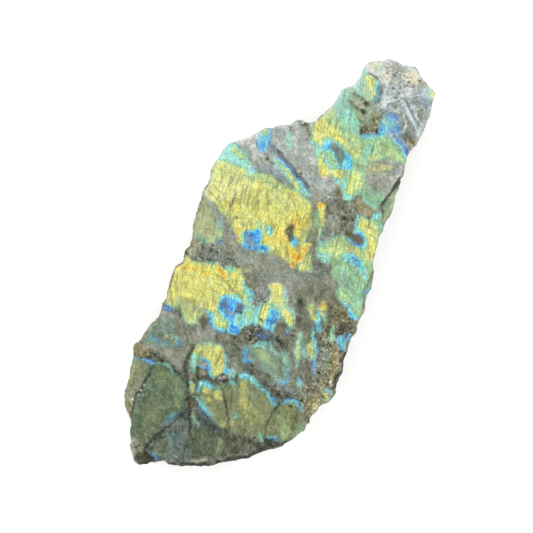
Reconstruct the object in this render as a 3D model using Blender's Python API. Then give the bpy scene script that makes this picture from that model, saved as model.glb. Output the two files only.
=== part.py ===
"""A semi-polished slab of labradorite: one natural stone, polished on its upper face, broken along its
sides and sawn flat on its back. It lies on the back, with its length along +Y. Points are in millimetres."""

import bmesh
import bpy
from mathutils import Euler, Vector, noise

MM = 0.001
THICKNESS = 18.0  # from the sawn back to the polished face
FLANK_STEPS = (  # height above the back and mean set-back from the outline
    (0.0, 1.9),
    (1.5, 0.9),
    (3.8, 0.5),
    (6.2, 0.35),
    (8.6, 0.3),
    (11.0, 0.25),
    (13.4, 0.2),
    (15.2, 0.15),
)
DEEPEST = 3.4  # the most that any ring stands back
CLEAVAGE = (7.4, 4.6)  # length and height of the steps that the stone breaks into
SHOULDER_FALL = 0.85  # how far the broken shoulder drops for each millimetre of its width
FISSURE_WIDTH = 0.7

# The outline seen from above, clockwise from the top of the head: x, y and the width of the broken
# shoulder between the outline and the polished face.
OUTLINE = (
    (6.0, 89.1, 4.2), (7.6, 88.8, 3.8), (9.0, 87.7, 2.8), (12.2, 86.1, 1.2), (14.2, 85.5, 0.7),
    (16.1, 85.1, 0.6), (17.2, 84.4, 0.6), (18.0, 82.6, 0.6), (18.9, 80.4, 0.7), (19.4, 76.8, 0.8),
    (20.1, 74.4, 0.9), (20.3, 72.0, 0.8), (20.8, 68.6, 0.8), (20.7, 65.0, 0.9), (20.2, 62.6, 0.7),
    (20.5, 59.4, 0.6), (21.4, 55.2, 0.6), (22.2, 52.2, 0.6), (23.3, 48.9, 0.5), (24.2, 44.2, 0.5),
    (24.9, 41.0, 0.5), (25.6, 38.2, 0.5), (25.5, 34.4, 0.5), (26.3, 31.0, 0.5), (25.9, 29.7, 0.5),
    (26.9, 26.0, 0.4), (28.1, 21.6, 0.4), (29.3, 17.8, 0.5), (29.9, 16.8, 0.9), (30.7, 16.7, 1.1),
    (31.4, 15.4, 1.1), (32.1, 13.4, 1.0), (32.4, 11.2, 1.0), (33.3, 6.8, 0.9), (34.8, 2.2, 0.6),
    (35.3, 0.0, 0.5), (35.2, -2.0, 0.6), (35.9, -6.4, 0.9), (35.7, -9.0, 0.8), (36.6, -13.4, 1.1),
    (38.0, -18.4, 1.5), (39.4, -22.8, 1.2), (40.3, -26.4, 1.0), (40.9, -29.2, 0.9), (40.7, -31.6, 0.9),
    (39.9, -34.5, 0.8), (38.6, -36.4, 0.9), (38.1, -37.7, 1.0), (38.5, -39.0, 1.2), (38.4, -40.2, 1.2),
    (37.6, -41.2, 1.1), (37.4, -42.6, 0.8), (37.6, -44.0, 0.6), (37.3, -46.0, 0.6), (37.8, -47.9, 0.6),
    (37.3, -49.8, 0.8), (35.9, -52.9, 1.0), (34.5, -55.0, 0.9), (33.2, -57.3, 0.9), (32.2, -58.7, 1.1),
    (30.4, -60.4, 1.2), (27.8, -63.4, 1.3), (25.6, -65.4, 1.3), (23.6, -67.6, 1.2), (21.3, -69.8, 1.4),
    (18.6, -71.7, 1.5), (16.5, -73.4, 1.8), (15.5, -74.6, 2.4), (14.5, -76.2, 2.4), (12.0, -77.8, 2.4),
    (10.2, -78.9, 2.4), (7.0, -80.4, 2.2), (3.6, -82.2, 1.8), (1.2, -83.3, 1.2), (0.3, -83.6, 0.8),
    (-0.3, -83.1, 0.6), (-1.5, -83.1, 0.6), (-2.9, -84.5, 0.7), (-4.5, -85.4, 1.0), (-5.1, -86.8, 1.4),
    (-6.1, -88.0, 1.6), (-7.8, -88.7, 1.6), (-9.5, -89.1, 1.6), (-11.5, -88.4, 1.7), (-13.2, -86.9, 1.6),
    (-15.6, -84.9, 1.4), (-16.4, -83.6, 1.1), (-16.5, -82.4, 0.9), (-17.8, -79.5, 0.8), (-19.0, -77.6, 0.8),
    (-21.3, -75.2, 0.8), (-22.2, -74.0, 0.9), (-24.4, -73.0, 1.0), (-25.3, -71.9, 0.9), (-25.9, -70.2, 0.6),
    (-27.3, -65.8, 0.5), (-28.9, -60.4, 0.5), (-29.8, -57.8, 0.5), (-31.0, -54.8, 0.7), (-32.2, -52.7, 1.0),
    (-32.3, -51.2, 1.1), (-31.1, -48.1, 0.9), (-30.9, -44.8, 0.8), (-31.3, -41.9, 0.9), (-30.3, -40.4, 0.9),
    (-29.8, -38.8, 0.7), (-29.9, -35.2, 0.7), (-30.8, -33.0, 0.8), (-30.4, -31.5, 0.6), (-30.8, -29.8, 0.7),
    (-31.6, -28.0, 0.7), (-33.0, -23.8, 0.6), (-33.9, -20.8, 0.6), (-33.8, -18.9, 0.8), (-32.4, -16.4, 0.9),
    (-32.5, -14.6, 0.7), (-33.5, -11.8, 1.0), (-32.9, -10.0, 0.8), (-34.2, -6.2, 0.8), (-35.7, -2.2, 0.6),
    (-36.9, 1.7, 0.6), (-37.2, 5.2, 0.5), (-38.4, 10.2, 0.5), (-38.7, 13.4, 0.5), (-39.8, 17.8, 0.5),
    (-40.4, 22.4, 0.5), (-40.1, 26.6, 0.5), (-39.7, 29.0, 0.6), (-39.0, 30.5, 0.7), (-37.8, 31.9, 0.9),
    (-35.3, 33.8, 1.6), (-34.6, 35.6, 1.9), (-33.1, 38.2, 1.6), (-31.9, 39.7, 0.9), (-31.4, 41.0, 0.6),
    (-30.6, 42.1, 0.6), (-29.2, 42.9, 0.6), (-28.2, 42.5, 0.7), (-27.5, 43.5, 0.9), (-27.1, 45.1, 1.0),
    (-25.7, 46.3, 1.1), (-23.0, 48.0, 1.5), (-21.9, 49.8, 1.8), (-20.4, 51.0, 1.9), (-17.0, 52.4, 1.5),
    (-15.8, 53.2, 0.8), (-15.2, 54.6, 0.5), (-14.8, 56.8, 0.5), (-13.4, 61.0, 0.5), (-13.2, 62.8, 0.5),
    (-12.7, 63.8, 0.6), (-13.1, 65.6, 0.7), (-12.8, 67.2, 0.8), (-13.0, 68.6, 0.9), (-11.6, 69.7, 0.8),
    (-10.9, 71.0, 0.8), (-9.9, 72.2, 0.8), (-9.7, 74.6, 0.9), (-9.4, 76.4, 0.9), (-10.2, 79.5, 1.0),
    (-9.6, 80.7, 1.0), (-9.8, 81.9, 0.9), (-8.2, 83.2, 1.0), (-6.4, 84.8, 1.1), (-5.3, 84.9, 1.6),
    (-3.2, 86.8, 2.4), (-1.0, 87.7, 2.8), (1.4, 87.4, 2.8), (2.8, 87.5, 3.0), (4.4, 88.7, 3.8),
)

# The lower ledge on the right of the head, where a splinter came away beside the polished face.
LEDGE = (
    (22.6, 52.6), (21.9, 50.6), (20.8, 49.0), (20.5, 45.8), (20.5, 42.6), (20.8, 39.8), (21.3, 38.0),
    (22.2, 36.2), (23.6, 34.2), (25.0, 31.9), (26.4, 30.1), (31.0, 30.5), (31.0, 52.6),
)
LEDGE_STEP = 1.3  # drop right at the polished face
LEDGE_SLOPE = 0.62  # further drop for each millimetre outwards

# Conchoidal chips: centre, radii and turn about Z in degrees.
CHIPS = {
    "pale_chip": ((-24.3, -73.9, 19.0), (5.6, 2.6, 4.2), -44),
    "tail_corner": ((-5.8, -87.8, 20.2), (4.4, 4.0, 4.6), 30),
    "side_hollow": ((40.3, -26.2, 17.4), (1.9, 3.7, 4.4), 14),
    "brown_rim": ((39.4, -39.4, 18.2), (2.4, 3.6, 3.4), 6),
    "shoulder_scar": ((-34.8, 36.6, 18.8), (2.6, 5.4, 3.6), -32),
    "head_scar": ((6.2, 88.9, 18.6), (7.0, 4.4, 3.6), -6),
    "bay": ((-1.4, -83.9, 18.6), (1.9, 1.4, 3.2), 10),
    "upper_step": ((-19.8, 51.9, 18.8), (5.4, 2.6, 3.4), 30),
    "right_nick": ((31.9, 17.4, 19.0), (2.2, 3.0, 3.0), -24),
}

# Scars low on the flanks, under the outline seen from above.
FLANK_SCARS = {
    "right_scar": ((41.6, -7.0, 5.4), (7.8, 9.5, 6.2), 0),
    "upper_right_scar": ((35.6, 24.0, 5.0), (8.4, 11.5, 7.0), 14),
    "left_scar": ((-46.2, 15.0, 6.2), (8.8, 12.5, 6.6), -4),
    "waist_scar": ((-38.6, -34.0, 4.6), (9.3, 8.2, 6.8), 4),
    "lower_left_scar": ((-36.2, -64.5, 6.4), (9.8, 9.6, 6.4), 16),
    "lower_right_scar": ((29.4, -75.4, 4.8), (7.4, 12.0, 6.6), -47),
    "head_left_scar": ((-20.4, 66.0, 6.8), (9.0, 7.4, 6.0), -8),
    "upper_left_scar": ((-28.2, 56.2, 4.6), (8.6, 8.0, 6.4), -30),
    "head_right_scar": ((27.2, 71.0, 4.2), (7.6, 10.4, 6.6), -3),
}

# Pits left open by the polish: centre, radii across and along, depth.
PITS = {
    "black_pit": ((13.7, -23.9), (1.5, 0.7), 0.6),
    "tall_pit": ((3.4, -26.4), (0.6, 1.5), 0.6),
    "gold_pit": ((-2.1, 11.2), (0.9, 1.0), 0.7),
    "upper_gold_pit": ((-4.1, 13.0), (1.1, 0.9), 0.5),
    "lower_pit": ((28.9, -57.9), (1.4, 1.0), 0.8),
    "small_lower_pit": ((25.7, -60.9), (0.7, 0.8), 0.6),
    "grey_pit": ((31.6, -9.0), (1.3, 1.3), 0.5),
    "band_pit": ((23.4, -41.2), (1.3, 0.6), 0.5),
    "low_band_pit": ((3.4, -46.5), (1.4, 0.6), 0.6),
    "crossing_pit": ((-3.6, -59.6), (1.0, 1.2), 0.6),
    "green_pit": ((6.1, 61.8), (0.4, 1.2), 0.5),
    "head_pit": ((-2.6, 68.4), (0.9, 0.7), 0.5),
}

FISSURES = {
    "left_fissure": (
        (-22.0, -55.4), (-22.3, -58.4), (-22.6, -61.0), (-22.1, -63.6), (-22.3, -66.0), (-21.9, -69.0),
        (-21.5, -71.2), (-20.8, -73.2), (-20.1, -75.5),
    ),
    "long_fissure": (
        (-11.8, -49.6), (-9.2, -53.0), (-6.6, -56.6), (-5.2, -59.0), (-3.0, -61.8), (-1.4, -64.4),
        (0.6, -67.2), (1.4, -69.2), (2.3, -72.4), (3.5, -75.6),
    ),
    "slant_fissure": (
        (3.0, -47.9), (5.3, -50.7), (7.4, -53.4), (8.7, -54.8), (10.2, -56.9), (12.4, -59.5), (14.4, -61.3),
    ),
    "right_fissure": ((24.5, -44.6), (24.4, -48.0), (24.7, -52.0), (25.5, -55.2), (26.7, -57.4)),
    "tail_fissure": ((-5.7, -70.2), (-7.5, -73.2), (-8.9, -77.2), (-9.7, -81.2)),
}


def clear_scene():
    for item in list(bpy.data.objects):
        bpy.data.objects.remove(item, do_unlink=True)


def collection(name):
    made = bpy.data.collections.new(name)
    bpy.context.scene.collection.children.link(made)
    return made


def filled_outline(name, points):
    """A flat face inside a closed row of points, in metres."""
    curve = bpy.data.curves.new(name, "CURVE")
    curve.dimensions = "2D"
    curve.fill_mode = "BOTH"
    spline = curve.splines.new("POLY")
    spline.points.add(len(points) - 1)
    for knot, point in zip(spline.points, points):
        knot.co = (point[0] * MM, point[1] * MM, 0.0, 1.0)
    spline.use_cyclic_u = True
    guide = bpy.data.objects.new(name, curve)
    face = bpy.data.meshes.new_from_object(guide)
    bpy.data.objects.remove(guide)
    made = bmesh.new()
    made.from_mesh(face)
    bmesh.ops.remove_doubles(made, verts=made.verts, dist=0.00001)
    bmesh.ops.dissolve_faces(made, faces=made.faces)
    made.faces.ensure_lookup_table()
    if made.faces[0].normal.z < 0:
        bmesh.ops.reverse_faces(made, faces=made.faces)
    return made


def lift(made, face, height, floor=False):
    """Extrudes one face straight up and returns the new top. The face below stays only as the floor."""
    grown = bmesh.ops.extrude_face_region(made, geom=[face])
    if not floor:
        bmesh.ops.delete(made, geom=[face], context="FACES_ONLY")
    ring = [item for item in grown["geom"] if isinstance(item, bmesh.types.BMVert)]
    bmesh.ops.translate(made, verts=ring, vec=(0.0, 0.0, height))
    return next(item for item in grown["geom"] if isinstance(item, bmesh.types.BMFace))


def rim(points):
    """Stations along the outline: place, inward direction and width of the broken shoulder."""
    stations = []
    for start, end in zip(points, points[1:] + points[:1]):
        stations.append(Vector(start))
        stations.append((Vector(start) + Vector(end)) / 2)
    count = len(stations)
    found = []
    for index, at in enumerate(stations):
        along = Vector((0.0, 0.0))
        for reach in range(1, 9):
            along += (stations[(index + reach) % count] - stations[index - reach]).xy.normalized()
        along.normalize()
        found.append((at.xy, Vector((along.y, -along.x)), at.z))
    return found


def rough(at, height, grain, seed):
    return noise.noise(Vector((at.x / grain, at.y / grain, height / grain + seed)))


def broken(at, height):
    """How far the flank stands back at a place: broad hollows, cleavage steps and a fine grain."""
    length, rise = CLEAVAGE
    block = Vector(((at.x + at.y) / length, (at.x - at.y) / length, height / rise + 0.17 * at.y / length))
    hollow = max(0.0, rough(at, 0.5 * height, 19.0, 3.0) + 0.05)
    keeps = min(1.0, (THICKNESS - height) / 9.0)
    return keeps * (4.4 * hollow + 1.0 * abs(noise.cell(block))) + 0.45 * rough(at, height, 2.6, 40.0)


def shoulder_height(at, width):
    return THICKNESS - 0.35 - SHOULDER_FALL * width * (1.0 + 0.6 * rough(at, 0.0, 4.0, 21.0))


def slab_mesh():
    """Grows the slab ring by ring from its back, each ring set back from the outline by a broken amount."""
    stations = rim(OUTLINE)
    made = filled_outline("outline", [at for at, _, _ in stations])
    layer = made.verts.layers.int.new("station")
    places = {(round(at.x, 2), round(at.y, 2)): index for index, (at, _, _) in enumerate(stations)}
    for vert in made.verts:
        vert[layer] = places[(round(vert.co.x / MM, 2), round(vert.co.y / MM, 2))]

    def settle(face, height_of, set_back_of):
        for vert in face.verts:
            at, away, width = stations[vert[layer]]
            moved = at + away * set_back_of(at, width)
            vert.co = Vector((moved.x, moved.y, height_of(at, width))) * MM

    top = made.faces[0]
    for step, (height, set_back) in enumerate(FLANK_STEPS):
        top = lift(made, top, MM, floor=step == 1) if step else top
        settle(
            top,
            lambda at, width: (height + min(height, 0.9) * rough(at, height, 6.0, 90.0))
            * shoulder_height(at, width) / THICKNESS,
            lambda at, _: min(DEEPEST, max(0.05, set_back + broken(at, height))),
        )
    top = lift(made, top, MM)
    settle(top, shoulder_height, lambda at, width: 0.0)
    top = lift(made, top, MM)
    settle(
        top,
        lambda at, width: THICKNESS,
        lambda at, width: width * (1.0 + 0.5 * rough(at, 0.0, 2.6, 7.0)),
    )
    bmesh.ops.recalc_face_normals(made, faces=made.faces)
    return made


def object_from(made, name, home):
    mesh = bpy.data.meshes.new(name)
    made.to_mesh(mesh)
    made.free()
    item = bpy.data.objects.new(name, mesh)
    home.objects.link(item)
    return item


def ledge_cutter(home):
    """A block over the lower ledge, with a floor that falls away outwards."""
    made = filled_outline("ledge", LEDGE)
    edge = LEDGE[4][0]
    lift(made, made.faces[0], 9 * MM, floor=True)
    for vert in made.verts:
        outwards = max(0.0, vert.co.x / MM - edge)
        if vert.co.z > 0:
            vert.co.z = (THICKNESS + 4.0) * MM
        else:
            wave = 0.5 * rough(vert.co.xy / MM, 0.0, 3.0, 60.0)
            vert.co.z = (THICKNESS - LEDGE_STEP - LEDGE_SLOPE * outwards + wave) * MM
    bmesh.ops.recalc_face_normals(made, faces=made.faces)
    return object_from(made, "cut_ledge", home)


def scoop(name, centre, radii, turn, home, detail=2):
    """A rough egg that leaves a conchoidal hollow where it is cut away."""
    made = bmesh.new()
    bmesh.ops.create_icosphere(made, subdivisions=detail, radius=1.0)
    for vert in made.verts:
        vert.co *= 1.0 + 0.10 * noise.noise(vert.co * 1.7 + Vector((centre[0], centre[1], 0.0)))
        vert.co = Vector((vert.co.x * radii[0], vert.co.y * radii[1], vert.co.z * radii[2]))
    bmesh.ops.rotate(made, verts=made.verts, matrix=Euler((0.0, 0.0, turn * 0.0174533)).to_matrix())
    for vert in made.verts:
        vert.co = (vert.co + Vector(centre)) * MM
    return object_from(made, name, home)


def pit(name, centre, radii, depth, home):
    """A shallow bowl: the lowest part of an egg whose middle stands above the polished face."""
    rise = 1.2 * depth
    stretch = 1.0 / (1.0 - (rise / (rise + depth)) ** 2) ** 0.5
    size = (radii[0] * stretch, radii[1] * stretch, rise + depth)
    return scoop(name, (*centre, THICKNESS + rise), size, 0, home, detail=1)


def fissure_cutter(name, points, home):
    """A diamond-shaped rod along an open crack, its lower half under the polished face."""
    curve = bpy.data.curves.new(name, "CURVE")
    curve.dimensions = "3D"
    curve.bevel_depth = FISSURE_WIDTH / 2 * MM
    curve.bevel_resolution = 0
    curve.use_fill_caps = True
    spline = curve.splines.new("POLY")
    spline.points.add(len(points) - 1)
    for knot, (x, y) in zip(spline.points, points):
        knot.co = (x * MM, y * MM, (THICKNESS + 0.06) * MM, 1.0)
    spline.points[0].radius = spline.points[-1].radius = 0.35
    guide = bpy.data.objects.new(name, curve)
    rod = bmesh.new()
    rod.from_mesh(bpy.data.meshes.new_from_object(guide))
    bpy.data.objects.remove(guide)
    bmesh.ops.remove_doubles(rod, verts=rod.verts, dist=0.00001)
    bmesh.ops.recalc_face_normals(rod, faces=rod.faces)
    return object_from(rod, name, home)


def cut(target, cutter):
    step = target.modifiers.new(cutter.name, "BOOLEAN")
    step.operation = "DIFFERENCE"
    step.solver = "EXACT"
    step.object = cutter
    cutter.display_type = "WIRE"
    cutter.hide_render = True


def stone():
    made = bpy.data.materials.new("labradorite")
    made.use_nodes = True
    surface = made.node_tree.nodes["Principled BSDF"]
    surface.inputs["Base Color"].default_value = (0.22, 0.24, 0.18, 1.0)
    surface.inputs["Roughness"].default_value = 0.3
    return made


def main():
    clear_scene()
    parts = collection("labradorite_slab")
    cutters = collection("cutters")
    cutters.hide_render = True
    slab = object_from(slab_mesh(), "slab", parts)
    slab.data.materials.append(stone())
    cut(slab, ledge_cutter(cutters))
    for name, (centre, radii, turn) in {**CHIPS, **FLANK_SCARS}.items():
        cut(slab, scoop(name, centre, radii, turn, cutters))
    for name, (centre, radii, depth) in PITS.items():
        cut(slab, pit(name, centre, radii, depth, cutters))
    for name, points in FISSURES.items():
        cut(slab, fissure_cutter(name, points, cutters))


main()
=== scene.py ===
"""A semi-polished slab of labradorite: one polished face that flashes blue, green and gold through grey
feldspar, broken flanks and a sawn back. Lengths are in millimetres where a name doesn't say otherwise."""

import logging
import math
from abc import ABC, abstractmethod
from dataclasses import dataclass
from enum import Enum
from typing import Any, ClassVar, Optional, Sequence, Union

import bmesh
import bpy
import numpy as np
from mathutils import Vector, noise
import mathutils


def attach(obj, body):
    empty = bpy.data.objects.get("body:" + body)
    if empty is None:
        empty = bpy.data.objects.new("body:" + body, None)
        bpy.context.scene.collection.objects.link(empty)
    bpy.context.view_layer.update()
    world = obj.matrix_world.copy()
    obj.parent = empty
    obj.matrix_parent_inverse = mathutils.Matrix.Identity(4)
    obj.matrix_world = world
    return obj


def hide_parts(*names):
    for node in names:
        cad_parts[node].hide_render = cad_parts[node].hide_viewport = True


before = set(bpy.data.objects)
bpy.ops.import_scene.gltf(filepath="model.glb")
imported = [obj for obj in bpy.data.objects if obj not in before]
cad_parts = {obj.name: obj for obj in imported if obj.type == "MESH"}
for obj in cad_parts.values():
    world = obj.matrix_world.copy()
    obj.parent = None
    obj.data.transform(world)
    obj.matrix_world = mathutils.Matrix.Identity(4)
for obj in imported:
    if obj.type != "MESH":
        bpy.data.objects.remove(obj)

logging.basicConfig(level=logging.INFO, format="%(levelname)s %(message)s")
log = logging.getLogger("labradorite_slab")

MM = 0.001
NODE = "slab"
BODY = "root"

Point = tuple[float, float]
Points = tuple[Point, ...]
Range = tuple[float, float]
Colour = tuple[float, float, float, float]


def srgb(red: int, green: int, blue: int) -> Colour:
    """A colour picked on screen as the linear values that a shader takes.

    Args:
        red: Red, 0 to 255.
        green: Green, 0 to 255.
        blue: Blue, 0 to 255.

    Returns:
        Linear red, green, blue and an alpha of 1.
    """
    linear = [
        part / 12.92 if part <= 0.04045 else ((part + 0.055) / 1.055) ** 2.4
        for part in (red / 255, green / 255, blue / 255)
    ]
    return (linear[0], linear[1], linear[2], 1.0)


def eased(value: np.ndarray, low: float, high: float) -> np.ndarray:
    """A smooth step from 0 at low to 1 at high.

    Args:
        value: Where to read the step.
        low: Where it leaves 0.
        high: Where it reaches 1.

    Returns:
        The step, as an array like value.
    """
    share = np.clip((value - low) / (high - low), 0.0, 1.0)
    return share * share * (3.0 - 2.0 * share)


def vectors(items: bpy.types.bpy_prop_collection, name: str) -> np.ndarray:
    """One vector of each point or face of a mesh.

    Args:
        items: The mesh's points or faces.
        name: The vector's name.

    Returns:
        The vectors, an (n, 3) array.
    """
    flat = np.empty(len(items) * 3, np.float32)
    items.foreach_get(name, flat)
    return flat.reshape(-1, 3).astype(float)


class Flash(Enum):
    """Hues of the flash in the order of the feldspar's layers, thin ones first, as places on a ramp."""

    NAVY = 0.0
    DEEP_BLUE = 0.1
    BLUE = 0.2
    CYAN = 0.32
    ICE = 0.42
    TEAL = 0.5
    GREEN = 0.6
    LIME = 0.7
    YELLOW = 0.78
    GOLD = 0.88
    ORANGE = 1.0


NAVY, DEEP_BLUE, BLUE, CYAN, ICE, TEAL, GREEN, LIME, YELLOW, GOLD, ORANGE = Flash


class Matrix(Enum):
    """Tones of the stone where it doesn't flash: how light it is, 0 to 1, and how warm, -1 to 1."""

    BLACK = (0.0, 0.2)
    CHARCOAL = (0.14, 0.1)
    DARK = (0.31, 0.05)
    UMBER = (0.3, 0.75)
    MOSS = (0.31, 0.0)
    SLATE = (0.44, -0.6)
    DEEP_SLATE = (0.31, -0.7)
    OLIVE = (0.46, 0.08)
    SMOKE = (0.52, -0.2)
    GREY = (0.63, 0.0)
    VIOLET = (0.66, -0.5)
    PALE = (0.81, -0.15)
    TAN = (0.62, 0.8)
    RUST = (0.44, 1.0)
    ASH = (0.92, -0.1)
    CREAM = (0.94, 0.4)
    FROST = (0.95, -0.3)
    WHITE = (1.0, 0.0)


(BLACK, CHARCOAL, DARK, UMBER, MOSS, SLATE, DEEP_SLATE, OLIVE, SMOKE,
 GREY, VIOLET, PALE, TAN, RUST, ASH, CREAM, FROST, WHITE) = Matrix


class Shape(ABC):
    """A place on the polished face, seen from above."""

    @abstractmethod
    def depth(self, at: np.ndarray) -> np.ndarray:
        """How far inside the shape each point of an (n, 2) array lies; it is below 0 outside."""

    @abstractmethod
    def span(self) -> tuple[float, float, float, float]:
        """The lowest x and y and the highest x and y."""


@dataclass(frozen=True)
class Area(Shape):
    """A closed outline."""

    outline: Points

    def depth(self, at: np.ndarray) -> np.ndarray:
        """How far inside the outline each point lies."""
        corners = np.array(self.outline)
        nearest = np.full(len(at), np.inf)
        inside = np.zeros(len(at), bool)
        for start, end in zip(corners, np.roll(corners, -1, axis=0)):
            along = end - start
            away = at - start
            share = np.clip(away @ along / max(float(along @ along), 1e-9), 0.0, 1.0)
            nearest = np.minimum(nearest, ((away - share[:, None] * along) ** 2).sum(axis=1))
            if start[1] != end[1]:
                meets = away[:, 0] < along[0] * away[:, 1] / along[1]
                inside ^= ((start[1] > at[:, 1]) != (end[1] > at[:, 1])) & meets
        return np.where(inside, 1.0, -1.0) * np.sqrt(nearest)

    def span(self) -> tuple[float, float, float, float]:
        """The outline's box."""
        low, high = np.min(self.outline, axis=0), np.max(self.outline, axis=0)
        return (low[0], low[1], high[0], high[1])


@dataclass(frozen=True)
class Line(Shape):
    """A streak or crack along a row of points, thinner at both ends."""

    TIP: ClassVar[float] = 0.35

    points: Points
    width: float

    def depth(self, at: np.ndarray) -> np.ndarray:
        """How far inside the streak each point lies."""
        corners = np.array(self.points)
        steps = np.linalg.norm(np.diff(corners, axis=0), axis=1)
        reached = np.concatenate([[0.0], np.cumsum(steps)]) / max(steps.sum(), 1e-9)
        best = np.full(len(at), -np.inf)
        for index, (start, end) in enumerate(zip(corners, corners[1:])):
            along = end - start
            away = at - start
            share = np.clip(away @ along / max(float(along @ along), 1e-9), 0.0, 1.0)
            place = reached[index] + share * (reached[index + 1] - reached[index])
            bulge = np.sqrt(np.clip(4 * place * (1 - place), 0.0, 1.0))
            half = self.width / 2 * (self.TIP + (1 - self.TIP) * bulge)
            best = np.maximum(best, half - np.sqrt(((away - share[:, None] * along) ** 2).sum(axis=1)))
        return best

    def span(self) -> tuple[float, float, float, float]:
        """The streak's box."""
        low, high = np.min(self.points, axis=0), np.max(self.points, axis=0)
        half = self.width / 2
        return (low[0] - half, low[1] - half, high[0] + half, high[1] + half)


@dataclass(frozen=True)
class Dot(Shape):
    """An oval grain."""

    centre: Point
    radii: Point
    turn: float

    def depth(self, at: np.ndarray) -> np.ndarray:
        """About how far inside the oval each point lies."""
        cos, sin = math.cos(math.radians(self.turn)), math.sin(math.radians(self.turn))
        away = at - np.array(self.centre)
        across = (away[:, 0] * cos + away[:, 1] * sin) / self.radii[0]
        along = (away[:, 1] * cos - away[:, 0] * sin) / self.radii[1]
        return (1.0 - np.hypot(across, along)) * min(self.radii)

    def span(self) -> tuple[float, float, float, float]:
        """The oval's box."""
        reach = max(self.radii)
        x, y = self.centre
        return (x - reach, y - reach, x + reach, y + reach)


def paired(row: Sequence[float]) -> Points:
    """The points whose x and y follow one another in a row."""
    return tuple(zip(row[::2], row[1::2]))


def area(*corners: float) -> Area:
    """An area, from the x and y of each corner in turn."""
    return Area(paired(corners))


def line(width: float, *points: float) -> Line:
    """A line, from its width and the x and y of each point in turn."""
    return Line(paired(points), width)


def dot(x: float, y: float, across: float, along: float, turn: float = 0.0) -> Dot:
    """A dot, from its centre, its two radii and its turn in degrees."""
    return Dot((x, y), (across, along), turn)


@dataclass(frozen=True)
class Flare:
    """A patch that flashes: its hue and strength at the edge and in its heart.

    Attributes:
        shape: Where it is.
        rim: Its hue at the edge.
        heart: Its hue in the heart.
        reach: How far inside the edge the heart starts.
        glow: How strong it is at the edge, 0 to 1.
        feather: How soft its edge is.
        heart_glow: How strong it is in the heart, where that differs.
    """

    shape: Shape
    rim: Flash
    heart: Flash
    reach: float = 1.6
    glow: float = 1.0
    feather: float = 0.6
    heart_glow: Optional[float] = None


@dataclass(frozen=True)
class Tone:
    """A patch of plain stone, crack, grain or stain, or of painted shade or highlight, which hides the flash
    under it.

    Attributes:
        shape: Where it is.
        matrix: Its tone.
        amount: How much of the stone's tone it changes, 0 to 1.
        feather: How soft its edge is.
        sunk: How deep it lies.
        veil: How much of the flash it hides, where that differs from the amount.
    """

    shape: Shape
    matrix: Matrix
    amount: float = 1.0
    feather: float = 0.45
    sunk: float = 0.0
    veil: Optional[float] = None


@dataclass(frozen=True)
class Grit:
    """A patch where dark and pale grains stand close together."""

    shape: Shape
    amount: float = 0.9
    feather: float = 1.2


Mark = Union[Flare, Tone, Grit]


@dataclass(frozen=True)
class Swell:
    """A small move of the rim, out or in: where it is, how far the rim is pushed and how wide the move is."""

    centre: Point
    push: Point
    reach: float


SWELLS: tuple[Swell, ...] = (
    Swell((-6.8, -88.0), (-0.2, -0.9), 8.0),
    Swell((2.1, -83.0), (0.4, -0.75), 6.0),
    Swell((18.4, -72.6), (0.6, -0.65), 7.0),
    Swell((24.4, -67.4), (0.65, -0.6), 7.0),
    Swell((23.6, 46.0), (0.75, 0.1), 8.0),
    Swell((7.0, 88.6), (0.1, 1.1), 5.5),
    Swell((11.8, 86.4), (0.25, 0.4), 4.5),
    Swell((-28.0, 44.0), (-0.3, 0.35), 6.0),
    Swell((-35.0, 35.4), (-0.35, 0.3), 6.0),
    Swell((31.0, 16.0), (0.3, 0.1), 6.0),
    Swell((38.4, -44.0), (0.3, -0.1), 8.0),
    Swell((26.3, 31.6), (0.7, 0.15), 3.2),
    Swell((27.2, 26.4), (-0.5, -0.1), 5.0),
    Swell((34.4, 3.6), (-0.3, 0.0), 4.5),
    Swell((38.7, -21.0), (0.35, 0.1), 4.5),
    Swell((36.1, -5.6), (-0.4, 0.0), 3.2),
    Swell((-40.2, 19.0), (0.4, 0.0), 9.0),
    Swell((35.4, 0.0), (-0.4, -0.1), 8.0),
    Swell((-30.6, -38.0), (0.45, 0.0), 8.0),
    Swell((-33.4, -10.0), (0.25, 0.0), 6.0),
)


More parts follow.
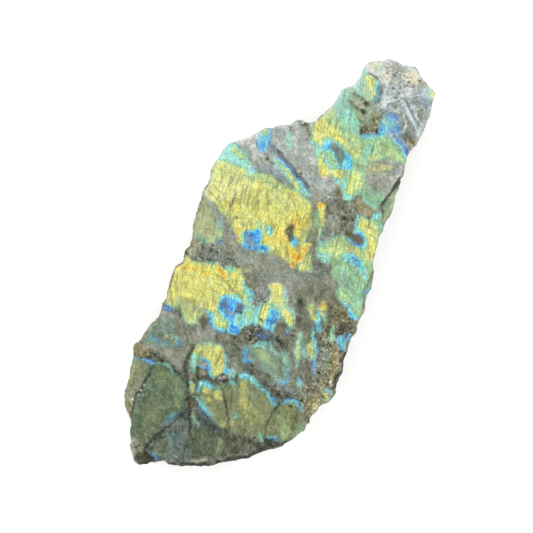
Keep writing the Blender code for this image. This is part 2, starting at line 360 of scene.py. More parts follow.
# The marks, each laid over the ones before it. First the tones of the stone where it doesn't flash.
GROUND: tuple[Mark, ...] = (
    Tone(area(-24, 52, -12, 46, 0, 40, 12, 36, 14, 28, 4, 26, -10, 30, -24, 28, -40, 33, -34, 44), GREY,
        0.9, 2.0),
    Tone(area(-22, 50, -12, 45, 0, 39, 10, 36, 8, 30, -10, 31, -26, 30, -40, 33, -32, 43), PALE, 0.65, 2.0),
    Tone(area(-34, 8, 40, 8, 40, -4, 12, -8, -12, -7, -36, -3), GREY, 0.7, 2.5),
    Tone(area(-8, 90, 22, 86, 22, 60, 8, 62, 0, 70, -4, 78), PALE, 1.0, 1.6),
    Tone(area(-8, 90, 12, 88, 14, 80, 6, 72, -2, 78), ASH, 0.25, 2.0),
    Tone(area(10, 83, 18, 82, 19, 74, 17, 70, 9, 74), VIOLET, 0.7, 2.0),
    Tone(area(-3.4, 78, 0, 77, 1.5, 71, 0, 69, -2, 72), SLATE, 0.8, 0.8),
    Tone(area(-12, 87, -4, 88, -3, 79, -1, 72, -3, 69.6, -10, 70, -13, 72), ASH, 0.9, 1.0),
    Tone(area(-18, 56, -15, 69, -11, 72, -8.6, 69.6, -8.4, 65, -4, 62, -1, 58.4, -9, 57), PALE, 0.8, 1.2),
    Tone(area(13, 85.6, 17.6, 85, 18.6, 82.4, 15.4, 81), ASH, 0.8, 0.6),
    Tone(area(-42, 31, -26, 27, -24, 20, -31, 9, -42, 9), WHITE, 0.85, 2.0),
    Tone(area(-1, -8, 1, -5, 6, -6, 12, -12, 15, -15, 9, -15, 3, -13), WHITE, 0.8, 1.0),
    Tone(area(5.2, 67, 6, 70.2, 8.8, 70.8, 12.6, 68, 13.8, 66.4, 11.4, 63.6, 8, 60.8, 6.4, 62.6), SLATE,
        0.5, 0.8),
    Tone(area(-16, 54, -11, 55, -9, 50, -10, 46, -14, 48), WHITE, 0.8, 1.2),
    Tone(dot(12.6, 11, 3.0, 2.4), ASH, 0.8, 1.0),
    Tone(area(-10, 70, 6, 70, 6.4, 60, 2, 57, -2, 60, -8, 64), GREY, 0.8, 1.4),
    Tone(area(3, 35, 13, 38, 21, 36, 17, 31, 17, 26, 22, 21, 13, 15, 9, 16, 6, 24, 1, 29), OLIVE, 0.9, 1.2),
    Tone(area(11, 36.6, 20.6, 36.4, 19.6, 32.4, 15.6, 32.2, 12, 33.4), TAN, 0.6, 0.8),
    Tone(area(13, 57, 23, 57, 21, 43, 9, 44, 9, 51), GREY, 0.9, 1.2),
    Tone(area(11, 12, 17, 12, 17, 4, 11, 2, 5, 1, 8, 6), SMOKE, 0.8, 1.5),
    Tone(area(14, 4, 24, 4, 36, -2, 37, -10, 24, -6, 12, -4), OLIVE, 0.8, 2.0),
    Tone(area(-38, -2, -30, -5, -18, -5, -12, -8, -24, -12, -34, -14), SMOKE, 0.75, 1.5),
    Tone(area(-4, -8, 2.4, -9, 2, -16, 0, -17.6, -4, -16), SMOKE, 1.0, 0.8),
    Tone(area(9, -2, 22, -8, 23, -22, 18, -28, 8, -26, 9, -17, 15, -18, 13, -12), OLIVE, 0.7, 1.5),
    Tone(area(-2, -22, 8, -22, 16, -22, 19, -27, 4, -28, 3, -33, -6, -33, -5, -30), DARK, 0.6, 1.2),
    Tone(area(22, -1, 36, -3, 38, -18, 41, -29, 38, -42, 30, -39, 25, -30, 22, -14), UMBER, 0.5, 2.0),
    Tone(area(24, -24, 27, -17, 31, -18.6, 33, -24, 34, -30, 32.6, -36, 31, -39, 27, -38, 25, -31), SMOKE,
        0.55, 2.0),
    Tone(area(-31, -34, -17, -36, -4, -31, 3, -33, 6, -39, 1, -40, -2, -35, -9, -36, -14, -44, -30, -38),
        GREY, 0.85, 1.0),
    Tone(area(5, -37, 13, -36, 24, -38, 31, -38, 30, -40, 26, -42, 20, -41.4, 14, -40, 6, -39.4), CHARCOAL,
        0.5, 0.8),
    Tone(area(-33, -52, -28, -49, -18, -46, -14, -43, -12, -48, -10, -52, -18, -50, -28, -54), GREY, 0.75,
        1.2),
    Tone(area(-24, -36, -16, -35, -14, -42, -22, -41), DARK, 0.4, 1.5),
    Tone(area(-32, -52, -22, -50, -8, -52, -4, -48, 6, -44, 14, -40, 38, -40, 44, -56, 40, -90, -40, -90),
        MOSS, 1.0, 1.5),
    Tone(area(-31, -55, -23.4, -54, -22.6, -66, -21, -74, -28, -72), OLIVE, 0.6, 0.8),
    Tone(area(-9, -32, 4, -33, 7, -38, 2, -40, -2, -35.2, -8, -35.2), DARK, 0.6, 0.8),
    Tone(area(6.6, -5, 11, -5, 12.6, -12, 9.6, -10), GREY, 0.8, 0.8),
    Tone(area(-5, -62, 0, -64, 3, -70, 8, -79, 0, -84, -9, -86, -9, -78, -6.4, -70), SLATE, 0.6, 1.0),
    Tone(area(2, -66, 9, -66, 15, -64, 22, -62, 28, -60, 22, -69, 12, -77, 4, -82, 8, -77), MOSS, 0.6, 1.2),
    Tone(area(0, -60, 8, -61, 12, -64, 4, -65, -1, -63), DEEP_SLATE, 1.0, 0.8),
    Tone(area(-12, -84, -4, -83, -4, -87, -9, -90, -13, -88), CHARCOAL, 0.8, 1.0),
)

# Where the stone is coarse: the pinch of the grey band, the speckled patches and the weathered right edge.
COARSE: tuple[Mark, ...] = (
    Grit(area(2, 34, 14, 35, 17, 31, 17, 25, 22, 23, 13, 16, 8, 17, 6, 24, 1, 30), 0.5, 1.6),
    Grit(area(-10, 70, 6, 70, 6.4, 61, 2, 57, -3, 61, -8, 64), 0.6, 1.4),
    Grit(area(-5, 86, 8, 90, 12, 86, 10, 82, 4, 76, -4, 79), 0.6, 1.6),
    Grit(area(8, 80, 18, 79, 19, 73, 14, 71, 6, 74), 0.45, 1.6),
    Grit(area(-34, -4.4, -16, -4, -12, -7, -24, -12, -34, -13), 0.5, 1.4),
    Grit(area(-5, -9, 2, -9, 2, -17, -3, -17), 0.55, 1.2),
    Grit(area(0, -23, 6, -23, 6, -29, 1, -30), 0.8, 1.0),
    Grit(area(10, -22, 17, -22, 17, -26, 10, -26), 0.6, 1.0),
    Grit(area(1, -44, 5.4, -45, 5, -48, 1.4, -48), 0.9, 0.8),
    Grit(area(-6, -57, -2.6, -57.4, -1, -63, -4, -64), 0.8, 0.8),
    Grit(area(25, -2, 36, -3, 38, -16, 42, -30, 38, -43, 28, -41, 29, -30, 26, -16), 0.75, 1.8),
    Grit(area(18, -38.6, 26, -39, 25, -43, 18, -41.6), 0.7, 0.8),
    Grit(area(-5, -64, 0, -64, 2, -70, -3, -72), 0.4, 1.6),
    Grit(area(-24, -58, -20.6, -58, -20, -70, -24, -70), 0.7, 0.8),
    Grit(area(-17, -82, -10, -82, -9, -90, -18, -88), 0.6, 0.8),
    Grit(area(-30, -50.6, -22, -50.4, -22, -54, -30, -54.6), 0.6, 0.8),
    Grit(area(-24, 53, -14, 53, -16, 48, -26, 45), 0.6, 1.2),
)

# The head of the slab: grey stone with healed cracks, and its small flashes.
HEAD: tuple[Mark, ...] = (
    Flare(area(-11, 80, -9.6, 75, -10.4, 72, -6, 69.6, -1, 70.2, -0.2, 71.2, -1.2, 74, -2.6, 76.8,
        -3.4, 78.4, -7, 78.4), ICE, GREEN, 3.0, 0.7, 0.6, 0.66),
    Flare(area(-8, 78.2, -4.2, 78.5, -3, 77.2, -2.4, 75.4, -3.6, 74.6, -6.4, 75.4, -8, 76.8), LIME, YELLOW,
        0.6, 0.9),
    Flare(line(2.2, -5, 76, -3.4, 74.2, -2, 71.8), LIME, YELLOW, 0.8, 0.7),
    Flare(line(0.9, -3.7, 78.5, -2.6, 76.4, -1.6, 74, -0.7, 72, -0.3, 70.8), DEEP_BLUE, CYAN, 0.5, 0.9),
    Flare(dot(-6.6, 83.9, 1.7, 0.9, -40), LIME, YELLOW, 0.5, 0.85),
    Flare(dot(-6.6, 81.3, 2.2, 0.8, -20), LIME, YELLOW, 0.5, 0.7),
    Flare(line(0.9, -5.8, 85, -5.0, 83.6, -4.3, 82.2), CYAN, ICE, 0.4, 0.9),
    Flare(line(1.4, -9.8, 80.4, -9.4, 78.6, -9, 77.4), CYAN, ICE, 0.8, 0.4),
    Flare(area(13.4, 85.2, 15.2, 85, 17.2, 84.2, 18.2, 82.6, 17.2, 81.6, 15.4, 81.4, 14.2, 82.8), CYAN, ICE,
        0.8, 0.6),
    Flare(area(15, 85.4, 17.4, 84.6, 18.4, 82.6, 17, 82.2, 15.8, 83.4), LIME, YELLOW, 0.5, 0.8),
    Tone(area(-5, 85.6, -3, 87.6, 6, 90, 10, 88.4, 13, 86.6, 11.4, 85, 5, 87, 0, 85.6, -3.4, 84), ASH, 0.7,
        0.8),
    Tone(area(3.2, 84.4, 4.4, 86, 5.8, 87.4, 8.2, 87.8, 9.8, 86.8, 10.2, 85, 9.4, 83.2, 8.2, 82.6, 6, 83,
        4, 83.4), CREAM, 0.9, 0.5),
    Tone(dot(5.6, 84.6, 1.7, 0.8), UMBER, 0.4, 0.5),
    Tone(area(-8.6, 80, -4, 79.6, 0.4, 78.4, 0, 76.8, -3, 78.2, -8, 78.8), ASH, 0.75, 0.5),
    Tone(area(-11, 80.6, -10, 83.4, -7.4, 86, -3, 86, -3.6, 82, -7, 79.8, -10.2, 79.2), WHITE, 0.9, 0.8,
        veil=0.25),
    Tone(area(-9.4, 80.8, -4, 80.8, 0.6, 79.6, 1.6, 77.2, -1, 77.6, -3, 79, -8, 79.5), WHITE, 0.75, 0.5),
    Tone(line(0.5, -8.2, 78.9, -5.6, 78.8, -3.8, 78.6, -3, 77.7), DARK, 0.9, 0.3, 0.2),
    Tone(area(-4, 82.4, 0, 82.8, 3, 81, 1.4, 78, -3.4, 79.4), CREAM, 0.4, 1.0),
    Tone(area(-4.4, 83, -3.6, 86, 0, 87, 3.4, 86.4, 3.6, 83.4, 0, 82.4), GREY, 0.55, 0.8),
    Grit(area(-4.4, 83, -3.6, 86.4, 0, 87.6, 3.4, 86.4, 3.6, 83.4, 0, 82.4), 0.85, 0.8),
    Tone(area(10, 72.4, 19, 79, 20.4, 74, 18, 67, 12, 68), GREY, 0.5, 1.4),
    Tone(area(5, 74.6, 9, 77.6, 12, 76.4, 9, 73.4), GREY, 0.6, 0.8),
    Tone(line(0.45, 5.4, 75.6, 8.6, 75.4, 11.6, 73.4, 14.8, 71.4, 18.6, 69), SLATE, 0.8, 0.3),
    Tone(line(0.4, 7, 77.4, 12, 76, 16, 74, 19.6, 71.4), SLATE, 0.6, 0.35),
    Tone(area(14.6, 81.6, 18.4, 81.2, 19.4, 77.4, 16.6, 78.2), VIOLET, 0.6, 0.9),
    Tone(line(0.6, 7.4, 74.6, 10.4, 73.6, 13.4, 71.4, 16.4, 69), SLATE, 0.5, 0.3),
    Tone(line(0.9, 6.2, 76.5, 10.3, 75, 13.9, 72.8, 17.8, 70.2), FROST, 1.0, 0.2),
    Tone(line(0.6, 9.6, 77.4, 12, 76.2, 14.8, 74.5, 19.6, 71.4), FROST, 0.95, 0.2),
    Tone(line(0.35, 9, 76.3, 12, 75, 15, 73.1, 18.4, 70.9), SLATE, 0.7, 0.2),
    Tone(area(4.8, 76, 6.6, 76, 9.8, 79, 12.4, 82.8, 11, 83, 7.4, 79.8), WHITE, 0.6, 0.8),
    Tone(line(1.0, 12.6, 84, 9.4, 80.4, 6.6, 77, 4.6, 73.6, 2, 69.4), FROST, 0.8, 0.35),
    Tone(line(0.6, 7, 75.2, 10.4, 74, 14.4, 71.8, 19.4, 69.4), FROST, 0.9, 0.25),
    Tone(dot(3, 82.2, 1.5, 0.9, 20), GREY, 0.7, 0.8),
    Tone(dot(17.4, 76, 1.4, 1.8, 20), SMOKE, 0.45, 0.9),
    Tone(line(0.45, 14, 82.6, 10.6, 79.4, 7.8, 76.6), FROST, 0.9, 0.2),
    Tone(line(0.4, 10.6, 83.6, 7.6, 79.6, 5, 76), GREY, 0.7, 0.3),
    Tone(line(0.45, 5.8, 74, 4.4, 71.4, 3, 68.6), SLATE, 0.7, 0.3),
    Tone(line(0.5, 3.4, 75.6, 2.2, 72.6, 0.8, 70), ASH, 0.6, 0.35),
    Tone(line(0.6, 5.4, 71, 5, 69, 4, 66.4, 3.6, 64), SLATE, 0.7, 0.4),
    Tone(dot(7.2, 73, 1.3, 0.9, -20), DARK, 0.6, 0.7),
    Tone(area(11, 72, 15, 71, 19, 68, 20, 65, 14, 64, 12, 67), SLATE, 0.6, 1.2),
    Tone(area(4, 82, 8, 81, 10, 77, 7, 74, 3, 77), VIOLET, 0.2, 1.2),
    Tone(dot(12.4, 79.4, 1.8, 1.0, -30), GREY, 0.6, 0.8),
    Tone(dot(15.4, 76.4, 1.9, 0.9, -30), GREY, 0.6, 0.8),
    Tone(dot(2.2, 84.2, 1.4, 0.7, -30), GREY, 0.6, 0.6),
    Tone(dot(-1.4, 83, 0.9, 0.6, 10), GREY, 0.6, 0.5),
    Tone(area(8.6, 82.6, 10.4, 87.4, 14, 86.2, 13.4, 83.4, 11, 80.6), GREY, 0.6, 1.0),
    Tone(dot(12.2, 78, 0.5, 0.4), CHARCOAL, 0.6, 0.3),
    Tone(dot(10.8, 68.4, 0.5, 0.5), CREAM, 0.9, 0.25),
    Tone(line(0.55, 11.8, 72.6, 12.8, 70.2, 13.8, 68, 14.8, 65.8), CREAM, 0.8, 0.3),
    Flare(area(-10, 71, -8, 70.4, -1, 69.8, 4, 66, 5, 60, 2, 57.4, -3, 61, -8, 64), GREEN, GREEN, 1.0, 0.2,
        2.0),
    Flare(line(2.6, -9, 69.6, -8, 66.4, -5, 63.8, -2.4, 61.6, 0, 59.4), TEAL, GREEN, 1.0, 0.3, 1.8),
    Flare(area(5.2, 67, 6, 70.2, 8.8, 70.8, 10.4, 69.6, 12.6, 68, 13.8, 66.4, 13, 64.6, 11.4, 63.6,
        10, 62.6, 8, 60.8, 7, 60.4, 6.4, 62.6, 5.2, 65), BLUE, CYAN, 1.6, 0.36, 1.2, 0.46),
    Flare(dot(7.6, 65.2, 2.0, 3.0, 10), CYAN, ICE, 1.6, 0.45, 1.2),
    Flare(line(2.0, 7, 64.4, 7.6, 62.4, 7.8, 60.8), BLUE, CYAN, 0.8, 0.8, 0.6, 0.85),
    Flare(dot(9.4, 69.6, 1.8, 0.9), DEEP_BLUE, DEEP_BLUE, 0.8, 0.5, 0.9),
    Flare(dot(12, 65.2, 1.6, 1.0, -30), BLUE, BLUE, 0.8, 0.6, 0.9),
    Flare(line(1.2, 11, 64.2, 13, 63, 16, 62.1, 17.6, 61.3, 19, 60.3, 20, 59.4), DEEP_BLUE, BLUE, 0.6, 0.9),
    Flare(area(17.6, 62.6, 19, 63, 20.2, 62.4, 20, 59.6, 18.6, 60.2), NAVY, DEEP_BLUE, 1.0, 0.8),
    Tone(area(14.6, 66.4, 17.6, 66.4, 17, 63.4, 13.6, 64), SLATE, 0.8, 0.5),
    Tone(line(0.65, 11.8, 72.9, 12.8, 70.6, 13.8, 68.4, 14.6, 66.4), CREAM, 0.9, 0.2),
    Tone(line(1.3, 17, 66, 18.4, 64.6, 20.4, 64.2), RUST, 0.8, 0.4),
    Tone(line(0.6, 18.6, 64.8, 20.2, 64.5), UMBER, 0.9, 0.3),
    Tone(dot(-2.6, 68.4, 1.2, 0.9), BLACK, 0.8, 0.4, 0.3),
    Tone(area(2.6, 68.4, 5, 67.6, 5.4, 63.6, 4.8, 60, 2, 56.8, 0, 58.6, -0.8, 60.4, 1.8, 62.4), UMBER, 0.5,
        1.0),
    Tone(area(0.2, 60.6, 3, 61.2, 3.4, 58.8, 1.8, 56.8, 0.2, 58.6), DARK, 0.6, 0.7),
    Tone(line(1.0, -9.4, 67.2, -7, 65.8, -4.8, 64.8, -1.6, 65), BLACK, 0.65, 0.5, 0.1),
    Tone(dot(-2, 65, 0.9, 0.5, -10), BLACK, 0.8, 0.4, 0.2),
    Tone(line(0.6, -9.8, 68.8, -7, 69.3, -4, 69.3, -1.2, 68.6), CHARCOAL, 0.65, 0.35),
    Tone(line(1.0, -3, 62.6, 0.6, 61, 1.2, 58.6, 2.4, 57.4), DARK, 0.6, 0.5),
    Tone(dot(6.1, 61.5, 0.5, 1.3, 16), BLACK, 1.0, 0.25, 0.4),
    Tone(dot(6.3, 60.2, 0.3, 0.4), CREAM, 0.8, 0.2),
    Tone(dot(7.1, 83.1, 0.4, 0.4), BLACK, 0.9, 0.3, 0.3),
    Tone(dot(7.4, 81.6, 0.5, 0.4), CHARCOAL, 0.9, 0.3, 0.3),
    Tone(dot(9.6, 85.5, 0.6, 0.4), UMBER, 0.9, 0.3, 0.2),
    Tone(dot(3.3, 78.3, 0.4, 0.4), CHARCOAL, 0.8, 0.3, 0.2),
    Tone(dot(5, 76, 0.6, 0.4), CHARCOAL, 0.7, 0.3, 0.1),
)

# The green and yellow field under the head, its blue-rimmed pockets and the gold tips.
UPPER_FIELD: tuple[Mark, ...] = (
    Flare(area(-18, 53.2, -16, 58, -14.6, 64, -14.4, 68.6, -11.6, 71.4, -9.6, 70.4, -9, 67, -7.4, 64.6,
        -4.6, 62.8, -2.2, 60.6, -0.4, 58.6, 1.4, 57.4, 3.6, 58.4, 7, 60.2, 11, 63.2, 13, 62.4, 16, 61.6,
        19, 60, 21, 58.6, 21.4, 56.2, 18, 55, 14, 54.2, 11, 52.4, 9.6, 50.4, 9.2, 48, 10.2, 45.4, 12, 43,
        15, 42.2, 18.6, 43.2, 20.3, 42, 20.6, 38, 19.6, 36.2, 17.6, 36, 14.6, 36.6, 12.6, 38.4, 11, 37,
        10.4, 35.6, 9.4, 34.2, 8, 33.8, 6.8, 35, 5.8, 37, 4.2, 37.2, 3.2, 37.7, 1.2, 38.4, 0, 39.2,
        -1.4, 38.6, -2.8, 37.1, -4, 36.9, -5, 38, -6.8, 40.4, -9, 42.6, -11.6, 44.4, -13.8, 47.2,
        -15.8, 52), TEAL, GREEN, 1.8, 0.75, 0.5, 0.8),
    Flare(area(-16, 57.6, -14.6, 64, -12, 69, -9.4, 68.4, -8.6, 64.6, -5, 62.6, -2, 60, 1, 57, -4, 56.8,
        -8, 58, -11, 57.4), TEAL, ICE, 2.2, 0.55, 1.4, 0.6),
    Flare(area(-15.6, 58, -14.6, 61, -11.6, 61, -9.4, 58.6, -10, 56, -14, 55.6), GREEN, LIME, 1.6, 0.7, 1.2,
        0.75),
    Flare(line(1.2, -11.8, 69.8, -10.8, 67.6, -10.2, 66), CYAN, ICE, 0.5, 0.7),
    Flare(area(-7.6, 62.6, -6, 63.6, -4.4, 62.2, -1.8, 61, -2.6, 59.8, -5, 60, -7, 61.2), TEAL, ICE, 0.8,
        0.85),
    Flare(area(-16.4, 55.4, -12, 56, -8, 54.8, -4, 54, 0, 54.4, 4, 52.4, 4.6, 49.6, 1, 50, -2, 50.6, -6, 51,
        -9, 50.8, -10, 49, -9.4, 46.8, -11, 46.4, -13, 47.4, -14.8, 50), LIME, YELLOW, 1.4, 0.85, 0.7, 1.0),
    Flare(area(-15.6, 54, -11, 54, -9.6, 51, -9.8, 47, -12, 47, -14.6, 50), YELLOW, YELLOW, 1.4),
    Flare(dot(-0.6, 54, 3.4, 1.6, -10), GREEN, LIME, 1.4, 0.6, 0.9, 0.7),
    Flare(dot(0.4, 52.2, 3.0, 1.8, -10), GREEN, GREEN, 1.4, 0.6, 0.9, 0.7),
    Tone(dot(0.6, 52, 2.6, 1.6, -10), OLIVE, 0.5, 1.2, veil=0.3),
    Flare(area(4.4, 57, 8, 57.4, 8.6, 52, 6.6, 47.6, 4.6, 49.6, 5, 53), GREEN, TEAL, 1.6, 0.7, 0.9, 0.75),
    Flare(area(7.6, 59, 12, 60, 16, 58.6, 19.4, 57.6, 17, 56, 12, 54.4, 9, 53.6, 7.4, 56), GREEN, LIME, 2.4,
        0.58, 0.8, 0.66),
    Flare(area(11.4, 62.2, 14, 61.8, 17.6, 60.6, 17.4, 59, 13.6, 59.4, 11.6, 60.4), TEAL, TEAL, 0.8, 0.6),
    Tone(area(11.6, 62, 14, 61.4, 18, 60, 17.4, 58.8, 13.6, 59.4, 11.6, 60.4), SLATE, 0.6, 0.8, veil=0.3),
    Flare(area(8.4, 55.4, 12, 55, 13, 53.2, 10, 51, 8, 52), LIME, YELLOW, 1.4, 0.6, 0.8, 0.65),
    Flare(line(1.3, -13.6, 46.6, -11.4, 45.2, -9, 43.6), CYAN, ICE, 0.6, 0.85),
    Flare(area(-9.8, 46, -7, 45.6, -3.6, 47, -1, 44.6, 0.8, 42.8, -2, 41, -5, 40.6, -8, 43.2), ICE, GREEN,
        1.4, 0.75, 0.5, 0.8),
    Flare(line(1.3, -5.4, 43.6, -4.6, 42.4, -4, 41.4), CYAN, ICE, 0.5, 0.9),
    Flare(area(-9.6, 50.2, -8.2, 50.4, -7, 48.8, -6, 47, -6, 45.6, -7.8, 45.4, -9, 46.8), CYAN, CYAN, 0.9,
        0.95, 0.8),
    Flare(line(1.1, -6.8, 49, -6.2, 47), BLUE, BLUE, 0.6, 0.8),
    Flare(line(2.6, -10.8, 79, -10.8, 75, -11.8, 71.6, -14.4, 68.4, -15, 64, -16.2, 58.6), ICE, ICE, 0.8,
        0.85, 1.0),
    Flare(area(-7, 50.4, -4, 50.6, -1.4, 49.8, 0.2, 48, 1.2, 45.4, 0.4, 43.6, -1, 43.8, -2.8, 45.8,
        -4.4, 47.2, -6.8, 47.6), BLUE, NAVY, 0.9, 0.9, 0.4, 0.1),
    Tone(area(-6.4, 49.6, -3.8, 50, -1, 49.2, 0.6, 47.6, 1.1, 45.4, 0.4, 43.9, -1.2, 44.6, -2.8, 46,
        -4.4, 47.2, -6.4, 48), SLATE, 0.85, 0.4),
    Flare(area(-0.2, 48.8, 1.6, 48.8, 3.3, 47.9, 4.2, 46, 4.2, 44.6, 2.8, 43.4, 1.2, 43, 1.1, 43.8,
        1.5, 45.4), BLUE, CYAN, 1.4, 0.9, 0.5),
    Flare(area(-8.4, 43.4, -7, 42.4, -5, 41.4, -3.2, 40.8, -1.2, 40.4, -1.6, 38.5, -2.8, 37.1, -4, 36.9,
        -5, 38, -6.6, 40.2), YELLOW, YELLOW, 1.4),
    Flare(dot(-4, 39, 1.7, 1.3, 30), YELLOW, YELLOW, 0.9),
    Flare(dot(-3, 37.5, 1.1, 0.4, 20), GOLD, ORANGE, 0.4, 0.7),
    Flare(dot(1.2, 41.3, 1.3, 0.6, 20), GOLD, GOLD, 0.5, 0.6),
    Flare(area(-1.2, 40.6, 0, 42.4, 1.8, 42.2, 3.4, 41, 2.2, 39.6, 0.4, 39.4), LIME, YELLOW, 0.8, 0.95),
    Tone(line(0.7, 0.8, 41.8, 2.4, 41.2, 3.2, 40.4), TAN, 0.6, 0.4),
    Flare(dot(2.4, 38.5, 1.1, 0.9, -10), CYAN, ICE, 0.5),
    Flare(line(1.0, 4.4, 40.4, 4.8, 38, 5.6, 36.6), DEEP_BLUE, BLUE, 0.5, 0.6),
    Flare(area(4, 43.4, 6, 46, 8.4, 46.8, 11, 44, 11.6, 41, 10.8, 38.6, 10.6, 35.6, 9.4, 34.1, 8, 33.7,
        6.8, 35, 5.8, 37, 5, 39.6), TEAL, LIME, 1.6, 0.9, 0.6, 0.95),
    Flare(dot(8, 42.4, 1.6, 2.6, 10), LIME, LIME, 1.2, 0.6, 0.8),
    Flare(dot(8.7, 35.2, 1.8, 1.4), CYAN, ICE, 0.6, 0.9),
    Flare(area(11.6, 43, 15, 42.6, 18.8, 43.4, 20.4, 42, 20.4, 36.4, 17.6, 36, 14.6, 36.6, 12.4, 38.6),
        TEAL, TEAL, 1.4, 0.5, 0.8, 0.35),
    Tone(area(12, 39, 15, 37, 20.4, 36.6, 20.4, 40, 15, 40.6), DARK, 0.5, 1.4, veil=0.3),
    Tone(area(11.2, 44.4, 20.6, 44, 20.4, 42.2, 16, 41, 12.4, 40.2), GREY, 0.7, 1.0, veil=0.55),
    Flare(line(1.2, 14.6, 37.4, 17, 36.8, 20, 37), CYAN, TEAL, 0.8, 0.4),
    Tone(area(22, 57, 18, 55, 14, 54.2, 11, 52.4, 9.6, 49.6, 9.6, 46.2, 11.4, 43.6, 16, 44.4, 21, 44,
        21, 50), GREY, 0.85, 1.0),
    Tone(area(21, 56, 15, 52.6, 13, 47, 16, 45, 21, 45), PALE, 0.4, 1.4),
    Flare(line(1.7, 8.8, 46.8, 11, 48.4, 13.2, 50, 15.4, 51.2, 17.4, 52.5), LIME, YELLOW, 0.8, 0.5, 0.5),
    Tone(line(1.0, 4.4, 46.9, 6.4, 47.2, 8.6, 48.3), SLATE, 0.5, 0.6),
    Tone(line(1.4, 13.4, 53.4, 16.4, 54.6, 19.6, 56), PALE, 0.5, 0.8),
    Flare(line(0.9, 8.2, 48.4, 10.4, 49.8, 13.6, 51.8), GREEN, LIME, 0.4, 0.4, 0.5),
    Flare(line(0.7, 9, 45.2, 12, 47, 14.4, 48.4, 16.6, 49.6), LIME, LIME, 0.4, 0.35, 0.4),
    # Painted highlight: a cream line along the top edge of the step down to the ledge.
    Tone(line(0.8, 21.6, 52.6, 20.7, 49.4, 20.3, 45.4, 20.3, 41.6), CREAM, 0.55, 0.5),
    Tone(area(-16.4, 57, -15, 68, -11, 72, -9, 69, -8.6, 60, -12, 57.6), ASH, 0.6, 1.2, veil=0.3),
    Tone(line(0.9, -18.4, 51, -16.4, 49.4, -15, 47.4), UMBER, 0.7, 0.5, 0.15),
    Tone(line(0.35, -15, 53.4, -10, 52.6, -6, 51.4), DARK, 0.4, 0.3),
    Tone(area(-1, 60.4, 2, 61.6, 3.4, 58.8, 1.8, 56.6, 0.2, 58), DARK, 0.8, 0.5),
    Tone(line(2.0, 2, 56.8, 3.6, 58, 5.4, 59.6, 6.2, 60.6), SLATE, 0.7, 0.9, veil=0.5),
    Flare(line(1.9, 2, 56.6, 3.6, 57.7, 5.4, 59.3, 6.4, 60.6), BLUE, CYAN, 0.9, 0.5, 0.7, 0.55),
    Flare(dot(-12, 51.2, 2.8, 2.4), YELLOW, YELLOW, 1.0, 0.5),
    Flare(dot(10, 57, 4.6, 3.6), TEAL, TEAL, 1.4, 0.2),
    Flare(dot(-4, 41, 0.9, 0.7), YELLOW, YELLOW, 0.3, 0.7),
)

# The lower ledge beside the head and the broken strip along the upper left shoulder.
SHOULDERS: tuple[Mark, ...] = (
    Tone(area(20.8, 49.4, 22.6, 53, 24, 48, 25.8, 40, 26.6, 31, 24.6, 32.6, 22, 36.6, 20.8, 40, 20.5, 45),
        OLIVE, 0.9, 0.3),
    Flare(area(21.6, 46, 23.6, 47.4, 25, 42, 25.8, 36, 25.6, 32.4, 23.6, 35.4, 22, 39), TEAL, GREEN, 0.8),
    Flare(line(1.3, 22.8, 50, 23.6, 46.4, 24.3, 42.4, 25, 38.4, 25.4, 34), LIME, YELLOW, 0.5),
    Tone(line(1.2, 23, 48.6, 24, 44.6, 24.6, 41.6), SMOKE, 0.3, 0.6, veil=0.1),
    # Painted shade: a black line, then a dark one, along the step down to the ledge, where its wall lies in
    # shade.
    Tone(line(0.8, 22, 50.8, 21.2, 48.6, 21.1, 45.4, 21.1, 42, 21.6, 38.8), BLACK, 0.8, 0.35),
    Tone(line(0.5, 21.4, 38.8, 22.4, 36.6, 24, 34, 25.6, 31.4), DARK, 0.8, 0.3),
    Tone(area(-27.6, 44.6, -23, 48.4, -19, 51.8, -15.6, 53.4, -15.4, 51.6, -20, 48.8, -25, 44.6), ASH, 0.5,
        0.8),
    Tone(area(-38, 32.4, -35, 36, -31, 40, -29, 34, -26, 33, -28, 28.6, -31, 31.2, -35, 31.6), ASH, 0.5,
        1.0),
    Tone(area(-38, 32.4, -35, 36, -32.6, 39.6, -31.4, 39.4, -33, 35.4, -35.4, 32.8), CREAM, 0.6, 0.6),
    Tone(dot(-18.2, 50.4, 1.0, 0.7, 40), CHARCOAL, 0.7, 0.4, 0.2),
    Tone(dot(-22.8, 47.4, 0.8, 0.6), CHARCOAL, 0.6, 0.4, 0.2),
)

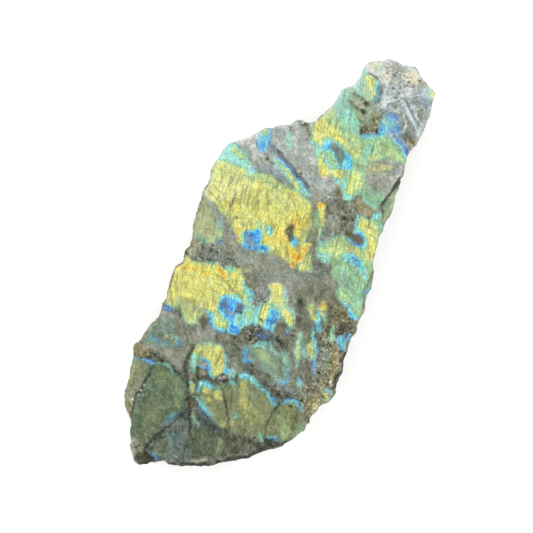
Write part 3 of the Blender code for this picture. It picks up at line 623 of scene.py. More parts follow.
# The grey band under the upper field, with its blue corner and thin teal strip.
GREY_BAND: tuple[Mark, ...] = (
    Flare(area(-31.8, 40, -31.2, 41.8, -29.8, 42.6, -28, 42, -26.9, 40, -26.4, 38, -26.2, 36, -26.7, 34.4,
        -28, 33.6, -29.5, 34.5, -30.6, 36, -31.5, 38), BLUE, CYAN, 0.9, 0.78, 0.6, 0.85),
    Flare(dot(-30.2, 40.8, 1.6, 1.3), TEAL, LIME, 0.8, 0.85),
    Flare(dot(-28, 36.2, 1.2, 1.6, 10), BLUE, BLUE, 1.0, 0.5, 0.8),
    Flare(line(1.8, -26, 38, -24.8, 36.8, -23.8, 36), DEEP_BLUE, BLUE, 0.9, 0.4),
    Flare(area(-22.8, 45, -21, 45.2, -20, 43, -18.6, 40.4, -18.4, 39.6, -20.2, 40, -21.8, 41.6,
        -22.6, 43.2), ICE, TEAL, 0.9, 0.8, 0.7),
    Tone(line(3.0, -28, 44, -25, 40), PALE, 0.6, 1.2),
    Flare(area(-22.4, 33.6, -21, 34.8, -18, 35, -16, 34.2, -14, 33.2, -11, 32.4, -8, 31.2, -5.4, 30.2,
        -2.8, 29.2, -3.4, 27.8, -7, 27.4, -10, 28.6, -13, 29.4, -16, 30, -18.6, 30.8, -20.4, 32), CYAN,
        TEAL, 1.0, 0.75, 0.5, 0.85),
    Flare(line(1.1, -21.6, 33.6, -20, 32.4, -17.6, 30.8), ICE, GREEN, 0.5, 0.75),
    Flare(line(1.0, -17.2, 34.2, -15.6, 33.2, -14, 32.2), CYAN, TEAL, 0.5, 0.75),
    Flare(line(2.0, -18, 32.8, -14.4, 31.6, -12, 30.6, -9.8, 29.2, -8.4, 28), LIME, GOLD, 0.9, 0.7),
    Flare(line(1.6, -25.4, 37.4, -22, 36.6, -20, 35.6, -18, 35, -13, 33, -8, 31.4, -4.6, 30), NAVY, NAVY,
        0.8, 0.6, 0.8),
    Tone(line(0.6, -25.4, 37.9, -22, 37.1, -20, 36.2, -18, 35.7, -13, 33.7, -8, 32.1, -5.6, 31.1),
        DEEP_SLATE, 0.8, 0.4),
    Tone(line(0.45, -13, 33.3, -8, 31.6, -6, 30.8), BLACK, 0.7, 0.3),
    Tone(area(-26, 30, -20, 30.4, -13, 29, -12, 27.8, -18, 27.4, -25, 27.6), VIOLET, 0.7, 0.7),
    Flare(dot(-27, 26.2, 1.7, 1.2), BLUE, CYAN, 0.8, 0.5),
    Tone(dot(-24, 32.3, 0.9, 0.6), CHARCOAL, 0.7, 0.4, 0.2),
    Tone(dot(-22, 31.8, 0.7, 0.4), CHARCOAL, 0.7, 0.4, 0.2),
    Tone(dot(-10.6, 34.2, 0.7, 0.5), BLACK, 0.7, 0.4, 0.2),
    Tone(dot(-13, 35, 0.5, 0.4), CHARCOAL, 0.7, 0.4, 0.2),
    Tone(area(0.4, 32.6, 3, 33.6, 6, 31.4, 8, 29, 6.4, 28.6, 3, 31), SMOKE, 0.8, 0.8),
    Tone(line(0.5, 1, 31.6, 2.2, 31, 3.6, 32.4), ASH, 0.5, 0.3),
    Tone(area(2.6, 37.6, 5, 37, 7, 34, 6.4, 33, 3.6, 34.4), UMBER, 0.55, 0.7),
    Tone(dot(11.4, 27.6, 1.2, 0.8), BLACK, 0.8, 0.4, 0.3),
    Tone(dot(9.8, 27.8, 0.7, 0.5), CHARCOAL, 0.8, 0.4, 0.2),
    Tone(dot(6, 26.6, 0.8, 0.5), BLACK, 0.8, 0.4, 0.3),
    Tone(dot(14.2, 29.2, 0.9, 0.5), CHARCOAL, 0.7, 0.4, 0.2),
    Tone(line(0.7, 12.4, 25.6, 12.8, 23.4, 13, 21.6, 13.6, 18.6, 14.2, 16.4), CHARCOAL, 0.6, 0.4, 0.1),
    Tone(area(4.6, 27, 9.4, 26, 12, 23.6, 11, 17, 9.4, 16.4, 7, 20), GREY, 0.7, 0.8),
    Flare(dot(11.6, 19.8, 1.2, 1.4), CYAN, CYAN, 0.8, 0.25, 0.8),
)

# The great yellow field on the left.
YELLOW_FIELD: tuple[Mark, ...] = (
    Flare(area(-42, 31, -38.4, 30.8, -36.8, 31.7, -35.4, 30.9, -34.2, 30.1, -33, 30.6, -31.2, 30.1,
        -30, 28.4, -28.6, 26.8, -27.2, 25, -25, 26, -22, 27.2, -19, 27.4, -16, 27, -13, 27.8, -9, 28,
        -5, 27, -1.6, 26.2, -0.2, 23, 2, 20, 3, 15, 3.4, 12.6, 5.6, 12.6, 6.2, 9.6, 8, 9.4, 10, 6.4,
        10.6, 4.4, 8.6, 3.6, 7.4, 2.8, 5.2, 4.4, 4.4, 2.8, 3.2, 2.6, 2.2, 3.8, 0.8, 4.6, -1, 3.2, -3, 3.6,
        -5, 4.6, -7.2, 3.4, -8.8, 1.6, -10.6, 1.2, -12.4, 1, -14.4, 0.4, -16, 0.6, -17.4, 0.2, -18.8, 0.8,
        -19.8, 2.6, -22.8, 4, -23.6, 5, -26, 5.6, -28, 6.6, -30.6, 7.6, -34, 8.6, -38, 9.4, -42, 9.8),
        GREEN, YELLOW, 1.8, 0.8, 0.55, 0.88),
    Flare(area(-42, 31, -38.4, 30.8, -36.8, 31.7, -35.4, 30.9, -34.2, 30.1, -33, 30.6, -31.2, 30.1,
        -30, 28.4, -28.6, 26.8, -27.6, 25, -30, 25, -33, 24.4, -36, 24.2, -42, 23.6), CYAN, ICE, 0.8, 1.0,
        1.3),
    Flare(area(-38, 30, -36.4, 30.4, -34, 29.4, -31.4, 29.4, -31.6, 28, -34, 27.6, -36.4, 28), LIME, LIME,
        0.7, 0.9, 0.8),
    Flare(line(1.8, -40.6, 27, -40.4, 22, -39.6, 17, -38.8, 12, -38, 9), CYAN, ICE, 0.8, 0.5, 0.7),
    Flare(area(-26, 26.4, -22, 27, -16, 26.6, -15, 24.4, -22, 24, -27, 22, -30, 22), TEAL, GREEN, 1.4, 0.6,
        1.4, 0.65),
    Flare(area(-42, 23, -34, 23.6, -29, 21, -31, 16, -37, 16, -42, 17), LIME, LIME, 2.0, 0.6, 1.6),
    Flare(area(-12, 12, -6, 18, -1, 22, 1, 18, 1, 9, -2, 4, -8, 4, -12, 7), YELLOW, GOLD, 6.0, 0.8, 2.4,
        0.85),
    Tone(area(-2, 15, 2, 14, 4, 10, 3, 4, 0, 4, -1.4, 8), UMBER, 0.5, 1.0, veil=0.2),
    Flare(dot(-2.8, 18.4, 3.4, 3.4), GOLD, GOLD, 1.0, 0.5, 1.8, 0.65),
    Flare(dot(-2, 17.4, 1.6, 1.6), GOLD, GOLD, 1.2, 0.4, 1.2, 0.5),
    Flare(dot(-5.8, 7.4, 2.4, 3.2, 6), YELLOW, YELLOW, 1.0, 0.5, 1.4),
    Flare(dot(-13, 22, 6, 2.6, -14), LIME, LIME, 1.5, 0.5, 1.8, 0.6),
    Tone(area(-0.6, 25, 1, 26.6, 3.4, 23, 6, 19, 8, 13, 10.8, 8, 9.6, 8.4, 6, 12.8, 3.4, 12.8, 1, 12.4,
        0, 15), OLIVE, 0.7, 1.3, veil=0.62),
    Flare(line(1.6, -0.4, 24, 0.6, 20, 1.6, 16, 2.4, 13), YELLOW, GOLD, 1.0, 0.35, 1.2),
    Flare(line(1.0, 2.4, 21, 3.6, 17.6, 4.6, 14), GREEN, LIME, 1.0, 0.3, 0.9),
    Flare(area(0.2, 24.6, 2.6, 25, 4.8, 21.4, 4.4, 19.4, 2.4, 20.4), TEAL, GREEN, 0.8, 0.55, 0.6, 0.6),
    Flare(area(0.2, 27, 0.8, 28.4, 2.6, 28.3, 3.8, 26.8, 5, 24.8, 5.8, 22, 6.8, 18.6, 7, 15.8, 6, 17.8,
        4.9, 20.4, 3.9, 23.2, 2.2, 25.6), LIME, YELLOW, 0.5, 0.95),
    Flare(area(0.2, 27, 0.8, 28.4, 2.6, 28.3, 3.4, 26.8, 2, 26.2), GOLD, ORANGE, 0.6, 0.95),
    Flare(line(0.8, 5.8, 22, 6.8, 19, 7.8, 16, 8.8, 13, 10, 10.4), CYAN, ICE, 0.5, 0.6),
    Flare(line(1.2, 1.2, 20, 2.2, 16, 3, 12.6), LIME, LIME, 0.6, 0.35),
    Flare(area(-3.6, 8.6, -1, 9, 1, 8.2, 3.4, 11, 5.4, 10, 5, 4.6, 3, 3, -1, 3.6, -3.6, 5), YELLOW, YELLOW,
        1.6, 0.9, 0.8),
    Flare(area(-0.8, 8.4, 1, 8.2, 2.2, 8.8, 3, 10.4, 4.2, 12.6, 5.8, 13, 5.9, 10.4, 6.2, 8, 5.6, 5.4,
        4.5, 4.6, 4.1, 3, 3.2, 2.6, 2.2, 4, 0.6, 5.6), YELLOW, GOLD, 1.0),
    Flare(dot(4.4, 6.8, 1.1, 1.6, 8), GOLD, ORANGE, 0.8, 0.8, 0.6, 0.9),
    Flare(dot(3.5, 3.6, 0.9, 1.0), GOLD, ORANGE, 0.6, 0.8),
    Flare(area(6, 9.8, 7.6, 9.2, 9, 8, 9.8, 6, 10.8, 4.4, 9.4, 4, 8.2, 4.6, 7.8, 2.9, 6.4, 3.2, 6.2, 5.8),
        GREEN, LIME, 0.8, 0.8),
    Tone(area(-3.6, 9.6, -1.2, 10, 0, 6, -0.6, 3.6, -2.8, 4.4), OLIVE, 0.6, 0.8, veil=0.25),
    Tone(area(2, 7.6, 4.8, 9, 5.8, 6, 5, 3.6, 3.2, 2.8, 2, 4.4), UMBER, 0.5, 0.7, veil=0.15),
    Tone(line(0.6, 5.9, 12, 6.3, 8.6, 6, 5.4, 5.4, 3.6), OLIVE, 0.6, 0.4),
    Tone(line(0.8, -2.6, 10, -1.6, 7.6, 0, 5.6, 0.6, 4.4), UMBER, 0.5, 0.4),
    Flare(area(-23, 4.8, -20, 6, -18.6, 4.2, -17.2, 1.4, -17.4, 0.2, -18.8, 0.6, -19.8, 2.4), YELLOW, GOLD,
        1.2, 0.95),
    Flare(line(1.2, -19.6, 3.8, -18.8, 2.4, -18.2, 1), GOLD, ORANGE, 0.5, 0.9),
    Flare(area(-19.4, 4.4, -17.6, 5.8, -15.8, 6.8, -15, 8, -13.8, 8.7, -12.4, 8, -11.4, 6.6, -11, 5,
        -9.8, 4, -8.6, 4.6, -7, 4.6, -6.8, 3.2, -8.2, 1.8, -10, 1, -12, 0.8, -14, 0, -16, 0.2, -17, 1.6,
        -18, 3), CYAN, BLUE, 1.2, 0.95, 0.8),
    Flare(area(-17, 4.4, -15.6, 5.6, -14, 6.2, -13.2, 5.2, -13.4, 4, -14.4, 3.6, -16, 3.8), BLUE, DEEP_BLUE,
        0.8, 0.8, 0.5),
    Tone(area(-17.2, 3.8, -15.6, 4.4, -14, 3.8, -12.6, 3, -12.8, 1.2, -15.6, 1.2, -16.8, 2.4), VIOLET, 0.72,
        0.6),
    Flare(dot(-8.2, 3.6, 1.2, 1.0), DEEP_BLUE, BLUE, 0.6, 0.8),
    Flare(area(-12.6, 10.4, -10.6, 11.2, -8.8, 10.4, -9.2, 8.4, -10.4, 8, -11.6, 9), ICE, CYAN, 0.7, 0.9),
    Flare(dot(-14.6, 9.6, 2.6, 1.0, -20), GREEN, TEAL, 0.6, 0.6, 0.7),
    Tone(dot(-17.6, 9.3, 1.5, 0.8, -35), SMOKE, 0.55, 0.6),
    Tone(dot(-20, 7.2, 1.0, 0.8), SMOKE, 0.6, 0.5),
    Tone(dot(-23.2, 7.8, 0.7, 0.6), UMBER, 0.9, 0.35, 0.2),
    Tone(line(0.9, -24.6, 7.6, -24, 5.4, -23.6, 3.6), OLIVE, 0.7, 0.4),
    Tone(area(-28, 23.8, -26, 24.2, -24.4, 22.6, -25.4, 21.8, -27, 22.4), UMBER, 0.5, 0.5),
    Tone(dot(-36.8, 22.2, 0.8, 0.5), UMBER, 0.6, 0.4),
    Tone(area(-5.4, 14, -4.6, 16.2, -3.4, 16.4, -2.4, 14.6, -1.4, 12.8, -0.8, 11.4, -1.4, 10, -2.6, 10.4,
        -3.4, 12, -5, 12.6), BLACK, 0.9, 0.5, 0.35),
    Tone(dot(-5.2, 15.4, 0.8, 0.5, 30), UMBER, 0.8, 0.4),
    Tone(dot(-3.8, 13.2, 0.5, 0.4), PALE, 0.6, 0.3),
    Flare(area(-1.6, 12.2, 0.4, 12.2, 2, 10.6, 1.2, 8.9, -0.4, 9.2, -1.4, 10.4), DEEP_BLUE, BLUE, 0.8, 0.8),
    Tone(dot(2.2, 9.4, 0.9, 1.3, 20), SMOKE, 0.6, 0.5),
    Tone(line(0.6, -32, 20.6, -31, 17, -29.6, 13.6), OLIVE, 0.7, 0.25),
    Tone(line(0.7, -29.4, 20, -28.4, 16.4, -27, 12, -25.8, 8, -25, 6), OLIVE, 0.8, 0.25),
    Tone(line(0.7, -26.6, 20, -25.4, 15, -23.6, 10.4), OLIVE, 0.75, 0.3),
    Tone(line(0.6, -23.8, 20.6, -22.6, 16.6, -21.4, 13.4), OLIVE, 0.7, 0.3),
    Tone(line(0.6, -20.6, 20.4, -19, 16, -16.8, 10.6), OLIVE, 0.6, 0.3),
    Tone(line(0.9, -18.6, 22, -16, 18.4, -13.6, 14.6), SMOKE, 0.45, 0.6),
    Tone(line(0.7, -14.4, 22.4, -12.4, 18.6), SMOKE, 0.35, 0.5),
    Tone(line(0.4, -33.6, 22, -32.6, 18.6, -31.4, 15), OLIVE, 0.55, 0.25),
    Tone(line(0.7, -30.6, 23.4, -29, 18, -27.2, 12, -25.8, 7), DARK, 0.5, 0.3),
    Tone(line(0.8, -25.8, 21, -24.4, 17, -23, 14.2), DARK, 0.55, 0.3),
    Tone(line(0.8, -21.4, 22, -20.4, 18.6, -19.6, 15.2), DARK, 0.5, 0.3),
    Tone(line(0.75, -37.6, 14, -34, 13.8, -31, 12.6, -28, 10.8), DARK, 0.6, 0.3),
    Tone(line(0.4, -37.4, 12.6, -33.6, 12.2, -30, 10.8), DARK, 0.5, 0.25),
    Tone(line(0.75, -37.6, 11.2, -34.6, 10.9, -31, 9.5, -28.6, 8.2), DARK, 0.6, 0.3),
    Flare(area(-40, 22, -32, 22, -31, 16, -38, 16), YELLOW, YELLOW, 2.0, 0.35, 1.6),
    Tone(line(0.4, -24, 24.8, -20, 25.2, -15, 24.3, -10, 22.6), DARK, 0.45, 0.25),
    Tone(line(0.6, -22, 22.6, -17, 22.8, -11, 20.6, -6, 18.8), DARK, 0.45, 0.3),
    Tone(line(0.6, -13, 26.6, -9, 24, -4.6, 20.8, -1, 17), DARK, 0.5, 0.3),
    Tone(line(0.4, -16, 18.8, -10, 18.4, -5, 16.8), DARK, 0.45, 0.25),
    Tone(line(0.35, -8, 26.6, -5, 23.6, -2.4, 21.4), DARK, 0.45, 0.25),
    Flare(dot(-20, 4.2, 1.6, 1.3), GOLD, GOLD, 0.8, 0.65),
    Flare(dot(4, 6, 1.2, 1.2), GOLD, ORANGE, 0.8, 0.55),
    Tone(dot(4.6, 5.6, 1.3, 1.2), UMBER, 0.6, 0.6, veil=0.0),
    Tone(dot(2, 8.4, 0.9, 0.9), DARK, 0.5, 0.5, veil=0.15),
    Tone(dot(0.4, 19, 1.2, 1.0), UMBER, 0.8, 0.6, veil=0.3),
    Tone(dot(-3, 17, 0.8, 0.8), UMBER, 0.8, 0.5, veil=0.1),
)

# The olive lobe under it, on the left edge.
LEFT_LOBE: tuple[Mark, ...] = (
    Flare(area(-42, 9.2, -36, 8.4, -33, 7.8, -30, 6.4, -27.6, 4.6, -26, 2.4, -24.4, 0.8, -23.8, -0.6,
        -24.6, -1.8, -25.6, -3.2, -26.4, -5, -28, -6, -31, -6, -33, -6.6, -38, -7), TEAL, LIME, 3.0, 0.42,
        0.8, 0.4),
    Tone(line(2.2, -36.6, 8.4, -33, 7.2, -30, 5.6, -27.4, 3.4, -25.6, 1.6), VIOLET, 0.7, 0.9),
    Flare(line(1.3, -29.6, 3.6, -27.6, 2.2, -25.6, 0.6), CYAN, TEAL, 0.6, 0.5),
    Flare(line(1.1, -27.4, -0.4, -25.4, -0.2, -24.4, -1), LIME, YELLOW, 0.6, 0.7),
    Flare(dot(-27, -3.8, 1.0, 1.3), LIME, YELLOW, 0.8, 0.6),
    Flare(dot(-35, -3.6, 1.2, 2.8, 18), LIME, YELLOW, 0.8, 0.35, 0.8),
    Flare(dot(-23.9, -2.9, 0.9, 0.8), DEEP_BLUE, CYAN, 0.5, 0.9),
    Tone(dot(-32.6, -7.4, 1.8, 1.4, 20), TAN, 0.45, 0.8),
    Tone(dot(-30, 3.4, 4, 0.9, -30), OLIVE, 0.35, 0.8),
)

# The yellow body and green field on the right.
RIGHT_FIELD: tuple[Mark, ...] = (
    Flare(area(15.4, 31.4, 16.6, 32, 18, 31.5, 20, 31.8, 20.2, 33.4, 20.4, 35, 22, 36, 24.4, 33, 26.6, 29.8,
        28.4, 26, 29, 21, 30.6, 16.6, 33, 15, 33.4, 7, 36, 2, 36, -2, 34, -2.6, 31.4, -2.9, 30.2, -2,
        28.4, -0.4, 26, 0, 24.6, 0.4, 23.4, 1.6, 22, 2.8, 22.8, 4.4, 21, 6.4, 18.8, 6.8, 17, 7.4, 16.2, 9.6,
        15, 9.8, 12, 9, 10.2, 10.6, 9.2, 13.6, 8.4, 16, 10, 17, 12, 20, 14, 22.4, 17, 22, 19, 21.2,
        21.6, 22, 22.6, 22.6, 22.6, 24, 21.2, 25.2, 19, 25.8, 17, 25.2, 16.4, 27.6, 15.6, 29.6), TEAL,
        GREEN, 2.0, 0.7, 0.45),
    Flare(area(15.4, 31.4, 16.6, 32, 18, 31.5, 20, 31.8, 24, 31, 26, 29, 27.6, 25, 29.2, 20.6, 29.6, 17.8,
        26, 17.6, 23.6, 19.8, 23, 22.4, 22.4, 24.4, 20.6, 25.8, 18.4, 26.2, 17.2, 25.2, 16.4, 27.6,
        15.6, 29.6), ICE, YELLOW, 1.5, 0.9),
    Flare(line(1.0, 15.7, 31.8, 15.7, 30, 16.3, 28, 17.1, 25.8), BLUE, CYAN, 0.3, 0.95),
    Flare(area(20.2, 32.6, 20.4, 35, 21.4, 36, 22.6, 35.2, 22, 33.2, 21, 32.2), CYAN, ICE, 0.6, 0.8),
    Flare(area(17, 19.4, 22, 20.8, 25.8, 19.8, 26, 17.6, 22, 18.6, 18, 17.6), LIME, YELLOW, 1.2, 0.55, 0.8,
        0.6),
    Flare(line(1.5, 25.8, 25.4, 26.8, 22.8, 28, 20), GOLD, GOLD, 0.6, 0.6),
    Flare(line(1.4, 24.4, 27.4, 25.4, 24.6), YELLOW, YELLOW, 0.6, 0.7),
    Flare(area(16.8, 23.4, 17.6, 25.4, 19, 26, 21, 25.6, 22.6, 24.2, 23, 22.4, 22, 21.2, 20, 20.8, 18, 20.8,
        16.8, 21.8), CYAN, BLUE, 0.6, 0.9, 0.4, 0.95),
    Tone(area(15, 24.8, 17.4, 24.8, 19, 25.2, 20.8, 24.8, 22.2, 23.6, 22.4, 22.6, 20.6, 21.8, 18.4, 21.7,
        17, 22, 14.6, 22.2), UMBER, 0.95, 0.4, 0.15),
    Tone(dot(21.6, 23.2, 0.8, 0.8), SMOKE, 0.5, 0.5),
    Flare(area(10, 13, 11, 18, 12.6, 21, 14.4, 21.4, 17.6, 19, 18, 15, 16, 11.4, 12, 9.6), GREEN, LIME, 2.0,
        0.65, 1.0, 0.75),
    Flare(dot(12.8, 11.4, 2.6, 1.8), ICE, ICE, 1.2, 0.85, 0.9, 0.9),
    Flare(line(1.4, 9.2, 15.6, 9.8, 12.6, 11, 10.4), TEAL, TEAL, 0.7, 0.5),
    Flare(area(17.6, 15.6, 19, 17.4, 20.8, 18.2, 22.6, 18, 25.2, 17.2, 27, 15.6, 29, 13.4, 30.4, 11.8,
        28.4, 11.8, 26, 13, 24, 14.6, 22.2, 14, 20, 13.6, 18.4, 14), ICE, CYAN, 1.0, 0.8, 0.6, 0.85),
    Flare(area(20.4, 17, 21.6, 18, 24, 17.2, 25.4, 16, 24.4, 15.2, 22, 15.8), CYAN, BLUE, 0.7, 0.9, 0.5,
        0.95),
    Flare(area(22, 13, 26, 11.4, 31, 11, 33, 6, 35.4, 0, 30, 0.6, 26, 2, 23, 6, 18, 7.6, 16.8, 9.6,
        19, 12.4), GREEN, TEAL, 2.4, 0.55, 1.4, 0.6),
    Tone(area(20, 7, 22, 10, 26, 8, 25.4, 5, 22.4, 4.8), SMOKE, 0.4, 1.2),
    Tone(area(14, 9, 16.4, 9.8, 17.4, 7.4, 16, 5, 13, 5.6), SMOKE, 0.5, 0.8),
    Flare(area(23, 3, 25, 3.8, 28, 2.6, 31, 1.2, 28, -0.2, 25, 0.4), TEAL, GREEN, 0.8, 0.6, 0.7, 0.7),
    Flare(area(25.6, 0.2, 27.4, 0.8, 29, 0.2, 31, -0.9, 33.6, -1, 35.6, -1.2, 35.4, -2.4, 33, -2.9,
        31, -2.9, 30, -2, 28.4, -0.6), BLUE, ICE, 0.6, 0.8),
    Flare(dot(31.6, -2.2, 1.3, 0.6), BLUE, BLUE, 0.5, 0.6),
    Tone(area(29.8, 17.2, 31, 17.4, 32.4, 14.6, 33.2, 11, 33.6, 7, 34.8, 3.4, 33.6, 3.2, 32.2, 5, 31.5, 8.6,
        31, 12), SMOKE, 0.6, 0.5, veil=0.5),
    Flare(dot(32.2, 8.6, 0.7, 1.3, -20), BLUE, BLUE, 0.5, 0.8),
    Flare(line(1.0, 33.2, 6, 34, 3.6), TEAL, TEAL, 0.5, 0.5),
    Tone(line(0.8, 30, 16.8, 31, 13.6, 31.1, 10, 31.8, 6.6, 32.5, 4.8), CHARCOAL, 0.75, 0.35),
    Tone(line(0.6, 32.5, 4.8, 33.8, 4, 34.8, 2.4), CHARCOAL, 0.6, 0.35),
    Flare(line(0.9, 24.4, 5.7, 27, 4.8, 30, 3.9), GREEN, LIME, 0.4, 0.75),
    Flare(line(1.0, 23.2, 3.5, 26, 2.6, 29, 1.4), GREEN, LIME, 0.4, 0.8),
    Tone(line(0.7, 23.8, 6.6, 27.4, 6.2, 31, 6.4), DARK, 0.5, 0.35),
    Tone(line(0.7, 23.6, 4.6, 27, 3.7, 31.4, 2.5), DARK, 0.45, 0.35),
    Tone(line(0.6, 24.8, 2, 28, 0.9, 30.6, 0.2), DARK, 0.4, 0.35),
    Tone(line(0.6, 18, 10.7, 22, 10, 26, 8.7, 29, 6.9), DARK, 0.32, 0.4),
    Tone(line(0.6, 19.6, 12.6, 24, 12.6, 28, 10.8, 30.6, 9.8), DARK, 0.32, 0.4),
    Tone(line(0.6, 18.4, 8.6, 22, 8.2, 25.4, 6.8), DARK, 0.3, 0.4),
    Tone(line(0.8, 20.8, 13.2, 22.8, 14, 25.2, 15.2), DARK, 0.4, 0.5),
    Tone(dot(22.4, 15.9, 0.7, 0.5), OLIVE, 0.7, 0.3),
    Tone(dot(21.1, 14.1, 0.5, 0.5), CHARCOAL, 0.7, 0.3),
    Tone(line(0.7, 13.1, 22.4, 13.6, 19.6, 14.2, 16.6, 14.5, 13.4, 14.9, 11), DARK, 0.6, 0.35),
    Tone(line(0.9, 11.4, 21.4, 12.2, 18.6, 12.4, 16), SLATE, 0.55, 0.6),
    Tone(line(0.8, 17.6, 21.4, 18.6, 19.2, 20.2, 17.8), SMOKE, 0.5, 0.5),
    Tone(line(0.6, 20.6, 30.6, 23.2, 28.4, 26.4, 26.6), OLIVE, 0.5, 0.35),
    Tone(line(0.6, 18.6, 30.4, 21, 27.4, 24.4, 24), OLIVE, 0.4, 0.35),
    Tone(line(0.7, 24.4, 23.4, 26, 20.8, 28, 18.4), OLIVE, 0.5, 0.4),
    Tone(line(0.8, 15.6, 12, 15.8, 10, 16.8, 7.6), DARK, 0.5, 0.5),
    Tone(area(10.6, 8.6, 13.4, 8.8, 13.6, 6.6, 12, 6.2), DARK, 0.55, 0.7),
    Tone(line(0.6, 22, 21.8, 22.8, 20.4), DARK, 0.6, 0.4),
    Tone(line(0.7, 18, 21.6, 19, 19), OLIVE, 0.4, 0.4),
    Tone(line(0.7, 26, 0.4, 25.2, 0), BLACK, 0.6, 0.3),
    Flare(dot(23, 28, 2.6, 2.2), LIME, LIME, 0.8, 0.4),
    Flare(dot(9.4, 13, 1.7, 1.6), GREEN, LIME, 0.6, 0.4),
    Flare(dot(13, 11, 1.9, 1.4), ICE, ICE, 0.8, 0.65),
    Flare(dot(26.4, 4, 2.6, 1.6), TEAL, TEAL, 0.8, 0.22),
    Flare(dot(27, 18, 1.4, 1.4), LIME, LIME, 0.6, 0.35),
)

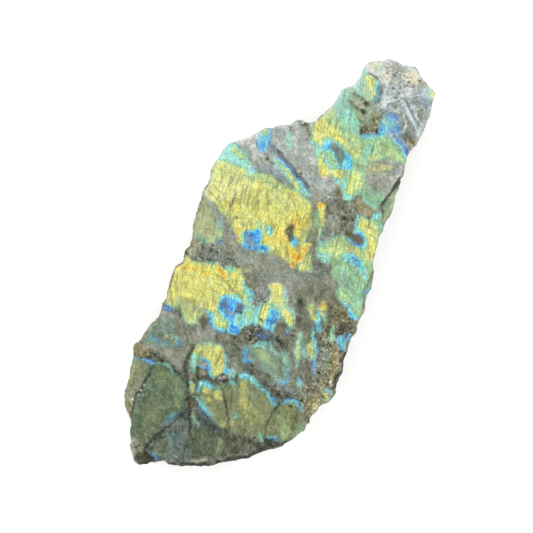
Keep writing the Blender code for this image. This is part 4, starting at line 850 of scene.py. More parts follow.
# The middle of the slab: the yellow field on the left with its blue pocket, and the small one beside it.
MIDDLE: tuple[Mark, ...] = (
    Flare(area(-36, -13, -31.4, -13.8, -30, -14.4, -28, -13.6, -26, -13, -24, -12, -22.6, -10.6,
        -21.6, -10.2, -20, -10, -18, -10.4, -17, -9, -15, -8.4, -13.4, -8, -11.4, -8.6, -9.6, -9.6, -9, -11,
        -7.6, -11.6, -5.4, -12.6, -3.6, -13.8, -2.8, -15.4, -2, -17, -3, -19, -1, -17.2, 0.4, -19, 0, -24,
        -0.8, -26, -1.2, -28.2, -2.4, -29.8, -4.4, -29.9, -6, -30.6, -8.2, -31.6, -10, -32, -11.4, -31,
        -12.6, -29.6, -13.4, -28.2, -14.6, -27.4, -16, -28, -17.4, -29, -17.6, -30.4, -16.4, -32,
        -15.6, -33.4, -17.6, -34.2, -19.4, -34.8, -20.6, -34.8, -22.4, -33.4, -24, -32.8, -25.6, -32,
        -27, -33, -29.6, -32.4, -33, -31), GREEN, YELLOW, 1.5, 0.85, 0.5, 0.95),
    Flare(area(-26, -29, -18, -27.6, -14, -27, -16.6, -31, -17, -34, -20, -34, -25, -31, -30, -31), GREEN,
        LIME, 1.2, 0.6, 1.4, 0.75),
    Tone(area(-28, -27.4, -20, -26.8, -18.8, -29, -20.6, -33.4, -24, -32.6, -27.6, -31.8), SLATE, 0.7, 1.2,
        veil=0.4),
    Tone(area(-32, -17, -15, -17, -15, -27, -29, -28), TAN, 0.6, 2.0, veil=0.12),
    Flare(area(-34, -18.4, -30, -16.6, -26, -14.6, -21, -14.2, -21, -16, -26, -16.6, -30, -18.6, -34, -20),
        GOLD, GOLD, 0.8, 0.75, 1.2, 0.85),
    Flare(dot(-18, -12.3, 2.4, 1.2, -16), GOLD, ORANGE, 0.8, 0.7, 0.7, 0.8),
    Flare(area(-17.4, -9.2, -14.6, -8.6, -13.6, -9.6, -15, -11.6, -16.6, -10.6), ICE, ICE, 0.6, 0.7, 0.6,
        0.75),
    Tone(line(0.8, -15.6, -10.4, -14.6, -12.6), SMOKE, 0.5, 0.4),
    Flare(line(1.1, -23, -12, -21.6, -10.8), CYAN, ICE, 0.5, 0.7),
    Flare(area(-9.4, -11, -7.4, -11.8, -5, -13, -3.4, -14, -2.8, -16, -4, -17.6, -5.6, -15.8, -8, -13.8),
        BLUE, ICE, 1.2, 0.85),
    Flare(area(-10, -16, -5, -15.6, -4, -18, -8, -18.4), GREEN, LIME, 1.0, 0.5, 0.8, 0.6),
    Flare(dot(-12.4, -7.8, 1.0, 0.7), LIME, LIME, 0.4, 0.6),
    Flare(dot(-9.7, -6.8, 0.9, 0.6), LIME, YELLOW, 0.4, 0.55),
    Flare(area(-4, -18.4, 0, -17, 2.4, -18, 3, -21, 1, -24, -1, -25, -3, -22.6), CYAN, TEAL, 1.2, 0.7),
    Flare(area(-14, -20.4, -12, -18.8, -9.6, -18, -7.4, -17.6, -5, -18, -3.4, -19.6, -2.8, -22, -1.2, -23.6,
        -0.8, -26, -1.4, -28.4, -3.4, -29.9, -5.6, -29.4, -6.6, -27.4, -8.4, -26.6, -10.6, -26, -12.6, -24),
        ICE, BLUE, 1.9, 0.92, 0.7, 0.95),
    Flare(line(1.3, -13.5, -21.8, -12.7, -19.6, -10.4, -18.1, -7.6, -17.5, -5.2, -17.4), CYAN, ICE, 0.4,
        0.9, 0.4, 0.95),
    Flare(line(1.4, -13.4, -22.6, -12.2, -24.2, -10.2, -25.4, -7.6, -25.9), CYAN, ICE, 0.4, 0.9, 0.4, 0.95),
    Tone(area(-12.8, -20.4, -11, -20.2, -10.4, -21.6, -9.4, -23.2, -7, -23.4, -6.2, -24.2, -8, -25,
        -10.2, -24.2, -12, -22.6), SLATE, 0.7, 0.6),
    Flare(area(-10.4, -20.6, -8.6, -20.2, -7.4, -21.4, -8, -22.8, -9.6, -22.8), DEEP_BLUE, BLUE, 0.8, 1.0,
        0.4),
    Tone(area(-6.8, -19.2, -4.8, -18.6, -3.6, -20.2, -3, -22.4, -4.4, -23.6, -6, -22.6, -6.6, -21), DARK,
        0.85, 0.45, 0.1),
    Tone(dot(-6.3, -22.2, 0.5, 0.4), BLACK, 0.8, 0.3, 0.2),
    Tone(dot(-4.2, -21.6, 0.5, 0.4), BLACK, 0.8, 0.3, 0.2),
    Flare(dot(-4, -24.8, 1.7, 2.8, 12), CYAN, ICE, 0.6, 0.95, 0.5),
    Flare(dot(-3.6, -24, 0.7, 1.0), GREEN, LIME, 0.5, 0.6),
    Flare(dot(-2.6, -28.2, 1.6, 1.4), DEEP_BLUE, BLUE, 0.8, 0.7, 0.5, 0.9),
    Flare(area(-13.2, -25, -11, -26, -8.6, -27, -6.6, -27.6, -5.8, -29.4, -8, -30.6, -10, -31, -12, -29.4,
        -13.4, -27), TEAL, LIME, 1.0, 0.85, 0.5, 0.9),
    Flare(dot(-8.6, -27.4, 1.5, 0.8), GREEN, TEAL, 0.5, 0.6),
    Flare(line(1.4, -16.4, -28, -14.6, -27.5, -13.4, -28.4, -12.2, -30, -10, -31.7, -8.2, -31.3, -6, -30.3,
        -4, -29.8), BLUE, CYAN, 0.5),
    Flare(dot(-28.4, -33.7, 1.7, 0.9, -8), DEEP_BLUE, BLUE, 0.6, 0.9),
    Tone(line(0.8, -33.2, -22.6, -31.6, -26, -29.6, -28.6, -28.2, -31, -27, -33), UMBER, 0.65, 0.4, 0.15),
    Tone(line(0.9, -25.2, -31.2, -23.8, -33, -22.6, -34.6), CHARCOAL, 0.8, 0.4, 0.1),
    Tone(line(0.5, -14.8, -20.6, -14.6, -22.6, -13.8, -24.4), OLIVE, 0.5, 0.35),
    Tone(area(-18, -25, -16.8, -25.4, -16, -28.4, -17.4, -29.4), GREY, 0.6, 0.5),
    Tone(area(-16.8, -29, -15, -28.2, -13.4, -29.4, -12, -32, -13.6, -33.6, -15.4, -31.6), DARK, 0.7, 0.5),
    Tone(area(-20.8, -28, -19.4, -27.6, -18.6, -29, -20, -29.4), SMOKE, 0.4, 0.5),
    Tone(line(0.5, -20, -14, -14, -14.6, -9, -16.4, -6, -17), DARK, 0.7, 0.25),
    Tone(line(0.45, -19, -15, -13, -15.4, -8.6, -17.2), DARK, 0.6, 0.25),
    Tone(line(0.45, -17, -13.2, -10, -14.6, -7, -15.4), DARK, 0.6, 0.25),
    Tone(line(0.4, -19.4, -11.8, -14, -12.8, -9, -13.4), DARK, 0.5, 0.25),
    Tone(line(0.4, -19, -16.6, -14, -17, -11, -18), DARK, 0.5, 0.25),
    Flare(area(-0.4, -8.6, 0.4, -6.4, 3, -5, 5.4, -5.6, 6.6, -7.6, 8.8, -9.2, 10.3, -10.8, 11.8, -12,
        13, -12.3, 14.4, -13.6, 15.2, -15.6, 15, -17.2, 13, -17, 10.6, -16, 9.4, -15.4, 9.8, -17.2,
        8.8, -20.2, 9.4, -21.8, 6, -22, 3, -22.4, 1, -20.4, 0.4, -17, 1.2, -14.8, 2.6, -13.2, 2.4, -11.2,
        1.4, -9.6), TEAL, YELLOW, 1.2, 0.9, 0.4, 0.95),
    Flare(area(2.4, -12.8, 4, -14.6, 8, -14, 9, -12.8, 6, -12), ICE, ICE, 0.8, 0.5, 0.7, 0.6),
    Flare(area(3.8, -15.4, 5.6, -14.2, 7.6, -14.2, 9.2, -15.6, 9.9, -17.2, 8.8, -20.2, 9.4, -22, 6.4, -22,
        5, -20.6, 4.6, -18.4), ICE, BLUE, 1.4, 1.0, 0.8),
    Flare(dot(7.2, -18.2, 1.1, 1.6, 8), BLUE, BLUE, 0.8, 0.7, 0.5, 0.8),
    Flare(area(-0.4, -17, 1.4, -17.4, 3.4, -20.4, 2.6, -23.4, 0.4, -22.6), CYAN, ICE, 0.7, 0.85, 0.5),
    Flare(area(1.4, -15.6, 3.4, -15.2, 4.6, -17.6, 4.4, -19.8, 2.6, -19.6, 1.2, -17.4), LIME, YELLOW, 0.8,
        0.9),
    Flare(dot(0.6, -7.4, 1.1, 1.1), GOLD, GOLD, 0.5, 0.6),
    Flare(line(0.8, 6.4, -8.2, 8.2, -9.9, 9.9, -11.5, 12, -12.5, 13.8, -13.6), CYAN, ICE, 0.4, 0.8),
    Flare(line(1.2, 5.6, -22.4, 8, -22, 9.8, -21.4), BLUE, CYAN, 0.5, 0.7),
    Tone(dot(4, -20.6, 0.9, 0.5, -20), UMBER, 0.8, 0.35, 0.15),
    Tone(area(9.2, -16.6, 12, -16.4, 13.8, -17, 13, -19.4, 11, -21, 9.4, -19.8, 8.8, -18), OLIVE, 0.8, 0.6),
    Flare(dot(14.4, -19.4, 0.9, 1.2), DEEP_BLUE, BLUE, 0.6, 0.45),
    Flare(line(0.9, 14.6, -15.4, 14.8, -17.2, 14.6, -18.6), ICE, TEAL, 0.5, 0.6),
    Tone(line(0.5, 0.2, -7.6, 2, -7, 3.4, -7.4), UMBER, 0.6, 0.3),
    Tone(line(0.35, 2.6, -11.2, 6, -11.6, 10, -13), UMBER, 0.5, 0.3),
    Tone(line(2.0, 5, -23, 8, -23.4, 11.6, -24.4, 14, -25.6), SLATE, 0.85, 0.6),
    Flare(dot(7, -20, 1.7, 0.9), CYAN, CYAN, 0.5, 0.4),
    Tone(dot(12, -15, 1.7, 1.6), OLIVE, 0.4, 0.8, veil=0.14),
    Flare(dot(10, -17, 1.0, 0.8), TEAL, GREEN, 0.4, 0.25),
    Flare(line(0.8, 5.6, -6.2, 7, -8.6, 8.6, -10.8, 9.6, -12), CYAN, CYAN, 0.3, 0.6),
    Flare(dot(1.7, -7.1, 1.7, 1.1, 20), GOLD, GOLD, 0.8, 0.4),
    Flare(area(4, -15, 8.8, -14.8, 9, -16.4, 6.6, -16.6, 5.4, -18.6, 4, -18), CYAN, CYAN, 0.8, 0.65),
    Tone(dot(3.9, -20.5, 0.8, 0.5, -20), BLACK, 0.8, 0.3),
    Tone(dot(-4.2, -21.4, 0.6, 0.5), BLACK, 0.8, 0.3),
    Tone(dot(-6.5, -22.1, 0.5, 0.4), BLACK, 0.9, 0.3),
    Tone(dot(-6.6, -23.6, 1.0, 0.6), GREY, 0.7, 0.4),
    Tone(line(1.5, 12.6, -5.8, 13.4, -8, 14.8, -10.6), DEEP_SLATE, 0.5, 0.6),
    Tone(line(1.5, 15.2, -11.8, 16.6, -14.4), CHARCOAL, 0.55, 0.5),
    Tone(line(1.6, 15, -17, 15.4, -20, 16, -23), SLATE, 0.4, 0.7),
    Tone(dot(17.7, -18.8, 0.7, 0.5), CREAM, 0.5, 0.3),
)

# The streaks on the right of the middle and the weathered edge, with painted shade in the notch of its rim.
RIGHT_STREAKS: tuple[Mark, ...] = (
    Flare(area(19.8, -2.6, 21.2, -3, 22.6, -4.2, 22.9, -5.2, 21, -6, 19.6, -6.2, 20.2, -4.4), YELLOW, GOLD,
        0.7, 0.95),
    Flare(dot(20.6, -3.6, 0.9, 0.7), ORANGE, ORANGE, 0.4, 0.7),
    Flare(area(20, -6, 23, -5.8, 24.6, -8, 24.8, -9.8, 22.6, -8.6, 20.6, -8), ICE, LIME, 0.8, 0.6),
    Flare(area(16.1, -5.9, 18, -5.4, 19.2, -6.6, 19.3, -8, 20.2, -9, 21.8, -9.8, 20.4, -11.4, 18.6, -9.8,
        16.8, -8.2), GREEN, YELLOW, 0.8, 0.9),
    Flare(area(19.8, -7, 21.8, -8.2, 23.2, -9.8, 24.8, -11.6, 25.2, -13.2, 24, -13.4, 22.8, -12.2,
        21.4, -11.2, 20.4, -11.2, 21.4, -9.8), CYAN, CYAN, 0.6),
    Tone(line(1.1, 21, -12, 22.6, -12.8, 23.8, -14.2), SLATE, 0.7, 0.4),
    Flare(area(21.8, -13.4, 23.2, -14.6, 24.6, -16.4, 26.4, -18.4, 27.4, -20.4, 28.2, -22.6, 28.4, -23.8,
        26.6, -24, 24.6, -23.4, 23.4, -21.6, 23, -19.4, 24, -17.6), TEAL, LIME, 0.9, 0.85),
    Flare(dot(26.6, -22.4, 1.3, 1.6), LIME, YELLOW, 0.8, 0.7),
    Flare(line(1.0, 21.6, -13.2, 23.6, -15.8, 25.4, -17.4, 27.2, -20, 28, -22.4, 28.8, -24.4, 29.8, -26),
        DEEP_BLUE, CYAN, 0.5, 0.95),
    Flare(line(1.5, 28.4, -24.2, 29.4, -25.6, 30.4, -27.2), BLUE, BLUE, 0.5, 0.95),
    Flare(line(2.0, 19.2, -17, 19.8, -20.6, 21.4, -24, 23, -26.4, 23.8, -28.4), ICE, GREEN, 0.6, 0.95),
    Flare(line(1.3, 20.8, -17.6, 21.6, -20, 23, -23), ICE, TEAL, 0.6, 0.6),
    Tone(dot(22.2, -10.4, 1.3, 0.8, -40), FROST, 0.8, 0.5, veil=0.0),
    Flare(area(27.2, -8, 28.6, -10, 30.2, -12, 31.2, -13, 30.6, -14.6, 29, -14, 28.2, -12), ICE, GREEN, 0.8,
        0.85),
    Flare(area(31.2, -11.6, 32.8, -9.4, 34, -10.6, 35.6, -12.8, 36.6, -14.4, 35.4, -15.8, 33.8, -14.8,
        32, -13.2), CYAN, CYAN, 0.9, 0.72),
    Flare(area(34.2, -7.8, 35.3, -8.4, 35.9, -11, 34.7, -10.8), BLUE, CYAN, 0.5, 0.95),
    Flare(dot(30.6, -19.8, 0.9, 1.4, 20), ICE, TEAL, 0.5, 0.4),
    Flare(dot(33.2, -22.4, 1.2, 1.8, 20), TEAL, GREEN, 0.6, 0.3, 0.7),
    Flare(area(26, -32, 27.4, -31.4, 28.8, -33.6, 28.4, -35, 26.8, -34), CYAN, ICE, 0.6, 0.65),
    Flare(line(1.4, 28.2, -34, 30, -36, 32, -37), TEAL, TEAL, 0.5, 0.4),
    Flare(line(1.4, 28.4, -40, 31, -40.4, 33.6, -41.6), BLUE, CYAN, 0.5, 0.5),
    Tone(area(29.4, -6.6, 33.6, -6.2, 33.2, -8.6, 31.4, -11.2, 29.8, -9.6), CHARCOAL, 0.9, 0.6, 0.2),
    Tone(dot(32.8, -6.4, 2.2, 1.3, -20), DARK, 0.75, 0.7),
    Tone(line(2.2, 12.9, -6.6, 13.2, -8.2, 14.6, -9.8), CHARCOAL, 0.6, 0.9),
    Tone(dot(16, -13.4, 1.3, 1.8, 20), CHARCOAL, 0.6, 0.8),
    Tone(line(0.8, 17.4, -3, 19, -8, 20.6, -13, 22, -17), DARK, 0.6, 0.5),
    Tone(line(0.9, 23.6, -2.8, 26, -8, 28.4, -15, 30.4, -20), CHARCOAL, 0.55, 0.5),
    Tone(line(0.7, 13.6, -5, 15.6, -10, 17.6, -16), DARK, 0.5, 0.5),
    Tone(line(0.8, 22.8, -25, 25, -29.6, 26, -31.6), SLATE, 0.6, 0.5),
    Tone(line(0.7, 28.6, -26, 30.8, -30, 31.6, -34), DARK, 0.5, 0.5),
    Tone(line(0.9, 18, -13, 20, -17, 21, -19), DARK, 0.4, 0.6),
    Tone(area(35.8, -4, 36.6, -6.4, 36.2, -10.4, 35.3, -10, 35.3, -6), RUST, 0.8, 0.4),
    Tone(area(31, -17, 34, -20, 37.4, -27, 39, -36, 38, -42.4, 34, -41, 34, -34, 34, -28, 33, -22), TAN,
        0.4, 1.4),
    Tone(area(34.6, -33, 37, -33.6, 38.4, -38, 38, -41.6, 35.6, -40.6, 34.6, -37), TAN, 0.7, 0.7),
    Tone(line(0.8, 33, -17, 35, -21.4, 36.2, -25.6, 37, -29), CHARCOAL, 0.7, 0.35),
    Tone(line(0.7, 31, -20, 32.8, -24.4, 33.4, -28.6), CHARCOAL, 0.55, 0.4),
    Tone(line(0.6, 35.8, -18.6, 37.4, -22, 38.2, -26), UMBER, 0.8, 0.3),
    Tone(line(0.7, 34.2, -35.6, 35.6, -38, 36, -41), UMBER, 0.7, 0.35),
    Tone(line(0.5, 36.8, -34.6, 37.4, -37, 37, -40), CREAM, 0.5, 0.3),
    Tone(line(0.5, 32, -23.4, 34, -28, 34.4, -31), CREAM, 0.5, 0.35),
    Tone(dot(38, -27.4, 0.6, 1.4, 14), WHITE, 0.7, 0.35),
    Tone(line(1.1, 33.6, -21.6, 36, -24, 37.6, -27, 38.8, -29.6), CREAM, 0.55, 0.5),
    Tone(line(0.9, 34.4, -18.6, 35.4, -20.4, 36.4, -22.4), UMBER, 0.5, 0.4),
    Tone(line(0.7, 32, -18, 34.6, -21.6, 36.4, -26), UMBER, 0.5, 0.4),
    Tone(dot(34.6, -33.4, 0.9, 1.2), UMBER, 0.7, 0.5, 0.2),
    Tone(dot(32.2, -33, 1.6, 1.2), UMBER, 0.6, 0.6, 0.1),
    Flare(area(36, -30.6, 37.6, -30.2, 39.6, -29.8, 40.6, -32.6, 39.8, -34.8, 38.2, -34.8, 37, -33.4), CYAN,
        GREEN, 1.0, 0.55, 0.5, 0.5),
    Flare(line(0.9, 39.2, -34.6, 39.8, -32.8), YELLOW, YELLOW, 0.4, 0.8),
    Flare(dot(38.6, -30.4, 0.9, 0.5), BLUE, CYAN, 0.3, 0.8),
    Tone(dot(38.2, -32.4, 0.8, 0.7), TAN, 0.6, 0.4),
    # Painted shade: black in the notch of the right rim, a hollow that lies in shade.
    Tone(area(37.9, -24.8, 38.5, -22.6, 39.6, -22.8, 40.6, -26, 41.4, -29.6, 39.8, -29, 38.8, -27), BLACK,
        0.9, 0.35),
    Tone(line(1.5, 36.6, -14.8, 37.4, -17.4, 38.8, -20.6, 39.6, -22.6), CHARCOAL, 0.85, 0.4),
    Flare(line(0.6, 36.8, -16.4, 37.6, -19, 38.4, -20.6), NAVY, DEEP_BLUE, 0.3, 0.6),
)

# The dull patches and the small yellow field across the waist.
WAIST: tuple[Mark, ...] = (
    Flare(area(3, -33, 3.6, -31.4, 5.4, -30.4, 6.4, -29, 7.6, -27.4, 10, -26.2, 12.4, -27.2, 14.4, -28.2,
        15.8, -27.4, 16.2, -25.8, 18, -26.4, 20.2, -28, 21.2, -29.8, 21.8, -32, 22.8, -34, 23.8, -35.4,
        22.6, -37, 20.8, -37.2, 18.6, -36.4, 15, -36, 12.4, -35.2, 10.2, -34.6, 8.6, -35.6, 6.8, -37,
        5.4, -36.6, 4.4, -34.8), ICE, TEAL, 1.8, 0.42, 0.8, 0.22),
    Tone(area(8, -29.4, 12, -30, 17, -29.6, 19.6, -32, 20, -34.6, 15, -34.6, 10, -33.4, 7, -32.4), OLIVE,
        0.5, 1.4, veil=0.1),
    Flare(area(9, -28.6, 12, -29, 16, -29.4, 19.4, -31, 20.6, -34, 16, -34.4, 11, -33, 7.6, -32.6, 7, -31),
        TEAL, GREEN, 1.6, 0.10, 1.2, 0.14),
    Flare(line(1.0, 16.6, -28, 18, -29, 20, -29.4), ICE, LIME, 0.5, 0.7),
    Flare(dot(8, -29, 1.7, 1.3), CYAN, ICE, 0.8, 0.75),
    Tone(dot(8.4, -30, 0.8, 0.6), DARK, 0.6, 0.4),
    Flare(dot(10.6, -31.4, 3.4, 1.7, -12), GREEN, LIME, 1.2, 0.32, 1.0, 0.36),
    Tone(dot(17, -32.4, 2.8, 2.0, -30), OLIVE, 0.4, 1.2, veil=0.2),
    Flare(dot(4.6, -33.4, 1.4, 1.9, 20), DEEP_BLUE, CYAN, 1.0, 0.55, 0.7, 0.5),
    Flare(line(1.1, 5.2, -36, 6.8, -36.7, 8.8, -35.2), BLUE, CYAN, 0.5, 0.8),
    Flare(line(1.0, 20.4, -36.8, 22.4, -36.4, 23.6, -35.2), BLUE, CYAN, 0.4, 0.8),
    Flare(line(0.9, 21, -30.4, 21.8, -32.6, 23, -34.6), BLUE, CYAN, 0.4, 0.8),
    Tone(line(0.7, 16.6, -28.6, 18.4, -31, 19.6, -33.4, 20.6, -35.4), UMBER, 0.5, 0.4),
    Tone(dot(13.7, -23.9, 1.6, 0.9), BLACK, 1.0, 0.35, 0.3),
    Tone(dot(15.9, -24.8, 1.0, 0.5), CHARCOAL, 0.8, 0.35, 0.2),
    Tone(dot(16.8, -19.6, 0.9, 0.6), CHARCOAL, 0.7, 0.4, 0.2),
    Tone(dot(3, -25.4, 1.2, 0.7), BLACK, 0.8, 0.4, 0.2),
    Tone(dot(3.4, -27.4, 0.6, 1.1), BLACK, 0.9, 0.4, 0.2),
    Tone(dot(7.4, -28, 0.8, 0.4), BLACK, 0.7, 0.3, 0.1),
    Flare(area(-30.6, -37.6, -27, -36.6, -24, -38, -22, -40, -21, -41.4, -18, -41.8, -16.8, -43,
        -18.6, -44.4, -21, -46.8, -23, -47.6, -26, -48.4, -29, -49.4, -31.4, -48, -31, -43), CYAN, TEAL,
        1.4, 0.2, 0.9, 0.24),
    Tone(area(-28, -39, -23, -40.4, -20, -43, -23, -44, -27, -42.6), OLIVE, 0.7, 1.0, veil=0.4),
    Flare(line(0.8, -27.6, -40.4, -26, -40.8, -24.6, -42.4), CYAN, TEAL, 0.4, 0.45),
    Flare(dot(-22, -42.4, 1.1, 0.6, -15), CYAN, TEAL, 0.4, 0.35),
    Flare(dot(-20.2, -41.6, 0.8, 0.6), BLUE, CYAN, 0.4, 0.5),
    Flare(area(-29.6, -45, -27.4, -44.6, -25.6, -46, -26.6, -47.4, -29.4, -47.6), DEEP_BLUE, CYAN, 0.8,
        0.38, 0.7, 0.42),
    Flare(dot(-22.4, -45.2, 2.0, 0.8, -15), BLUE, CYAN, 0.6, 0.4),
    Flare(dot(-18.3, -43, 1.2, 0.8), DEEP_BLUE, BLUE, 0.6, 0.55),
    Flare(dot(-25.6, -45.8, 1.3, 0.9), NAVY, DEEP_BLUE, 0.6, 0.25),
    Tone(area(-27, -43.4, -23, -43.2, -22, -44.6, -24, -46, -27, -45.6), DARK, 0.7, 0.8, veil=0.5),
    Tone(area(-30, -37, -24, -38.4, -19, -42.4, -22, -47, -30, -49), DARK, 0.35, 1.2, veil=0.2),
    Flare(dot(-24, -43, 0.8, 0.6), GOLD, GOLD, 0.5, 0.4),
    Tone(line(0.6, -29.8, -40, -29.4, -44, -29.6, -48), DARK, 0.5, 0.4),
    Tone(line(0.5, -29, -44.8, -26, -45.4, -24.6, -46), DARK, 0.5, 0.3),
    Tone(line(0.5, -24, -46.6, -21, -47), ASH, 0.3, 0.4),
    Tone(area(-33, -51, -30, -49.6, -27, -50, -26.6, -53, -29, -54.4, -32.4, -53), TAN, 0.7, 0.7),
    Tone(line(0.9, -31, -54.6, -28.4, -54.4, -26, -53.6, -24, -53), UMBER, 0.7, 0.5),
    Tone(dot(-26, -51.8, 1.4, 0.7, -20), TAN, 0.6, 0.5),
    Tone(dot(-25.1, -52.6, 0.7, 0.4, -20), BLACK, 0.8, 0.3, 0.1),
    Tone(dot(-24, -53.4, 0.5, 0.4, -20), BLACK, 0.7, 0.3, 0.1),
    Tone(area(-31, -40, -25, -44, -20, -44, -22, -48, -30, -49), SMOKE, 0.5, 1.5, veil=0.12),
    Tone(line(0.9, -23, -52.6, -20.4, -51.2, -18, -50.8, -14, -52.6, -11.4, -53.4), DARK, 0.6, 0.5),
    Flare(line(1.6, -27, -54.8, -24.4, -54.4, -22.6, -53.6), DEEP_BLUE, CYAN, 0.6, 0.7),
    Flare(line(1.4, -20, -52, -18.4, -51.4, -16.6, -52), CYAN, TEAL, 0.6, 0.6),
    Flare(dot(-29.2, -55.8, 1.2, 0.8), NAVY, DEEP_BLUE, 0.5, 0.3),
    Flare(area(-12.8, -41, -11.6, -38.8, -9.4, -37.8, -8, -37.2, -6.6, -36.6, -5, -36, -3.2, -36.2,
        -1.4, -38, 0.2, -39.8, 1.2, -41.4, 1, -43.8, 0, -46.2, -0.8, -48.6, -3, -46.8, -5, -44.6,
        -6.8, -43.8, -8.2, -43.6, -8.2, -46, -8.2, -49.6, -10, -49.8, -11.4, -47.6, -12.4, -44), GREEN,
        YELLOW, 1.3, 0.75, 0.45, 0.8),
    Flare(area(-12.4, -43.6, -9.6, -43.6, -8.6, -45.4, -8.2, -49.6, -10.2, -49.8, -11.6, -47), CYAN, ICE,
        0.8, 0.8, 0.8),
    Flare(line(1.2, -8.6, -43.4, -6.6, -43.4, -4.6, -44.6, -2.8, -46.6, -1, -48.6), DEEP_BLUE, CYAN, 0.5,
        0.95),
    Flare(line(0.9, -2.4, -37, -0.4, -39.4, 1, -41.4, 1.6, -42.8), BLUE, CYAN, 0.4, 0.85),
    Flare(line(1.1, -12.2, -40.6, -10.6, -38.7, -8.2, -37.6, -6.6, -37, -5, -36.4, -3.3, -36.6), TEAL,
        GREEN, 0.5, 0.6, 0.5),
    Tone(area(-8, -39, -3, -38, 0, -42, -2, -45.6, -6, -42.6), OLIVE, 0.5, 1.0, veil=0.08),
    Tone(dot(-6.3, -44.9, 1.5, 0.8, -10), GREY, 0.8, 0.5),
    Flare(line(1.0, -7.8, -46, -6, -46.4, -4.6, -45.6), DEEP_BLUE, CYAN, 0.4, 0.9),
    Flare(area(1.4, -42.4, 2.6, -41.8, 3.4, -41, 5, -41.2, 6, -42.4, 5.2, -44, 3.4, -44.4, 2.6, -44.2,
        1.2, -44), BLUE, ICE, 0.9, 0.85),
    Flare(dot(1.9, -43, 1.1, 0.9), DEEP_BLUE, BLUE, 0.6, 0.8),
    Tone(dot(4, -42.4, 0.6, 1.1, 15), CREAM, 0.5, 0.4),
    Flare(line(1.3, 4.8, -45.4, 6.8, -46), BLUE, CYAN, 0.5, 0.7),
    Tone(area(0.4, -44.6, 2.6, -44.8, 4.8, -46.2, 4, -47.6, 2, -46.8), CHARCOAL, 0.75, 0.5, 0.2),
    Tone(dot(6.5, -42.4, 0.7, 0.5), BLACK, 0.7, 0.3, 0.1),
    Tone(dot(1.2, -44.6, 0.6, 0.5), BLACK, 0.9, 0.3, 0.2),
    Tone(dot(3.2, -46.8, 0.8, 0.5), BLACK, 0.9, 0.3, 0.2),
    Tone(dot(4.6, -46.2, 0.5, 0.5), BLACK, 0.9, 0.3, 0.2),
    Tone(dot(2.2, -45.6, 0.5, 0.5), ASH, 0.8, 0.3),
    Tone(dot(4, -45.2, 0.6, 0.4), PALE, 0.7, 0.3),
    Tone(dot(1, -46.8, 0.5, 0.4), ASH, 0.7, 0.3),
    Tone(dot(-10.2, -49, 1.4, 2.6, 20), DARK, 0.8, 1.1, veil=0.6),
    Tone(line(0.8, -4.4, -46.6, -2.6, -48.2, -0.6, -49), DEEP_SLATE, 0.6, 0.4),
    Tone(area(-8, -47, -5, -46.8, -2.4, -48.6, 0.4, -49.6, -4, -50.6, -7.6, -50), DARK, 0.8, 0.5),
    Tone(dot(-5, -48, 1.5, 0.8), GREY, 0.6, 0.5),
    Tone(line(0.8, -3, -49.7, -1.4, -49.7, 0.2, -49.4), UMBER, 0.8, 0.35),
    Tone(line(0.8, -7, -50.2, -5, -50.2, -4, -51), BLACK, 0.7, 0.4, 0.1),
    Tone(dot(33, -25, 3.4, 4.4), SMOKE, 0.35, 1.4),
    Tone(area(4, -23.4, 9, -22.6, 12, -25, 8, -26.4, 4.4, -26), DEEP_SLATE, 0.6, 1.0),
    Flare(area(4, -23.4, 9, -22.8, 11, -24.6, 8, -26.2, 4.4, -25.8), NAVY, DEEP_BLUE, 1.0, 0.16, 0.9, 0.2),
    Flare(dot(16.6, -27.7, 1.6, 0.7, -15), TEAL, TEAL, 0.4, 0.3),
    Tone(line(1.3, 20.6, -30, 21.6, -32, 22.6, -34.6), SLATE, 0.6, 0.5, veil=0.5),
    Tone(dot(5, -32, 1.4, 1.4), SLATE, 0.4, 0.8, veil=0.35),
    Flare(line(0.9, 20.4, -8.6, 21.6, -9.2, 22.6, -10.4), GREEN, GREEN, 0.4, 0.4),
    Flare(line(1.1, 21.6, -10.4, 23, -11.4, 24.6, -13), CYAN, CYAN, 0.4, 0.6),
    Flare(line(1.1, 27.8, -9.2, 29, -11.2, 30, -13), TEAL, GREEN, 0.4, 0.55),
    Flare(dot(33, -12, 1.2, 1.3, -30), CYAN, CYAN, 0.5, 0.35),
    Flare(dot(24, -18, 1.0, 1.4, -20), TEAL, GREEN, 0.4, 0.5),
    Flare(dot(22, -24.4, 0.9, 1.4, 20), LIME, LIME, 0.4, 0.3),
    Tone(line(0.9, 27.6, -21, 28.4, -23), SLATE, 0.6, 0.4, veil=0.45),
    Flare(line(0.9, 6.6, -28.2, 8.6, -26.8, 11.4, -26.7, 13.6, -28), CYAN, ICE, 0.4, 0.5),
    Flare(dot(6.4, -26, 1.5, 0.8, 15), DEEP_BLUE, BLUE, 0.5, 0.3),
    Flare(line(0.9, 15.8, -26.6, 17.8, -28, 19.6, -29.8), ICE, GREEN, 0.4, 0.45),
)

